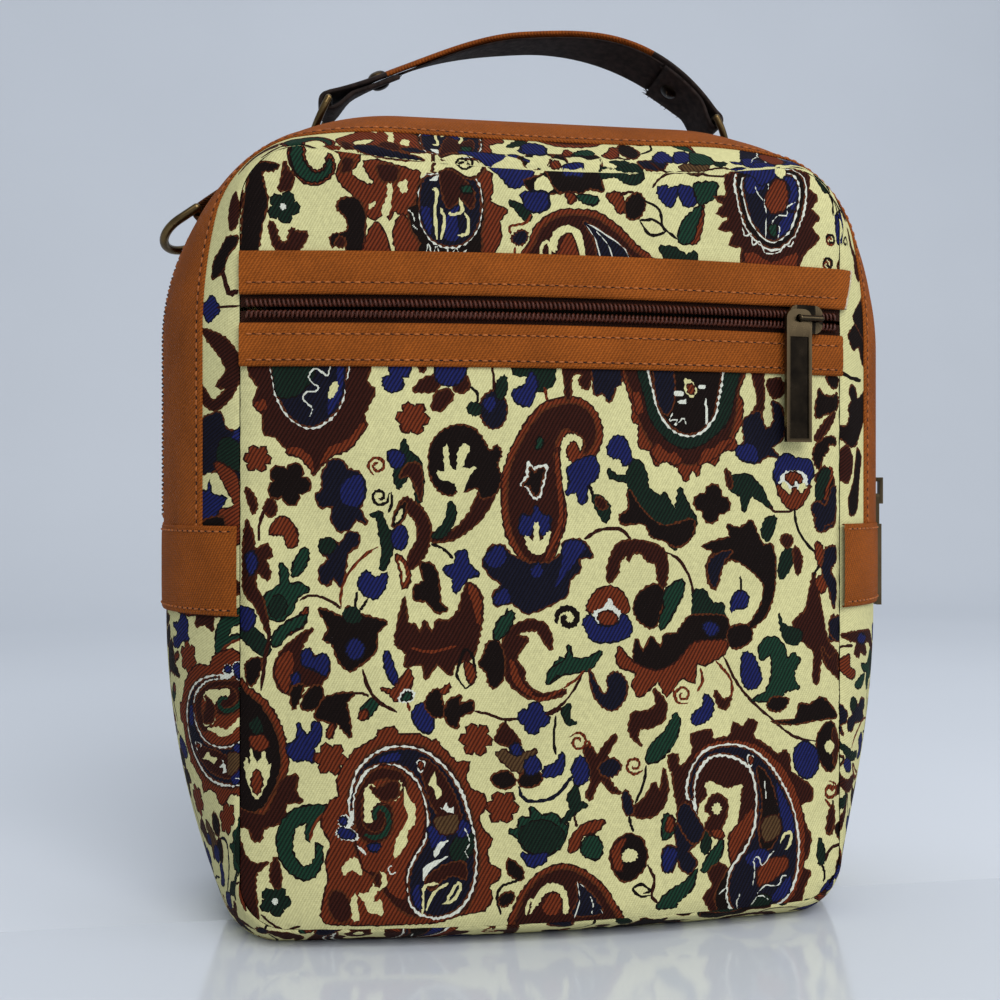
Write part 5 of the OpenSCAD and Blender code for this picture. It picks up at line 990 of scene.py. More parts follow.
blob("white", -42.3, 223.3, -41.6, 230.9, -38.7, 233.8, -26.8, 233.6, -23.6, 230, -23, 223.1, -24.3,
     217.3, -28.1, 212.7, -32.8, 211.4, -37.5, 212.6, -40.9, 217)
blob("ink", -41.7, 223.3, -41, 230.6, -38.4, 233.1, -27.1, 233, -24.2, 229.7, -23.6, 223.1, -24.8,
     217.6, -28.3, 213.3, -32.8, 212.2, -37.1, 213.3, -40.3, 217.3)
blob("navy", -41.4, 223.3, -38.7, 223, -38.4, 215.5, -40.1, 217.9)
blob("maroon", -35.6, 235.4, -30.6, 234.3, -28.1, 231.8, -25.5, 228.1, -26.2, 223.6, -29.3, 226.1,
     -33.1, 223.5, -35, 228.5)
blob("navy", -33.1, 222.2, -30, 224.2, -30.6, 221, -30, 214.7, -33.7, 214, -34.4, 218.4)
vine("cream", 0.6, -38.1, 229, -36.6, 228.4, -37.2, 222.7, -36.6, 213.9)
vine("cream", 0.6, -35.6, 223.4, -34.4, 220.3, -35.3, 213.9)
leaf("white", -37.8, 232.8, -36.2, 233.4, -36.6, 231.5, -38.7, 231.6)
vine("cream", 0.5, -30, 226.7, -29, 222.9, -31.8, 221.6, -33.1, 222.2)
vine("cream", 0.6, -30.3, 215.3, -27.7, 216, -27.1, 219.8, -28.4, 222.3)
leaf("green", -29.3, 229.9, -26.8, 230.3, -26.2, 228.4, -28.7, 228.3)
blob("maroon", -37.8, 234.1, -37.2, 237.9, -32.5, 241.3, -26.2, 241.9, -22.4, 238.3, -23.1, 234.4,
     -27.4, 232.5, -33.1, 235.5)
blob("cream", -37, 234.1, -36.6, 237.4, -32.2, 240.6, -26.3, 241, -23.3, 238, -23.9, 234.8, -27.4,
     233.2, -33.1, 236.2)
curl("black", -28.6, 238, 3.1, 60, 1.3, 0.5)
vine("white", 0.5, -40, 209.4, -39.1, 212.6, -38.1, 209.5, -36.6, 212, -35.6, 208.9, -33.7, 211.4,
     -32.8, 208.9, -30.9, 211.5, -29.6, 209.6, -27.1, 211.6)
blob("navy", -29.3, 242.7, -16.6, 241.8, -9.9, 239.4, -7.4, 234.4, -10.2, 231.5, -14.1, 230.2, -17.3,
     233.4, -22.4, 238.2, -25.5, 240.8)
leaf("black", -11.2, 241.4, 2.7, 240.6, 2.7, 229.7, -7.7, 229, -10.4, 232.4, -5, 234.5, -5.7, 236.5,
     -9.7, 237.2, -10.4, 239.4)
leaf("cream", -8, 239.5, -5.1, 240.5, -2.5, 237.5, -5.1, 235.1, -7.7, 236, -9.6, 237.5)
leaf("cream", -7, 232.5, -3.8, 234.2, -1.2, 230.8, -3.8, 228.8, -7, 229.6)
leaf("navy", -11.2, 228.6, -3.6, 229.2, -2.9, 224.8, -7, 223.4, -9.7, 225.4)
blob("dgreen", -15, 226, -11.5, 225.3, -8.1, 222.2, -9.5, 220, -12.2, 222.7)
blob("ink", -14, 215.1, -12.2, 217, -9.7, 217, -9.6, 214.5, -11.5, 212.9, -13.4, 213.5)
vine("rust", 0.4, -14.4, 216, -14.6, 218.5, -10.2, 219.5, -8.2, 222.2)
vine("rust", 0.5, -13.1, 212.2, -13.4, 209)
leaf("black", -3.3, 236.2, -1.4, 239.7, 0.3, 243.2, 12.8, 243.8, 13.9, 239.1, 13.4, 234.3, 14.2, 230.2,
     10, 230.8, 7.2, 229.4, 3.8, 229.9, 1, 229.2, -1.8, 231.6, -2.5, 233.9)
leaf("navy", 1.8, 237.8, 4.8, 239.3, 7.9, 239.3, 7.8, 234.6, 4.9, 235.2, 2.2, 234.6)
blob("rust", -1.9, 238.7, 0, 240.1, 1, 237.8, -1.1, 237)
blob("dgreen", 13.9, 237.2, 19.1, 237.4, 22.7, 235.8, 27.3, 236.5, 25, 233, 20.6, 233.4, 17.7, 235,
     13.9, 234.2)
blob("ink", 26, 241.8, 34.5, 242.3, 33.6, 238.7, 29.9, 238, 26.8, 239.4)
blob("dgreen", 16.7, 240.9, 22.3, 241.3, 20.6, 239.2)
blob("rust", 2.6, 229.2, 5.7, 228.1, 3.8, 226.1)
blob("green", 6, 228.6, 12.2, 228.4, 11.5, 226.1, 7.9, 226.7)
leaf("navy", -10, 228.7, -3.7, 228.9, -2.9, 224.7, -6.6, 223, -10, 224.5)
blob("rust", 15.3, 229, 19.3, 229.9, 20.8, 226.4, 21.6, 225, 19.1, 224, 17.7, 226.3)
vine("maroon", 0.7, 19.1, 229.2, 22.7, 230.4, 25.9, 229.3)
blob("black", 21.1, 224.9, 22, 228.5, 25.6, 230.2, 27.6, 226.8, 25.7, 223.1, 22.7, 222.1)
vine("black", 0.7, 27, 228.2, 32, 225.5, 33.3, 220.2, 38, 216.5)
vine("black", 0.5, 25.6, 221.8, 30.6, 222.1, 33.9, 218.8, 29.1, 217.5, 25.6, 221.8)
vine("maroon", 0.6, 29.7, 232, 33.5, 236.1, 40.8, 237.9, 51.9, 237.1, 56.6, 238.3)
blob("brownish", 39, 240.2, 43.7, 241.7, 48.6, 241.9, 46.1, 237.7, 42.2, 237.8)
blob("dgreen", 49.3, 242.8, 54.2, 243.4, 52.7, 241.1)
blob("navy", 55.7, 243.8, 63.3, 244.1, 61.8, 242.6)
blob("navy", 31.4, 231.8, 34.2, 232.8, 35.1, 232, 38.1, 232.7, 37.3, 229.2, 35.6, 226.5, 32.6, 228.7)
blob("navy", 38.3, 233, 44, 232, 43.6, 227.8, 40, 227.4)
leaf("green", 43.6, 234, 51, 234.9, 50, 230.1, 46.7, 228.4, 45.9, 226.3, 44.3, 229.8)
blob("rust", 46.3, 227.6, 46.1, 222.2, 44.6, 216.2, 41.9, 216.1, 43.7, 222.1)
blob("green", 45.9, 227.4, 44.5, 222.1, 42.6, 216.1, 38.4, 215.9, 39.2, 221.2, 42.1, 224.8)
leaf("dgreen", 32, 213.8, 36.4, 214.2, 40.9, 211.9, 43.9, 213.2, 44.1, 208.2, 36.4, 207.9)
blob("rust", -9.3, 206.3, -8.3, 214.4, -6.2, 219.3, -0.5, 223.3, 6.5, 224.1, 13, 223.2, 19.4, 219,
     24.6, 214.2, 29.1, 207.6)
blob("maroon", -7.2, 206.3, -6.7, 213.9, -4.6, 218.2, 0.2, 221.7, 6.3, 222.5, 12.1, 221.7, 18.2, 217.7,
     22.7, 213.5, 26.6, 207.5)
blob("cream", -2.8, 212.5, -1.4, 217, 2.4, 219.4, 6.7, 217.8, 8.1, 213.6, 9.2, 206.8, 7.1, 206.7, 6,
     213.5, 3.2, 216.7, 0.4, 215.4, -0.5, 211.3)
vine("cream", 0.6, -4.5, 208.4, -5.2, 211.8, -3.5, 214.2, -2.3, 211.9, -2.8, 207.8)
blob("rust", -0.4, 206.5, 1, 213.3, 3.4, 216.8, 5.5, 213.5, 6.2, 206.7)
blob("ink", 7.9, 220.7, 14.4, 217.4, 20.8, 212.9, 23.1, 207.3, 13.5, 207, 11.5, 215.1)
vine("white", 0.5, 7.9, 220.7, 14.9, 217.1, 20.9, 212.7, 22.8, 208)
vine("white", 0.5, 7.9, 220.7, 11.8, 215.1, 13.7, 207.7)
vine("white", 0.5, 12.1, 217.8, 15.6, 213.9, 17.9, 208.1)
leaf("maroon", 54, 237.4, 54.3, 231.1, 50.1, 230.5, 53.4, 228.3, 50.9, 225.3, 55.1, 224.2, 51.6, 220.5,
     56.6, 220, 55.4, 215.8, 59.6, 215.3, 59.2, 210.4, 63.5, 211.3, 64.1, 207.8, 78.2, 208.6, 80.8,
     213.8, 84.4, 217.6, 86.8, 219.9, 83.9, 223.3, 86.8, 226.4, 83.9, 229, 86, 232.8, 83.1, 235.4,
     83.5, 240.4, 76.6, 241.4, 63.3, 240.7)
leaf("rust", 60.3, 213.2, 64.1, 213.5, 69.5, 210.9, 75.8, 213.5, 79, 214.4, 77.4, 209.3, 63.3, 208.5)
blob("white", 57.6, 238.4, 58.1, 228.2, 61.8, 219.7, 69.5, 214.5, 77, 218.5, 81.3, 227, 82.4, 236, 79,
     241.1, 71.1, 241.2)
blob("black", 58.6, 238.4, 59, 228.6, 62.4, 220.4, 69.5, 215.6, 76.5, 219.2, 80.3, 227.3, 81.4, 236,
     78.4, 240.6, 71.1, 240.7)
blob("white", 59.9, 237.1, 60.4, 228.7, 63.3, 221.9, 69.5, 217.2, 75.7, 220.4, 79, 227.9, 80, 235.1,
     77.4, 239.6, 71.1, 240)
blob("ink", 60.7, 237.2, 61.2, 228.9, 63.9, 222.5, 69.5, 218, 75, 220.9, 78.2, 228.2, 79.1, 234.9,
     76.8, 238.9, 71.1, 239.3)
leaf("navy", 61, 237.2, 66.4, 238.3, 67.2, 234.8, 63.3, 232.4, 61.2, 233)
blob("navy", 74.3, 238.2, 77.4, 238.3, 78.9, 234.3, 77.8, 228.5, 75.8, 230.5, 76.6, 234.9)
blob("navy", 73.5, 224.7, 77.4, 227.1, 75, 221.2, 71.1, 219.5)
vine("white", 0.6, 67.6, 238.4, 68.8, 235, 67.2, 229.9, 68, 226.4, 67.6, 218.6)
vine("white", 0.5, 63.7, 235.3, 64.9, 232.6, 66.8, 230.6)
leaf("rust", 68, 232.1, 71.1, 237.3, 74.3, 236.8, 75.4, 232.6, 74.3, 228.3, 70.3, 226.9, 68.1, 228.9)
vine("white", 0.6, 78.2, 230.7, 75.4, 229.1, 75, 226.2, 71.9, 226, 69.9, 223, 72.7, 222.5, 71.9, 218.9)
leaf("green", 68.8, 222.2, 71.5, 223.1, 71.1, 219.2, 69.4, 219.8)
vine("white", 0.6, 59.5, 222.3, 60.6, 218.9, 62.6, 219.7, 63.3, 216.2, 65.6, 217.4, 67.2, 214.3, 69.5,
     213.8, 72.7, 214.7, 74.3, 216.9, 76.6, 216.7, 78.2, 220)
blob("navy", 56.1, 240.3, 64.9, 241.5, 72.2, 242.8, 70.5, 237.9, 65.6, 235.3, 63.3, 238.1)
leaf("cream", 71.9, 242.6, 75, 242.9, 75, 239.7, 73.1, 238, 71.5, 239.1)
blob("dgreen", 85.7, 242.3, 88.8, 240.2, 91.6, 235.8, 88.8, 236.4)
vine("black", 0.5, 90, 236.7, 92.1, 233.3, 92.5, 228.3)
vine("black", 0.6, 91.2, 236.8, 92.1, 239.6, 96.2, 239.4, 101, 233.8)
blob("black", 96.8, 234.4, 99.3, 235.5, 101.9, 230.2, 101.1, 227.7, 97.7, 230.8)
blob("navy", 93.1, 226.9, 95.4, 228.8, 96.8, 224.2, 95.6, 219.4, 93.6, 222.6)
vine("black", 0.5, 98.7, 230.7, 95.6, 230.1, 95, 227)
curl("rust", 90.8, 219.5, 2.2, 120, 1.3, 0.5)
curl("rust", 89.6, 211.5, 2.2, 120, 1.3, 0.5)
blob("black", 94.2, 211.8, 96.2, 213.9, 99.1, 213.6, 99.4, 210.9, 97, 209.5, 94.7, 210)
blob("maroon", 99.1, 223.7, 101.4, 218.6, 102.3, 208.5, 100, 208, 99.6, 215.6)
vine("maroon", 1.0, 76.2, 242.9, 83.9, 244.1, 93.1, 241.3)
leaf("black", 89.6, 175.6, 94.4, 175.4, 94, 172.2, 91.8, 172, 90.2, 173.5)
leaf("black", 85.6, 166.2, 86.7, 171.3, 87.9, 170.2, 88.9, 169.4, 91.8, 169.2, 93.9, 170.4, 94.5,
     168.4, 94, 165.4, 91.2, 163.8, 89.3, 163.5, 87.3, 162.3, 85.6, 162.4)
leaf("maroon", 85, 155.5, 86.9, 158.6, 89.6, 161.9, 93, 164.2, 92.3, 161.8, 89.6, 157.9, 87, 154.7)
leaf("black", 86.7, 154.2, 88.9, 155.8, 91.8, 156.3, 93.4, 155.2, 93.3, 153.5, 90.5, 153.8, 90.1,
     151.7, 88.2, 149.6, 87.1, 145.6, 85.7, 146.5, 84.5, 149.7, 85.3, 152.9)
leaf("dgreen", 86.7, 143.4, 88.2, 145.4, 90.3, 145.7, 91.5, 144, 90.8, 141.5, 88.9, 139.5, 88.2, 136.4,
     86.7, 135, 85.7, 136.4, 85.6, 139.5)
vine("rust", 0.4, 90.5, 146.6, 91.8, 144.7, 90.3, 140.8, 89, 135.7)
leaf("ink", 91.7, 140.2, 93.4, 139.6, 93.4, 134.4, 92.7, 129.3, 91.1, 128.1, 89, 127.4, 87.9, 125.4,
     86.3, 125.8, 85.3, 127.5, 85.7, 130, 84.1, 131.9, 84.5, 134.5, 86.7, 135.2, 88.9, 133.8, 90.3,
     135.7)
leaf("rust", 85.6, 122, 87.4, 121.2, 88.6, 118.5, 88.2, 115.4, 86.9, 114.6, 85.7, 117.9)
leaf("ink", 88.9, 119.8, 91.1, 120.8, 93.4, 120.4, 93.3, 115.9, 91.5, 114.3, 91.2, 112.1, 93.3, 109.6,
     93.4, 105, 92.6, 100.4, 91.4, 103.2, 90.2, 107.7, 88.2, 111.5, 87.8, 114.7, 88.5, 117.3)
leaf("ink", 91.8, 98.7, 93.6, 96.7, 94, 90.4, 90.7, 90.6, 90.7, 94.9)
leaf("ink", 90.7, 97, 97.4, 98.1, 97.4, 90.8, 94.5, 89.9, 91.4, 91.7)
leaf("maroon", 87.7, 88.5, 90.7, 84.5, 92.9, 86.3, 94.5, 85.6, 93.7, 82.3, 95.2, 80.3, 98.1, 83.5,
     98.4, 77.5, 95.2, 77.6, 92.9, 79.1, 89.2, 82.6)
curl("rust", 90.7, 41.6, 2.7, 60, 1.2, 0.6)
vine("maroon", 0.6, 91.8, 38.9, 92.2, 36.2, 91.4, 33.7)
leaf("maroon", 91.6, 37.3, 92.6, 34.2, 91.1, 28.3, 89.5, 29.1, 90.2, 34.4)
leaf("black", 92.9, 30.1, 96, 31.3, 98.5, 29.2, 98.1, 25.7, 95.8, 25.2, 93.7, 27.5)
vine("maroon", 0.6, 89.2, 18.7, 90.4, 22.6, 93.7, 24.1, 97.3, 22.9, 96.7, 19)
leaf("black", 93.7, 16.1, 94.5, 19.1, 97.4, 19.4, 99.2, 17.9, 98.5, 14.4, 95.8, 13)
leaf("navy", 87.5, 6.8, 88.8, 10.9, 90.7, 12.8, 91.9, 10.5, 90.7, 6.7, 88.4, 4.2)
vine("black", 0.5, 91.1, 11.9, 94.5, 14.3)
leaf("dgreen", 86.1, 242, 88.2, 241.2, 89.9, 238.5, 90.8, 235.4, 89, 235.2, 86.8, 238.3)
vine("black", 0.5, 90.8, 235.5, 92.2, 232.6, 92.1, 227.6)
vine("black", 0.5, 91.4, 235.6, 92.1, 240, 94.9, 239.9, 97, 238.5)
leaf("navy", 94.8, 229.1, 96.3, 228.7, 96.9, 224.2, 96.1, 219.2, 94.4, 219.1, 93.4, 224)
vine("black", 0.5, 94.8, 229.1, 96.3, 230.7, 97.6, 229.8)
leaf("black", 94.1, 209.4, 95.6, 212.4, 97.4, 214.1, 100, 213.3, 99.6, 210.6, 96.3, 208.7)
curl("black", 91.2, 219.6, 2.0, 200, 1.1, 0.5)
curl("black", 90.4, 211.9, 2.1, 200, 1.1, 0.5)
FRONT_COUNT = len(MOTIFS)
# Cloth of the left side strip, from its lower end up
leaf("black", 95, -44.2, 100.5, -48.4, 100.7, -53.9, 98.1, -52.8, 95, -49.6, 90.2, -47.6, 88.3, -43.2,
     93.4, -43.2)
vine("maroon", 1.7, 91, -47.4, 83.9, -50.6, 84.3, -53.9)
rosette("navy", 79.2, -43.2, 4.1, 4)
vine("maroon", 0.9, 79.4, -45.9, 79.6, -54.4)
leaf("maroon", 73.5, -39.4, 70.6, -48.4, 65, -54.1, 58.6, -54.8, 52.2, -51.6, 48.1, -45.4, 51.4, -39.2,
     56.3, -39.4, 51.4, -44.4, 54.7, -49.6, 55.5, -45.7, 60.2, -49.6, 65, -46.9, 69.7, -42.2)
leaf("ink", 45.2, -39.2, 47.7, -47.4, 42.9, -49.6, 40.5, -55.4, 27.5, -55.4, 30.2, -46.4, 29.4, -39.2)
blob("dgreen", 39.7, -48.4, 38.1, -54.9, 30.2, -54.4, 33.4, -46.4)
blob("navy", 40.5, -51.9, 42.9, -55.4, 38.9, -55.6)
blob("rust", 32.2, -45.2, 27.8, -53.6, 9.7, -55, 9.7, -47.9, 17.6, -46.2, 20, -52.6)
blob("cream", 23.9, -39.9, 28.2, -40.4, 29.4, -43.4, 25.1, -46.6, 23.1, -45.6)
leaf("navy", 23.5, -39.2, 23.9, -41.9, 27.1, -42.9, 23.1, -43.9, 21.7, -49.6, 15.1, -43.6, 15.2, -39.2)
blob("black", 14.4, -39.2, 16, -48.4, 9.3, -47.9, 9.3, -39.2)
leaf("maroon", 115, -51, 113, -49, 108, -48.5, 103, -50, 104, -53, 110, -54.4)
SIDE_MOTIFS = MOTIFS[FRONT_COUNT:]
del MOTIFS[FRONT_COUNT:]
# Cloth of the right side strip, from its lower end up
leaf("black", 75.1, -50.5, 80.9, -43.5, 78.3, -36.7, 65.3, -38.6, 67.3, -41.9, 71.8, -43.7, 70.3, -47.5)
vine("black", 1.2, 63.3, -55.3, 61.1, -48.9, 60.7, -41.9)
leaf("black", 58.8, -48.6, 57.6, -46.2, 54.3, -44.5, 57.6, -38.1, 49.8, -38.6, 44.6, -41.9, 39.2,
     -45.9, 38.6, -49.5, 40.5, -52.9, 43.1, -56.9, 45.2, -56.4, 45.2, -51.6, 48.5, -49.9, 51.1, -50.7,
     53.7, -48.6, 56.3, -50.2)
leaf("maroon", 35.5, -55.6, 38.9, -51.6, 35.5, -48, 30.3, -48.6, 26.9, -50.7, 27.7, -54.2, 30.3, -58)
leaf("black", 38.1, -44.8, 35.5, -41.9, 27.7, -43.5, 18.6, -44.8, 16.3, -47.2, 16.7, -49.9, 21.8,
     -50.2, 27.7, -47.2, 32.9, -46.2)
leaf("black", 121.9, -51.1, 122.4, -48.5, 120.2, -44.6, 114.6, -41.7, 113.8, -44.8, 116.5, -48.5,
     118.3, -51.4)
leaf("maroon", 110.8, -46.9, 108.3, -44.6, 104.5, -43.3, 102, -40.1, 95.7, -38.8, 93.8, -41.7, 96.3,
     -43.8, 100.7, -43.5, 105.1, -45.9)
leaf("black", 88.2, -39.6, 90.7, -37, 76.9, -35.7, 74.3, -39.6, 80.6, -47.5, 84.4, -44.8)
RIGHT_MOTIFS = MOTIFS[FRONT_COUNT:]
del MOTIFS[FRONT_COUNT:]


# Pitch of the threads that motifs are drawn to, spacing of the points on a motif's edge, and how far its
# threads stand out and back by turns where its area is over BROAD times its edge
WEAVE, EDGE_STEP, TEETH, BROAD = 0.4, 0.9, 0.15, 0.7
# Spacing of the cloth's own points
CLOTH_STEP = 3.0
# A seam's depth and width, and the height, length and reach of the puckers beside it
SEAM_DEPTH, SEAM_REACH = 1.3, 1.7
PUCKER, PUCKER_L, PUCKER_REACH = 0.16, 8.3, 5.0


def stepped(points):
    """A closed outline with close points, drawn to the weave's threads."""
    after = np.roll(points, -1, axis=0)
    out = []
    for p, q in zip(points, after):
        n = max(1, int(np.linalg.norm(q - p) / EDGE_STEP))
        out.append(line(p, q, n)[:-1])
    edge = np.concatenate(out)
    after = np.roll(edge, -1, axis=0)
    area = abs(np.sum(edge[:, 0] * after[:, 1] - edge[:, 1] * after[:, 0])) / 2
    if area > BROAD * np.sum(np.linalg.norm(after - edge, axis=1)):
        way = unit(after - np.roll(edge, 1, axis=0))
        turn = (-1.0) ** np.arange(len(edge))
        edge = edge + way[:, ::-1] * np.array([TEETH, -TEETH]) * turn[:, None]
    snapped = np.round(edge / WEAVE) * WEAVE
    snapped = snapped[np.any(snapped != np.roll(snapped, 1, axis=0), axis=1)]
    after = np.roll(snapped, -1, axis=0)
    if np.sum(snapped[:, 0] * after[:, 1] - snapped[:, 1] * after[:, 0]) < 0:
        snapped = snapped[::-1]
    return np.roll(snapped, -int(np.argmin(snapped[:, 0] + snapped[:, 1] * 1e-3)), axis=0)


def inside(points, shape):
    """Which points lie inside a closed outline, by its winding."""
    x, y = points[:, 0][:, None], points[:, 1][:, None]
    p, q = shape[None], np.roll(shape, -1, axis=0)[None]
    left = (q[..., 0] - p[..., 0]) * (y - p[..., 1]) - (x - p[..., 0]) * (q[..., 1] - p[..., 1])
    up = (p[..., 1] <= y) & (q[..., 1] > y) & (left > 0)
    down = (p[..., 1] > y) & (q[..., 1] <= y) & (left < 0)
    return up.sum(1) != down.sum(1)


def woven(name, outline, motifs, at, press):
    """A sheet over an outline, cut along its pattern's edges, bent to a surface by at(u, v, h)."""
    low, high = outline.min(0), outline.max(0)
    verts = [tuple(p) for p in outline]
    edges = [(k, (k + 1) % len(verts)) for k in range(len(verts))]
    shapes = []
    for colour, shape in motifs:
        if np.any(shape.max(0) < low) or np.any(shape.min(0) > high):
            continue
        shape = stepped(shape)
        if len(shape) < 3:
            continue
        n, m = len(verts), len(shape)
        edges.extend((n + k, n + (k + 1) % m) for k in range(m))
        verts.extend(tuple(p) for p in shape)
        shapes.append((colour, shape))
    gu = np.arange(low[0] + CLOTH_STEP / 2, high[0], CLOTH_STEP)
    gv = np.arange(low[1] + CLOTH_STEP / 2, high[1], CLOTH_STEP)
    verts.extend((a + 0.013, b + 0.017) for a in gu for b in gv)
    got = delaunay_2d_cdt([Vector(p) for p in verts], edges, [], 0, 1e-4)
    flat = np.array([(p[0], p[1]) for p in got[0]])
    tris = np.array(got[2])
    tris = tris[inside(flat[tris].mean(1), outline)]
    middle = flat[tris].mean(1)
    tint = np.full(len(tris), "cream", dtype=object)
    for colour, shape in shapes:
        near = np.all((middle >= shape.min(0)) & (middle <= shape.max(0)), axis=1).nonzero()[0]
        tint[near[inside(middle[near], shape)]] = colour
    used = np.unique(tris)
    place_of = np.full(len(flat), -1)
    place_of[used] = np.arange(len(used))
    flat = flat[used]
    tris = place_of[tris]
    points = at(flat[:, 0], flat[:, 1], press(flat))
    tris = outward(points, tris)
    obj = add_mesh(name, points, tris, M_CLOTH)
    mesh = obj.data
    set_uv(obj, flat)
    for layer, which in (("tint", 0), ("shade", 1)):
        palette = {k: (*linear(pair[which]), float(which or k not in UNDYED)) for k, pair in TINTS.items()}
        corners = np.repeat([palette[k] for k in tint], 3, 0).astype(np.float32)
        mesh.color_attributes.new(layer, "FLOAT_COLOR", "CORNER").data.foreach_set("color", corners.ravel())
    return obj


def edge_gap(flat, edge):
    """Distance of each point from an open line of points, and the place along it."""
    best = np.full(len(flat), 1e9)
    where = np.zeros(len(flat))
    run = run_of(edge)
    for k in range(len(edge) - 1):
        p, q = edge[k], edge[k + 1]
        d = q - p
        t = np.clip(((flat - p) @ d) / max(d @ d, 1e-9), 0, 1)
        gap = np.linalg.norm(flat - (p + t[:, None] * d), axis=1)
        closer = gap < best
        best = np.where(closer, gap, best)
        where = np.where(closer, run[k] + t * (run[k + 1] - run[k]), where)
    return best, where


def seam_press(edge):
    """Cloth pulled in along a seam, with small puckers beside it."""
    def press(flat):
        gap, s = edge_gap(flat, edge)
        wave = np.sin(s / PUCKER_L * 2 * math.pi + 1.3 * np.sin(s / 31.0)) * np.exp(-gap / PUCKER_REACH)
        return -SEAM_DEPTH * np.exp(-(gap / SEAM_REACH) ** 2) + PUCKER * wave
    return press


# Materials
class Shader:
    """A material's node tree with short ways to add nodes."""

    def __init__(self, name):
        self.mat = bpy.data.materials.new(name)
        self.mat.use_nodes = True
        self.nodes = self.mat.node_tree.nodes
        self.links = self.mat.node_tree.links
        self.bsdf = self.nodes["Principled BSDF"]

    def put(self, socket, value):
        if isinstance(value, bpy.types.NodeSocket):
            self.links.new(value, socket)
        else:
            socket.default_value = value

    def set(self, name, value):
        self.put(self.bsdf.inputs[name], value)

    def math(self, op, a, b=0.0, c=0.0):
        n = self.nodes.new("ShaderNodeMath")
        n.operation = op
        self.put(n.inputs[0], a)
        self.put(n.inputs[1], b)
        self.put(n.inputs[2], c)
        return n.outputs[0]

    def remap(self, value, a, b, c, d):
        n = self.nodes.new("ShaderNodeMapRange")
        for socket, v in zip(n.inputs, (value, a, b, c, d)):
            self.put(socket, v)
        return n.outputs[0]

    def mix(self, fac, a, b, blend="MIX"):
        n = self.nodes.new("ShaderNodeMix")
        n.data_type = "RGBA"
        n.blend_type = blend
        self.put(n.inputs[0], fac)
        for socket, v in ((n.inputs[6], a), (n.inputs[7], b)):
            self.put(socket, v if isinstance(v, bpy.types.NodeSocket) else (*v, 1.0))
        return n.outputs[2]

    def noise(self, scale, detail):
        n = self.nodes.new("ShaderNodeTexNoise")
        n.inputs["Scale"].default_value = scale
        n.inputs["Detail"].default_value = detail
        self.links.new(self.nodes.new("ShaderNodeTexCoord").outputs["Object"], n.inputs["Vector"])
        return n.outputs["Fac"]

    def cloth_uv(self):
        """The cloth's own coordinates, in millimetres."""
        n = self.nodes.new("ShaderNodeUVMap")
        n.uv_map = "UVMap"
        s = self.nodes.new("ShaderNodeSeparateXYZ")
        self.links.new(n.outputs[0], s.inputs[0])
        return [self.math("MULTIPLY", s.outputs[k], 1 / UV_SCALE) for k in (0, 1)]

    def wave(self, u, v, pitch, slope, shake=0.0):
        """A wave from -1 to 1 whose lines rise at slope degrees."""
        a = math.radians(slope - 90)
        phase = self.math("ADD", self.math("MULTIPLY", u, math.cos(a)), self.math("MULTIPLY", v, math.sin(a)))
        phase = self.math("MULTIPLY", phase, 2 * math.pi / pitch)
        return self.math("SINE", self.math("ADD", phase, shake))

    def bump(self, height, strength, distance):
        n = self.nodes.new("ShaderNodeBump")
        n.inputs["Strength"].default_value = strength
        n.inputs["Distance"].default_value = distance
        self.links.new(height, n.inputs["Height"])
        self.links.new(n.outputs[0], self.bsdf.inputs["Normal"])

    def attribute(self, name):
        n = self.nodes.new("ShaderNodeAttribute")
        n.attribute_name = name
        return n.outputs

    def dapple(self, colour, patches, flecks):
        """The base colour, made lighter and darker by two noises; each is a scale, a detail and a range."""
        grey = self.math("MULTIPLY", *(self.remap(self.noise(scale, detail), start, 1 - start, low, high)
                                       for scale, detail, start, low, high in (patches, flecks)))
        both = self.nodes.new("ShaderNodeCombineColor")
        for socket in both.inputs:
            self.links.new(grey, socket)
        self.set("Base Color", self.mix(1.0, colour, both.outputs[0], "MULTIPLY"))


def jacquard():
    """The cloth: each tint is hatched with its shade, broadly in the motifs and finely on the ground."""
    s = Shader("paisley_jacquard")
    tint = s.attribute("tint")
    dyed = tint["Alpha"]
    u, v = s.cloth_uv()
    shake = s.math("MULTIPLY", s.noise(260.0, 2.0), 3.0)
    coarse = s.wave(u, v, 1.05, 60, shake)
    fine = s.wave(u, v, 0.8, 62, s.math("MULTIPLY", shake, 0.6))
    weft = s.wave(u, v, 0.62, 0)
    deep = s.remap(coarse, -0.7, 0.9, 0.08, 0.9)
    thin = s.remap(fine, -0.6, 1.0, 0.0, 0.62)
    share = s.math("ADD", s.math("MULTIPLY", deep, dyed),
                   s.math("MULTIPLY", thin, s.math("SUBTRACT", 1.0, dyed)))
    colour = s.mix(share, tint["Color"], s.attribute("shade")["Color"])
    s.dapple(colour, (34.0, 4.0, 0.3, 0.93, 1.05), (900.0, 2.0, 0.3, 0.9, 1.08))
    s.set("Roughness", s.remap(fine, -1.0, 1.0, 0.82, 0.68))
    s.set("Specular IOR Level", 0.06)
    ridges = s.math("MULTIPLY", coarse, s.math("MULTIPLY", dyed, 0.8))
    height = s.math("ADD", s.math("MULTIPLY", fine, 0.5), ridges)
    s.bump(s.math("ADD", height, s.math("MULTIPLY", weft, 0.25)), 0.35, 0.0002)
    return s.mat


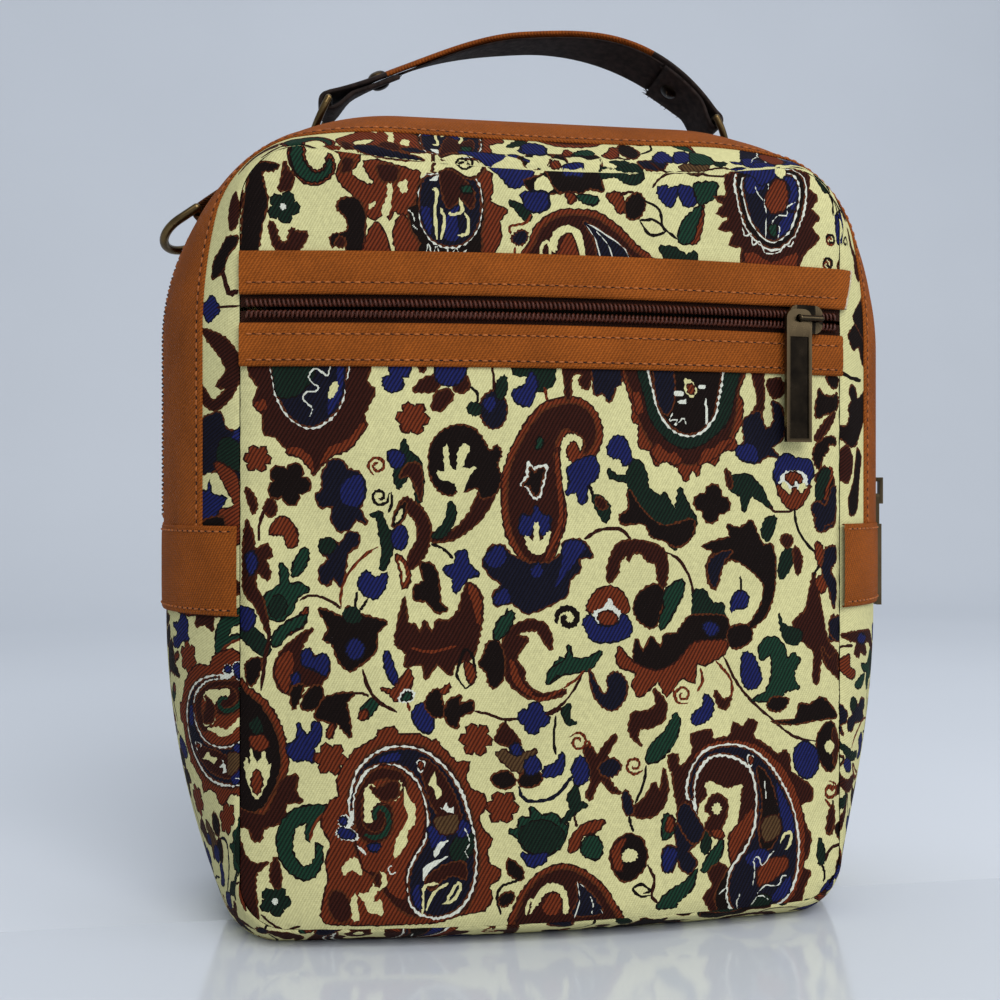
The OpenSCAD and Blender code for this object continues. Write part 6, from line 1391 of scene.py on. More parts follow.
def twill(name, light, dark, deep=0.55, pitch=0.95):
    """A diagonal weave in two tones."""
    s = Shader(name)
    u, v = s.cloth_uv()
    shake = s.math("MULTIPLY", s.noise(420.0, 2.0), 3.4)
    ridge = s.wave(u, v, pitch, 58, shake)
    weft = s.wave(u, v, 0.7, 4, s.math("MULTIPLY", shake, 0.5))
    body = s.remap(s.math("ADD", ridge, s.math("MULTIPLY", weft, 0.35)), -1.1, 1.1, 0.0, deep)
    tone = s.mix(body, linear(light), linear(dark))
    s.dapple(tone, (55.0, 5.0, 0.32, 0.84, 1.12), (1100.0, 2.0, 0.3, 0.86, 1.12))
    s.set("Roughness", s.remap(ridge, -1.0, 1.0, 0.8, 0.66))
    s.set("Specular IOR Level", 0.08)
    s.bump(s.math("ADD", ridge, s.math("MULTIPLY", weft, 0.4)), 0.5, 0.00025)
    return s.mat


def plain(name, light, dark, scale, rough, bump=0.3, distance=0.0002):
    """A material that varies between two tones, with a fine grain."""
    s = Shader(name)
    big = s.noise(scale, 4.0)
    small = s.noise(scale * 12, 2.0)
    grain = s.math("ADD", s.math("MULTIPLY", big, 0.7), s.math("MULTIPLY", small, 0.3))
    fac = s.remap(grain, 0.36, 0.64, 0.0, 1.0)
    s.set("Base Color", s.mix(fac, linear(light), linear(dark)))
    s.set("Roughness", s.remap(big, 0.3, 0.7, rough - 0.08, rough + 0.1))
    s.set("Specular IOR Level", 0.3)
    s.bump(small, bump, distance)
    return s.mat


def metal(name, bright, mid, dark, rough):
    """Aged metal: bright where it is rubbed, dark in the hollows."""
    s = Shader(name)
    geo = s.nodes.new("ShaderNodeNewGeometry")
    wear = s.remap(geo.outputs["Pointiness"], 0.49, 0.6, 0.0, 1.0)
    cloud = s.remap(s.noise(170.0, 5.0), 0.35, 0.65, 0.0, 1.0)
    grain = s.noise(2400.0, 2.0)
    base = s.mix(cloud, linear(mid), linear(dark))
    s.set("Base Color", s.mix(s.math("MULTIPLY", wear, 0.7), base, linear(bright)))
    s.set("Metallic", 1.0)
    dull = s.math("ADD", cloud, s.math("MULTIPLY", grain, 0.4))
    s.set("Roughness", s.remap(dull, 0.2, 1.2, rough - 0.08, rough + 0.14))
    s.bump(grain, 0.12, 0.00008)
    return s.mat


M_CLOTH = jacquard()
M_TWILL = twill("caramel_twill", (148, 78, 25), (70, 31, 6))
M_TAB = twill("dark_twill", (84, 46, 20), (44, 24, 12))
M_THREAD = plain("topstitch_thread", (170, 96, 38), (126, 66, 22), 800.0, 0.6)
# Painted shade: the dark colour of the stitch holes stands for the shade inside them.
M_HOLE_SHADE = plain("stitch_hole_shade", (44, 19, 6), (30, 13, 5), 800.0, 0.9)
M_SELVEDGE = plain("pale_selvedge", (196, 186, 164), (160, 146, 120), 900.0, 0.8)
M_TAPE = twill("zip_tape_weave", (50, 24, 14), (22, 11, 8), 0.8, 0.7)
M_COIL = plain("zip_coil_nylon", (84, 38, 22), (52, 23, 13), 900.0, 0.42)
M_LINING = plain("pocket_lining_cloth", (48, 40, 36), (30, 24, 22), 600.0, 0.85)
M_STRAP = twill("handle_twill", (132, 68, 22), (84, 38, 10))
# The handle's dark face; the strap's ends, folds and tails also take it as painted shade.
M_UNDER = plain("handle_dark_face", (38, 24, 18), (18, 11, 9), 420.0, 0.88, 0.5, 0.0003)
M_BRASS = metal("antique_brass", (160, 134, 88), (88, 71, 45), (46, 36, 24), 0.3)
M_BRONZE = metal("dark_bronze", (100, 86, 64), (33, 28, 22), (20, 17, 14), 0.34)


# Cloth panels
PANEL_W, OVER_ALL = 2 * HALF_W, 300
# The back has the front's motifs that start below BACK_REPEAT, and has them again turned over at BACK_FOLD
BACK_REPEAT, BACK_FOLD = 170, 176.5
# The zips' two sides and the bag's two hands, each with its sign
MAIN_SIDES = (("front", -1), ("rear", 1))
FRONT_SIDES = (("upper", 1), ("lower", -1))
HANDS = (("left", -1), ("right", 1))


def outline_part(z0, z1):
    """The right and left halves of the panel's outline between two heights, anticlockwise."""
    right = join(
        line((0, SEAM_LIFT), (HALF_W - SEAM_R_LOW, SEAM_LIFT), 40),
        arc(HALF_W - SEAM_R_LOW, SEAM_LIFT + SEAM_R_LOW, SEAM_R_LOW, -90, 0, 14),
        line((HALF_W, SEAM_LIFT + SEAM_R_LOW), (HALF_W, SEAM_TOP - SEAM_R_TOP), 90),
        arc(TOP_X, SEAM_TOP - SEAM_R_TOP, SEAM_R_TOP, 0, 90, 16),
        sag(TOP_X, 0, 40))
    keep = right[(right[:, 1] > z0) & (right[:, 1] < z1)]
    if z0 > SEAM_LIFT:
        keep = np.concatenate([[[HALF_W, z0]], keep])
    if z1 < SEAM_TOP:
        keep = np.concatenate([keep, [[HALF_W, z1]]])
    left = (keep * np.array([-1.0, 1.0]))[::-1]
    return keep, left


low_right, low_left = outline_part(0, ZIP_Z - CUT_HALF)
low_outline = np.concatenate([low_right, low_left[:-1]])
low_seam = np.concatenate([low_left, low_right[1:]])
low_panel = woven("front_cloth_lower", low_outline, MOTIFS, front_at, seam_press(low_seam))
place(low_panel, "bag", ["front_panel_lower"])

top_right, top_left = outline_part(ZIP_Z + CUT_HALF, OVER_ALL)
top_outline = np.concatenate([top_right, top_left[1:]])
top_panel = woven("front_cloth_upper", top_outline, MOTIFS, front_at, seam_press(top_outline))
place(top_panel, "bag", ["front_panel_upper"])


def back_at(u, v, h):
    """Points h behind the back panel's face."""
    x = -np.asarray(u, float)
    y = back_y(x) + h
    return np.stack([x, y, np.asarray(v, float)], -1)


all_right, all_left = outline_part(0, OVER_ALL)
all_outline = np.concatenate([all_right, all_left[1:-1]])
all_seam = np.concatenate([all_outline, all_outline[:1]])
low_motifs = [(k, p) for k, p in MOTIFS if p[:, 1].min() < BACK_REPEAT]
turned = [(k, p * np.array([1.0, -1.0]) + np.array([0.0, 2 * BACK_FOLD])) for k, p in low_motifs]
back = woven("back_cloth", all_outline, low_motifs + turned, back_at, seam_press(all_seam))
place(back, "bag", ["back_panel"])


# Gusset of the same cloth
def upper_at(u, v, h):
    return gusset_at(upper_seam, upper_zip, upper_run, u, v, h)


def lower_at(u, v, h):
    return gusset_at(lower_seam, lower_zip, lower_run, u, v, h)


# Half the gusset's width, half the brown bands' width, and the lengths of the upper and lower gussets
FULL_V = GUSSET_R * GUSSET_TURN
BAND_V = FULL_V - STRIP_W
U_END = upper_run[-1]
L_END = lower_run[-1]
# How far the side cloth runs under a band
TUCK = 0.6
# The front's motifs beyond NEAR_X or NEAR_Z carry on over its seam, between these places along the gusset
NEAR_X, NEAR_Z = 75, 216
CARRY_FROM, CARRY_TO = 104, U_END - 112
# Spacing of the points along the gusset's edges
GRID = 2.0


def shifted(motifs, turn, du, dv):
    """Motifs turned by an angle and moved."""
    c, s = math.cos(math.radians(turn)), math.sin(math.radians(turn))
    spin = np.array([[c, s], [-s, c]])
    return [(k, p @ spin + np.array([du, dv])) for k, p in motifs]


def rect(u0, u1, v0, v1):
    nu, nv = int((u1 - u0) / GRID), max(2, int((v1 - v0) / GRID))
    return np.concatenate([line((u0, v0), (u1, v0), nu)[:-1], line((u1, v0), (u1, v1), nv)[:-1],
                           line((u1, v1), (u0, v1), nu)[:-1], line((u0, v1), (u0, v0), nv)[:-1]])


def gusset_cloth(name, node, v0, v1, seam_v, motifs):
    press = seam_press(np.array([[0.0, seam_v], [U_END, seam_v]]))
    obj = woven(name, rect(0.0, U_END, v0, v1), motifs, upper_at, press)
    place(obj, "bag", [node])


def over_seam(motifs):
    """The front's shapes carried on over its seam, turned over along it."""
    own = run_of(upper_seam)
    out = []
    for colour, shape in motifs:
        if np.abs(shape[:, 0]).max() > NEAR_X or shape[:, 1].max() > NEAR_Z:
            gap, where = edge_gap(shape, upper_seam)
            out.append((colour, np.stack([np.interp(where, own, upper_run), gap - FULL_V], -1)))
    return out


front_side = [(k, p) for k, p in over_seam(MOTIFS)
              if p[:, 0].max() < CARRY_TO and p[:, 0].min() > CARRY_FROM]
front_side += RIGHT_MOTIFS
front_side += [(k, p * np.array([-1.0, 1.0]) + np.array([U_END, 0.0])) for k, p in SIDE_MOTIFS]
gusset_cloth("front_gusset_cloth", "front_gusset", -FULL_V, -BAND_V + TUCK, -FULL_V, front_side)
rear_side = shifted(MOTIFS, 90, 150.0, 20.0) + shifted(MOTIFS, 90, 350.0, 60.0)
gusset_cloth("rear_gusset_cloth", "rear_gusset", BAND_V - TUCK, FULL_V, FULL_V, rear_side)
under = shifted(MOTIFS, 0, 95.0, -90.0) + shifted(MOTIFS, 180, 297.0, 76.0)
press_front = seam_press(np.array([[0.0, -FULL_V], [L_END, -FULL_V]]))
press_back = seam_press(np.array([[0.0, FULL_V], [L_END, FULL_V]]))
floor_cloth = woven("bottom_gusset_cloth", rect(0.0, L_END, -FULL_V, FULL_V), under, lower_at,
                    lambda flat: press_front(flat) + press_back(flat))
place(floor_cloth, "bag", ["bottom_gusset"])

# Brown bands on both sides of the main zip.
# Width of the cut cloth, then the rows of stitching: in from the outer edge, out from the fold, and height
BAND_CUT_W, BAND_OUTER, BAND_INNER, BAND_STITCH_H = 35, 1.9, 3.3, 0.78
band_us = np.unique(np.concatenate([np.arange(0, U_END, GRID), [U_END]]))


def band_profile(sign):
    """A band's cross-section, from its outer edge to the fold beside the zip."""
    w, f = BAND_V, FOLD_HALF
    prof = [(w + 0.35, -0.5), (w + 0.45, 0.1), (w + 0.2, 0.6), (w - 0.6, 0.85), (w - 1.6, 0.66),
            (w - 2.2, 0.62), (w - 3.2, 0.82), (w * 0.72, 0.9), (w * 0.5, 0.92), (w * 0.3, 0.9),
            (f + 4.2, 0.85), (f + 3.3, 0.66), (f + 2.4, 0.82), (f + 0.8, 0.75), (f + 0.15, 0.4),
            (f, -0.1), (f + 0.2, -0.5), (f + 1.0, -0.62)]
    return [(sign * v, h) for v, h in prof]


for side, sign in MAIN_SIDES:
    band = strip("band_twill_" + side, upper_at, band_us, band_profile(sign), M_TWILL)
    place(band, "bag", ["zip_band_" + side])
    for row, v in (("outer", BAND_V - BAND_OUTER), ("inner", FOLD_HALF + BAND_INNER)):
        stitches("band_stitch_%s_%s" % (side, row), upper_at, (0, U_END), sign * v, BAND_STITCH_H)

# Zip tapes: ribbed strips under the coils, with their inner edge, level and rib depth
TAPE_IN, TAPE_LEVEL, TAPE_RIB = 0.62, -0.7, 0.12


def zip_at(u, v, h):
    """Points h above the front panel, v up from its zip."""
    return front_at(u, ZIP_Z + np.asarray(v, float), np.asarray(h, float))


def tapes(which, sides, at, us, edge, ribs):
    for side, sign in sides:
        vs = np.linspace(TAPE_IN, edge, ribs)
        prof = [(sign * v, TAPE_LEVEL - TAPE_RIB * (k % 2)) for k, v in enumerate(vs)]
        tape = strip("%s_tape_%s" % (which, side), at, us, prof, M_TAPE)
        place(tape, "bag", ["%s_zip_tape_%s" % (which, side)])


tapes("main", MAIN_SIDES, upper_at, band_us, FOLD_HALF - 0.05, 12)
tapes("front", FRONT_SIDES, zip_at, np.linspace(-TRIM_END, TRIM_END, 96), CUT_HALF - 0.1, 16)

# Folded trims beside the pocket zip; the upper one runs past the right-hand seam, to a slanted end.
# Width of the cut cloth, then the rows of stitching: out from the fold, in from the far edge, and height
TRIM_CUT_W, TRIM_NEAR, TRIM_FAR, TRIM_STITCH_H = 17, 3.5, 1.8, 1.3
# The upper trim is stretched from STRETCH_X on, to an end that leans out with height, lifted over the side
STRETCH_X, END_LEAN, END_REACH, END_LIFT = 80, 0.32, 5.5, 0.25
trim_us = np.linspace(-TRIM_END, TRIM_END, 120)
side_z, side_u = upper_seam[:N1 + N2 + 1, 1], upper_run[:N1 + N2 + 1]


def past_seam(x, v, h):
    """As zip_at, but carried on over the side seam at the right."""
    x = np.asarray(x, float)
    z = ZIP_Z + np.asarray(v, float)
    end = np.clip(HALF_W + 1.0 + (z - ZIP_Z - FOLD_HALF) * END_LEAN, 0, HALF_W + END_REACH)
    longer = STRETCH_X + (x - STRETCH_X) * (end - STRETCH_X) / (TRIM_END - STRETCH_X)
    x = np.where(x > STRETCH_X, longer, x)
    face = front_at(np.minimum(x, HALF_W), z, h)
    over = np.maximum(x - HALF_W, 0) - FULL_V
    side = upper_at(np.interp(z, side_z, side_u), over, np.asarray(h) + END_LIFT)
    return np.where((x > HALF_W)[..., None], side, face)


def trim_profile(sign):
    """A trim's cross-section, from its far edge to the fold beside the zip."""
    w, f = FOLD_HALF + TRIM_H, FOLD_HALF
    prof = [(w, -0.05), (w + 0.1, 0.5), (w - 0.1, 1.0), (w - 0.8, 1.4), (w - 1.8, 1.16), (w - 2.8, 1.44),
            (w - 5.5, 1.5), (f + 5.6, 1.48), (f + 4.4, 1.44), (f + 3.5, 1.18), (f + 2.6, 1.42),
            (f + 0.9, 1.35), (f + 0.2, 0.95), (f, 0.4), (f + 0.1, -0.2), (f + 0.9, -0.4)]
    return [(sign * v, h) for v, h in prof]


for side, sign in FRONT_SIDES:
    trim_at = past_seam if side == "upper" else zip_at
    trim = strip("trim_twill_" + side, trim_at, trim_us, trim_profile(sign), M_TWILL)
    place(trim, "bag", ["front_trim_" + side])
    rows = [("near", FOLD_HALF + TRIM_NEAR)]
    if side == "lower":
        rows.append(("far", FOLD_HALF + TRIM_H - TRIM_FAR))
    for row, v in rows:
        stitches("trim_stitch_%s_%s" % (side, row), zip_at, (-TRIM_END, TRIM_END), sign * v, TRIM_STITCH_H)

# The pale cut edge at the upper trim's slanted end
SELVEDGE_N, SELVEDGE_R, SELVEDGE_H = 24, 0.55, 0.9
selvedge_v = np.linspace(FOLD_HALF + 0.3, FOLD_HALF + TRIM_H, SELVEDGE_N)
selvedge = past_seam(np.full(SELVEDGE_N, TRIM_END + 0.2), selvedge_v, np.full(SELVEDGE_N, SELVEDGE_H))
points, faces = tube(selvedge, np.repeat([[1.0, 0.0, 0.0]], SELVEDGE_N, 0), SELVEDGE_R)
place(add_mesh("trim_selvedge", points, faces, M_SELVEDGE), "bag")


# Side patches: width of the cut cloth, gap to the gusset, and stitching, in from an edge and height
PATCH_CUT_W, PATCH_OFF, PATCH_IN, PATCH_STITCH_H = 30, 0.15, 1.7, 1.2


def patch_at(side):
    """Points h above a patch: u across it and v up it."""
    def at(u, v, h):
        a = np.asarray(u, float) / GUSSET_R
        r = GUSSET_R + PATCH_OFF + np.asarray(h, float)
        x = GUSSET_X + r * np.cos(a)
        return np.stack([side * x, side * r * np.sin(a), np.broadcast_to(v, x.shape)], -1)
    return at


patch_edge = [(0.5, 0.0), (0.0, 0.4), (0.0, 0.9), (0.7, 1.25), (1.7, 1.08), (2.7, 1.3)]
patch_profile = ([(PATCH_LOW + v, h) for v, h in patch_edge]
                 + [(PATCH_MID + v, 1.35) for v in (-6, 0, 6)]
                 + [(PATCH_TOP - v, h) for v, h in patch_edge[::-1]])
for name, side in HANDS:
    at = patch_at(side)
    patch = strip("patch_twill_" + name, at, np.linspace(-FULL_V, FULL_V, 56), patch_profile, M_TWILL)
    place(patch, "bag", ["patch_" + name])
    for row, z in (("low", PATCH_LOW + PATCH_IN), ("top", PATCH_TOP - PATCH_IN)):
        stitches("patch_stitch_%s_%s" % (name, row), at, (-FULL_V, FULL_V), z, PATCH_STITCH_H)

# Zip coils: a flat spiral of nylon on each tape, with its points a turn, its middle and reach across the zip,
# its middle and reach in height, and its own radius
COIL_PER = 9
COIL_MID, COIL_REACH = SLOT / 2 + COIL_W / 2 - 0.1, COIL_W / 2 - 0.25
COIL_LIFT, COIL_RISE, COIL_R = 1.2, 0.72, 0.42


def coils(which, sides, centre, count, low):
    """centre(s) gives a point on the zip, the way out and the way across, for s from 0 to 1."""
    k = np.arange(count * COIL_PER + 1)
    p, out, across = centre(k / (count * COIL_PER))
    a = k * 2 * math.pi / COIL_PER
    for side, sign in sides:
        spot = (p + across * sign * (COIL_MID + COIL_REACH * np.cos(a))[:, None]
                + out * (low + COIL_LIFT + COIL_RISE * np.sin(a))[:, None])
        ref = across * np.cos(a)[:, None] + out * np.sin(a)[:, None]
        points, faces = tube(spot, ref, COIL_R, 5)
        obj = add_mesh("%s_coil_%s" % (which, side), points, faces, M_COIL)
        place(obj, "bag", ["%s_zip_coil_%s" % (which, side)])


def front_line(s):
    """The pocket zip, from left to right."""
    x = (s * 2 - 1) * (TRIM_W - 0.8)
    p = front_at(x, np.full(len(x), ZIP_Z), np.zeros(len(x)))
    out = unit(front_at(x, np.full(len(x), ZIP_Z), np.ones(len(x))) - p)
    return p, out, np.repeat([[0.0, 0.0, 1.0]], len(x), 0)


def main_line(s):
    """The main zip, from the right patch over the top to the left one."""
    start = PATCH_TOP + 2
    side = ZIP_CZ - start
    bend = ZIP_R * math.pi / 2
    half = side + bend + ZIP_CX
    d = s * 2 * half
    left = d > half
    d = np.where(left, 2 * half - d, d)
    a = np.clip((d - side) / ZIP_R, 0, math.pi / 2)
    x = np.where(d < side, ZIP_HALF, np.where(d < side + bend, ZIP_CX + ZIP_R * np.cos(a), half - d))
    z = np.where(d < side, start + d, np.where(d < side + bend, ZIP_CZ + ZIP_R * np.sin(a), ZIP_TOP))
    m = np.where(left, -1.0, 1.0)
    p = np.stack([m * x, np.zeros(len(x)), z], -1)
    out = np.stack([m * np.cos(a), np.zeros(len(x)), np.sin(a)], -1)
    return p, out, np.repeat([[0.0, 1.0, 0.0]], len(x), 0)


coils("front", FRONT_SIDES, front_line, 138, -0.7)
coils("main", MAIN_SIDES, main_line, 320, -0.6)


# Loops of brown strap for the strap rings, on the top corners
def local_frame(side, origin, x, z):
    """Places points in a frame given by two of its axes, mirrored at the left; also its third axis."""
    m = np.array([side, 1.0, 1.0])
    x, z = unit(x), unit(z)
    y = np.cross(z, x)
    return lambda a, b, c: (np.asarray(origin) + np.outer(a, x) + np.outer(b, y) + np.outer(c, z)) * m, y * m


def bend_round(points, radius, n):
    """A polyline with its corners rounded."""
    points = np.asarray(points, float)
    out = [points[:1]]
    for p, q, r in zip(points[:-2], points[1:-1], points[2:]):
        a = q + unit(p - q) * min(radius, np.linalg.norm(p - q) * 0.48)
        b = q + unit(r - q) * min(radius, np.linalg.norm(r - q) * 0.48)
        t = np.linspace(0, 1, n + 1)[:, None]
        out.append((1 - t) ** 2 * a + 2 * t * (1 - t) * q + t ** 2 * b)
    out.append(points[-1:])
    return np.concatenate(out)


def loop_piece(name, flat, at, across, width, thick, nodes=()):
    """A strap of one width, bent along the flat line of points in a local frame."""
    flat = np.asarray(flat, float)
    path = at(flat[:, 0], np.zeros(len(flat)), flat[:, 1])
    way = unit(np.gradient(path, axis=0))
    side = np.repeat(unit(across)[None, :], len(path), 0)
    out = np.cross(way, side)
    place(ribbon(name, path, side, out, width, thick, M_TAB), "bag", nodes)


TAB_GROUND, TAB_OUT, TAB_DOWN = (105.812, 18.035, 229.882), (0.7684, 0.3465, 0.5380), (0.5736, 0.0, -0.8192)
TAB_W, TAB_T, TAB_BEND = 16.2, 1.2, 2.45
a = np.radians(np.linspace(-80, 90, 12))
tab_flat = np.concatenate([line((-13, 1.15), (-5.5, 1.9), 4),
                           np.stack([TAB_BEND * np.cos(a), 5.2 + TAB_BEND * np.sin(a)], -1),
                           line((-4, 6.2), (-13, 2.6), 5)])
for name, side in HANDS:
    at, across = local_frame(side, TAB_GROUND, TAB_DOWN, TAB_OUT)
    loop_piece("ring_loop_" + name, tab_flat, at, across, TAB_W, TAB_T, ["d_ring_tab_" + name])

# Loops that hold the handle's rings, each with a foot on the gusset
LEAN = math.radians(26)
PIVOT = np.array([69.5015, 17.0383, 270.951])
RING_R = 11.5
ring_x = np.array([math.cos(LEAN), 0, math.sin(LEAN)])
ring_z = np.array([-math.sin(LEAN), 0, math.cos(LEAN)])
FOOT_X, FOOT_Y, FOOT_DROP, LOOP_W, FOOT_W, LOOP_T = 73, 16, 5.6, 5.8, 5.9, 1.3
TURN_H = math.acos((FOOT_X - ZIP_CX) / ZIP_R)
FOOT_T = math.asin(FOOT_Y / HALF_D * math.sin(GUSSET_TURN))
zip_out = np.array([math.cos(TURN_H), 0, math.sin(TURN_H)])
foot_down = np.array([math.sin(TURN_H), 0, -math.cos(TURN_H)])
foot_out = zip_out * math.cos(FOOT_T) + np.array([0, math.sin(FOOT_T), 0])
loop_at = PIVOT - ring_z * RING_R
foot_at = loop_at - zip_out * FOOT_DROP
loop_flat = bend_round([(-4.0, -4.6), (-4.0, 3.0), (2.55, 3.0), (2.55, -3.2)], 1.9, 6)
foot_flat = bend_round([(-9.0, 1.0), (-4.0, 1.2), (4.0, 1.2), (9.0, 1.0)], 1.0, 3)
for name, side in HANDS:
    at, across = local_frame(side, loop_at, ring_x, ring_z)
    loop_piece("handle_loop_" + name, loop_flat, at, across, LOOP_W, LOOP_T, ["handle_tab_" + name])
    at, across = local_frame(side, foot_at, foot_down, foot_out)
    loop_piece("handle_foot_" + name, foot_flat, at, across, FOOT_W, LOOP_T)

# Handle: a strap that folds round both rings, with a dark face below
BAR_X, BAR_Y, BAR_Z = 68.6247, 17.0383, 272.749
# Radius of a fold, length of a folded tail, its gap below the strap, and the way over which it closes up
FOLD_R, TAIL_L, TAIL_GAP, CLOSE_L = 2.55, 26, 2.15, 10
# Widths and thicknesses of the strap and its dark face, and the largest twist of both, in degrees
STRAP_W, STRAP_T, UNDER_W, UNDER_T, UNDER_DROP = 19.4, 1.95, 17.3, 0.85, 1.55
TWIST = 16
# Points of a tail and of a fold
TAIL_N = FOLD_N = 14
# The strap is painted dark beyond these, in the dark face's material: painted shade over its brown face
# there, and its own dark face below; the dark face starts this far from a ring
SHADE_LEFT, SHADE_RIGHT, UNDER_FROM = -51, 44, 26.5


def way_of(a):
    return np.array([math.cos(math.radians(a)), math.sin(math.radians(a))])


def beside(a):
    return np.array([-math.sin(math.radians(a)), math.cos(math.radians(a))])


def bezier(p, q, a, b, n, pull):
    """A curve that leaves p at angle a and meets q at angle b."""
    t = (np.arange(n + 1) / n)[:, None]
    d = np.linalg.norm(q - p) * pull
    return ((1 - t) ** 3 * p + 3 * t * (1 - t) ** 2 * (p + way_of(a) * d)
            + 3 * t ** 2 * (1 - t) * (q - way_of(b) * d) + t ** 3 * q)


# Slopes of the handle at its left and right ends, and at its peak
LS, RS, PEAK_SLOPE = 27, 44, 4
left_bar, right_bar = np.array([-BAR_X, BAR_Z]), np.array([BAR_X, BAR_Z])
left_leave, right_leave = left_bar + beside(LS) * FOLD_R, right_bar + beside(-RS) * FOLD_R
peak = np.array([4.0, PIVOT[2] + 29])
arch = join(bezier(left_leave, peak, LS, PEAK_SLOPE, 40, 0.36),
            bezier(peak, right_leave, PEAK_SLOPE, -RS, 40, 0.4))
arch_run = run_of(arch)
arch_up = unit(np.gradient(arch, axis=0))[:, ::-1] * np.array([-1.0, 1.0])


def tail_at(s, right):
    """Points of a folded end that closes up under the strap, s from its ring."""
    s = np.asarray(s, float)
    place_s = arch_run[-1] - s if right else s
    t = np.clip(s / CLOSE_L, 0, 1)
    drop = TAIL_GAP + (2 * FOLD_R - TAIL_GAP) * (1 - t * t * (3 - 2 * t))
    return along(arch, arch_run, place_s) - unit(along(arch_up, arch_run, place_s)) * drop[:, None]


TAIL = np.linspace(TAIL_L, 0.8, TAIL_N)
strap_path = np.concatenate([
    tail_at(TAIL, False), arc(*left_bar, FOLD_R, LS + 270, LS + 90, FOLD_N)[:-1],
    arch, arc(*right_bar, FOLD_R, 90 - RS, -90 - RS, FOLD_N)[1:], tail_at(TAIL[::-1], True)])


def strap_axes(path):
    """Points of the handle over a path in X and Z, with the strap's way across and way out there."""
    d = unit(np.gradient(path, axis=0))
    u = np.minimum(np.abs(path[:, 0]) / BAR_X, 1)
    t = np.radians(TWIST * 27 / 4 * u * u * (1 - u)) * np.sign(d[:, 0]) * np.sign(path[:, 0])
    up = np.stack([-d[:, 1], np.zeros(len(d)), d[:, 0]], -1)
    side = np.stack([np.zeros(len(d)), np.cos(t), np.zeros(len(d))], -1) - up * np.sin(t)[:, None]
    out = up * np.cos(t)[:, None] + np.stack([np.zeros(len(d)), np.sin(t), np.zeros(len(d))], -1)
    spot = np.stack([path[:, 0], np.full(len(d), BAR_Y), path[:, 1]], -1)
    return spot, side, out


spot, side, out = strap_axes(strap_path)
strap = ribbon("handle_outer_strap", spot, side, out, STRAP_W, STRAP_T, M_STRAP)
strap.data.materials.append(M_UNDER)
# Painted shade: the ends, folds and tails are dark over the strap's brown outer face as well as over its real
# dark inner face.
dark = (strap_path[:, 0] < SHADE_LEFT) | (strap_path[:, 0] > SHADE_RIGHT)
dark[:TAIL_N + FOLD_N] = True
dark[-TAIL_N - FOLD_N:] = True
for k, poly in enumerate(strap.data.polygons):
    poly.material_index = int(dark[min(k // RIBBON_COLS, len(dark) - 1)])
place(strap, "handle", ["handle_strap"])
near = np.minimum(np.linalg.norm(arch - left_leave, axis=1), np.linalg.norm(arch - right_leave, axis=1))
spot, side, out = strap_axes(arch[near > UNDER_FROM])
under_strap = ribbon("handle_under_strap", spot - out * UNDER_DROP, side, out, UNDER_W, UNDER_T, M_UNDER)
place(under_strap, "handle", ["handle_lining"])

# Rivets through both folded ends, and loose threads at the cut ends
RIVET_K, RIVET_SIDES, RIVET_LIFT = 10, 24, 1.05
dome = np.array([(0.01, 1.2), (1.0, 1.14), (1.9, 0.92), (2.7, 0.5), (3.15, 0.05), (3.2, -0.35)])
turn = np.radians(np.arange(RIVET_SIDES) * 360 / RIVET_SIDES)
points, faces, tones = [], [], []
for right in (False, True):
    k = len(arch) - 1 - RIVET_K if right else RIVET_K
    s = arch_run[-1] - arch_run[k] if right else arch_run[k]
    low = tail_at([s + 0.5, s, s - 0.5], right)
    for path, tone in ((arch[k - 1:k + 2], 0), (low[::-1] if right else low, 1)):
        spot, side, out = strap_axes(path)
        c, x, n = spot[1], side[1], out[1]
        y = np.cross(n, x)
        ring = x * np.cos(turn)[:, None] + y * np.sin(turn)[:, None]
        p = c + dome[:, None, :1] * ring[None] + (RIVET_LIFT + dome[:, None, 1:]) * n
        faces.append(grid_faces(len(dome), RIVET_SIDES, True) + p[..., 0].size * len(points))
        points.append(p.reshape(-1, 3))
        tones += [tone] * len(faces[-1])
rivets = add_mesh("handle_rivet_heads", np.concatenate(points), np.concatenate(faces), M_BRASS)
rivets.data.materials.append(M_BRONZE)
rivets.data.polygons.foreach_set("material_index", tones)
place(rivets, "handle", ["handle_rivets"])
THREAD_COUNT, THREAD_SPREAD, THREAD_SIDES = 70, 9.5, 4
thread_r = np.array([0.16, 0.13, 0.06])
loose = np.random.default_rng(7)
points, faces = [], []
for right in (False, True):
    spot, side, out = strap_axes(tail_at(TAIL, right)[::-1] if right else tail_at(TAIL, right))
    spot, side, out = (spot[::-1], side[::-1], out[::-1]) if right else (spot, side, out)
    for _ in range(THREAD_COUNT):
        k = int(loose.integers(0, 9)) if loose.random() < 0.5 else 0
        edge = loose.choice([-1.0, 1.0]) if k else loose.uniform(-1, 1)
        base = spot[k] + side[k] * edge * THREAD_SPREAD + out[k] * loose.uniform(-0.5, 0.5)
        away = unit(side[k] * edge if k else spot[0] - spot[1])
        reach = away * loose.uniform(0.4, 1.7) + loose.normal(0, 0.35, 3)
        bend = np.array([base - away * 0.5, base + reach * 0.5 + loose.normal(0, 0.12, 3), base + reach])
        p, f = tube(bend, np.repeat(out[k][None], len(bend), 0), thread_r, THREAD_SIDES)
        faces.append(f + len(p) * len(points))
        points.append(p)
threads = add_mesh("handle_loose_threads", np.concatenate(points), np.concatenate(faces), M_UNDER)
place(threads, "handle")

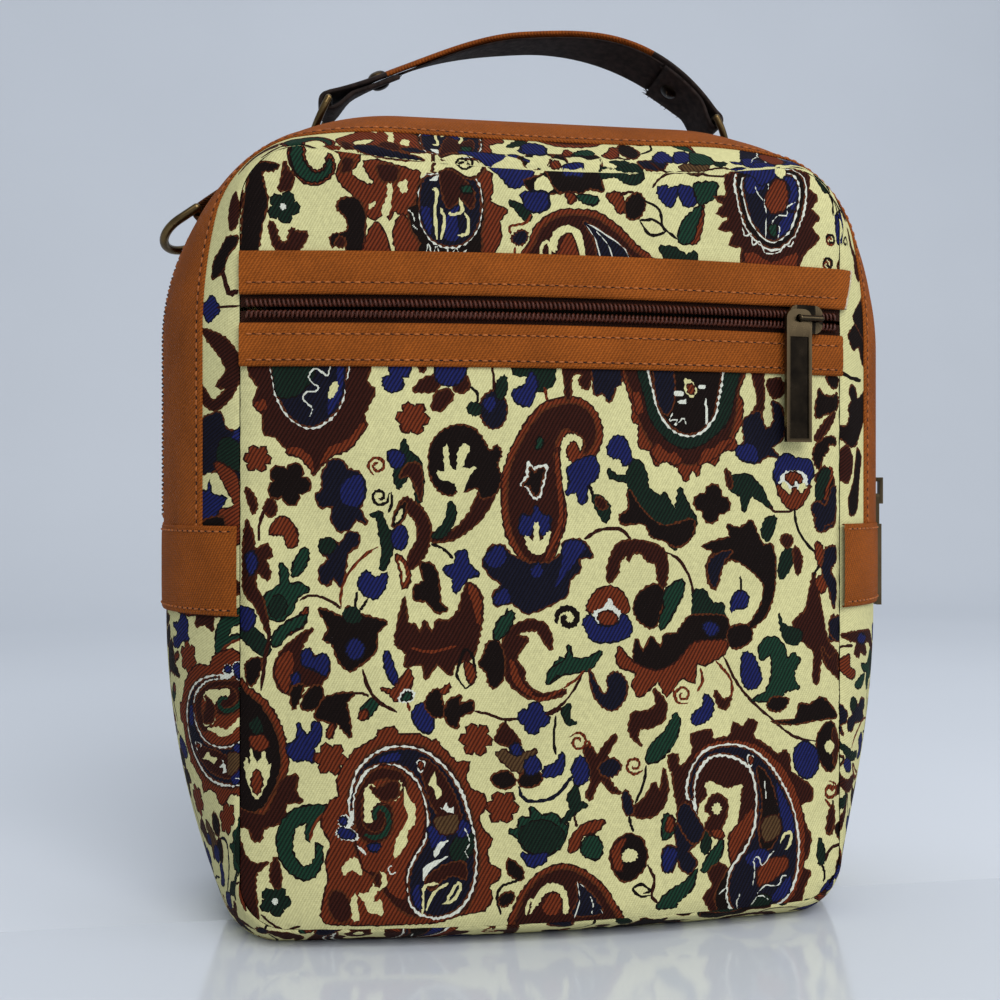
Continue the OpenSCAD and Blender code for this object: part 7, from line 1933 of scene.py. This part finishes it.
# Hardware keeps its solids, with softened edges
SOFT_EDGE, SOFT_ANGLE = 0.00025, math.radians(40)
HARD = {"front_slider": M_BRONZE, "front_pull": M_BRONZE, "main_slider": M_BRONZE, "main_pull": M_BRONZE,
        "d_ring_left": M_BRASS, "d_ring_right": M_BRASS, "handle_ring_left": M_BRASS,
        "handle_ring_right": M_BRASS, "pocket_lining": M_LINING}
for name, mat in HARD.items():
    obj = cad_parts[name]
    for holder in obj.material_slots:
        holder.material = mat
    if not obj.material_slots:
        obj.data.materials.append(mat)
    if name != "pocket_lining":
        bevel = obj.modifiers.new("soft_edges", "BEVEL")
        bevel.width = SOFT_EDGE
        bevel.segments = 2
        bevel.limit_method = "ANGLE"
        bevel.angle_limit = SOFT_ANGLE
        bevel.harden_normals = False

# Stage: a pale wall and a glossy pale floor in one sweep, in metres
STAGE_COLOUR = np.array([216.0, 221.0, 229.0])
STAGE_HALF, STAGE_BEND, WALL_TOP, FLOOR_FACES = 3.0, 0.8, 3.0, 3


def backdrop(name, rough, gloss):
    s = Shader(name)
    tone = s.remap(s.noise(3.0, 2.0), 0.3, 0.7, 0.0, 1.0)
    s.set("Base Color", s.mix(tone, linear(STAGE_COLOUR), linear(STAGE_COLOUR - 3)))
    s.set("Roughness", rough)
    s.set("IOR", gloss)
    return s.mat


def sweep():
    a = np.linspace(0, math.pi / 2, 14)[1:]
    depth = np.concatenate([[-2.5, -1.0, -0.3, -0.012], np.linspace(0.1, 1.0, 4),
                            1.0 + STAGE_BEND * np.sin(a), np.full(4, 1.0 + STAGE_BEND)])
    rise = np.concatenate([np.zeros(8), STAGE_BEND - STAGE_BEND * np.cos(a), np.linspace(1.0, WALL_TOP, 4)])
    points = np.array([[x, y, z] for y, z in zip(depth, rise) for x in (-STAGE_HALF, STAGE_HALF)]) / MM
    faces = [[2 * k, 2 * k + 1, 2 * k + 3, 2 * k + 2] for k in range(len(depth) - 1)]
    obj = add_mesh("backdrop", points, faces, backdrop("pale_wall", 0.9, 1.2))
    obj.data.materials.append(backdrop("pale_floor", 0.13, 1.9))
    for k, poly in enumerate(obj.data.polygons):
        poly.material_index = int(k < FLOOR_FACES)
    return obj


sweep()
world = bpy.data.worlds.new("soft_room")
world.use_nodes = True
sky = world.node_tree.nodes["Background"].inputs
sky["Color"].default_value = (0.9, 0.95, 1.0, 1.0)
sky["Strength"].default_value = 0.5
scene.world = world


def lamp(name, spot, aim, size, power):
    light = bpy.data.lights.new(name, "AREA")
    light.shape = "RECTANGLE"
    light.size, light.size_y = size
    light.energy = power
    obj = bpy.data.objects.new(name, light)
    obj.location = spot
    obj.rotation_euler = (Vector(aim) - Vector(spot)).to_track_quat("-Z", "Y").to_euler()
    scene.collection.objects.link(obj)


lamp("key", (0.25, -1.6, 1.3), (0, 0, 0.13), (1.2, 1.2), 28.0)
lamp("fill", (1.4, -1.0, 0.7), (0, 0, 0.13), (1.0, 1.0), 6.0)
lamp("top", (0.0, 0.3, 1.6), (0, 0, 0.1), (1.4, 1.0), 3.0)

# Camera fitted to the photograph
camera = bpy.data.cameras.new("camera")
camera.lens = 46.8
camera.sensor_width = 36.0
camera.sensor_fit = "HORIZONTAL"
camera.shift_x = -0.052
camera.shift_y = -0.004
camera.clip_start = 0.02
cam = bpy.data.objects.new("camera", camera)
cam.location = (-0.069, -0.444, 0.137)
cam.rotation_euler = (math.radians(90), 0.0, math.radians(-9.8))
scene.collection.objects.link(cam)
scene.camera = cam
scene.view_settings.view_transform = "Standard"
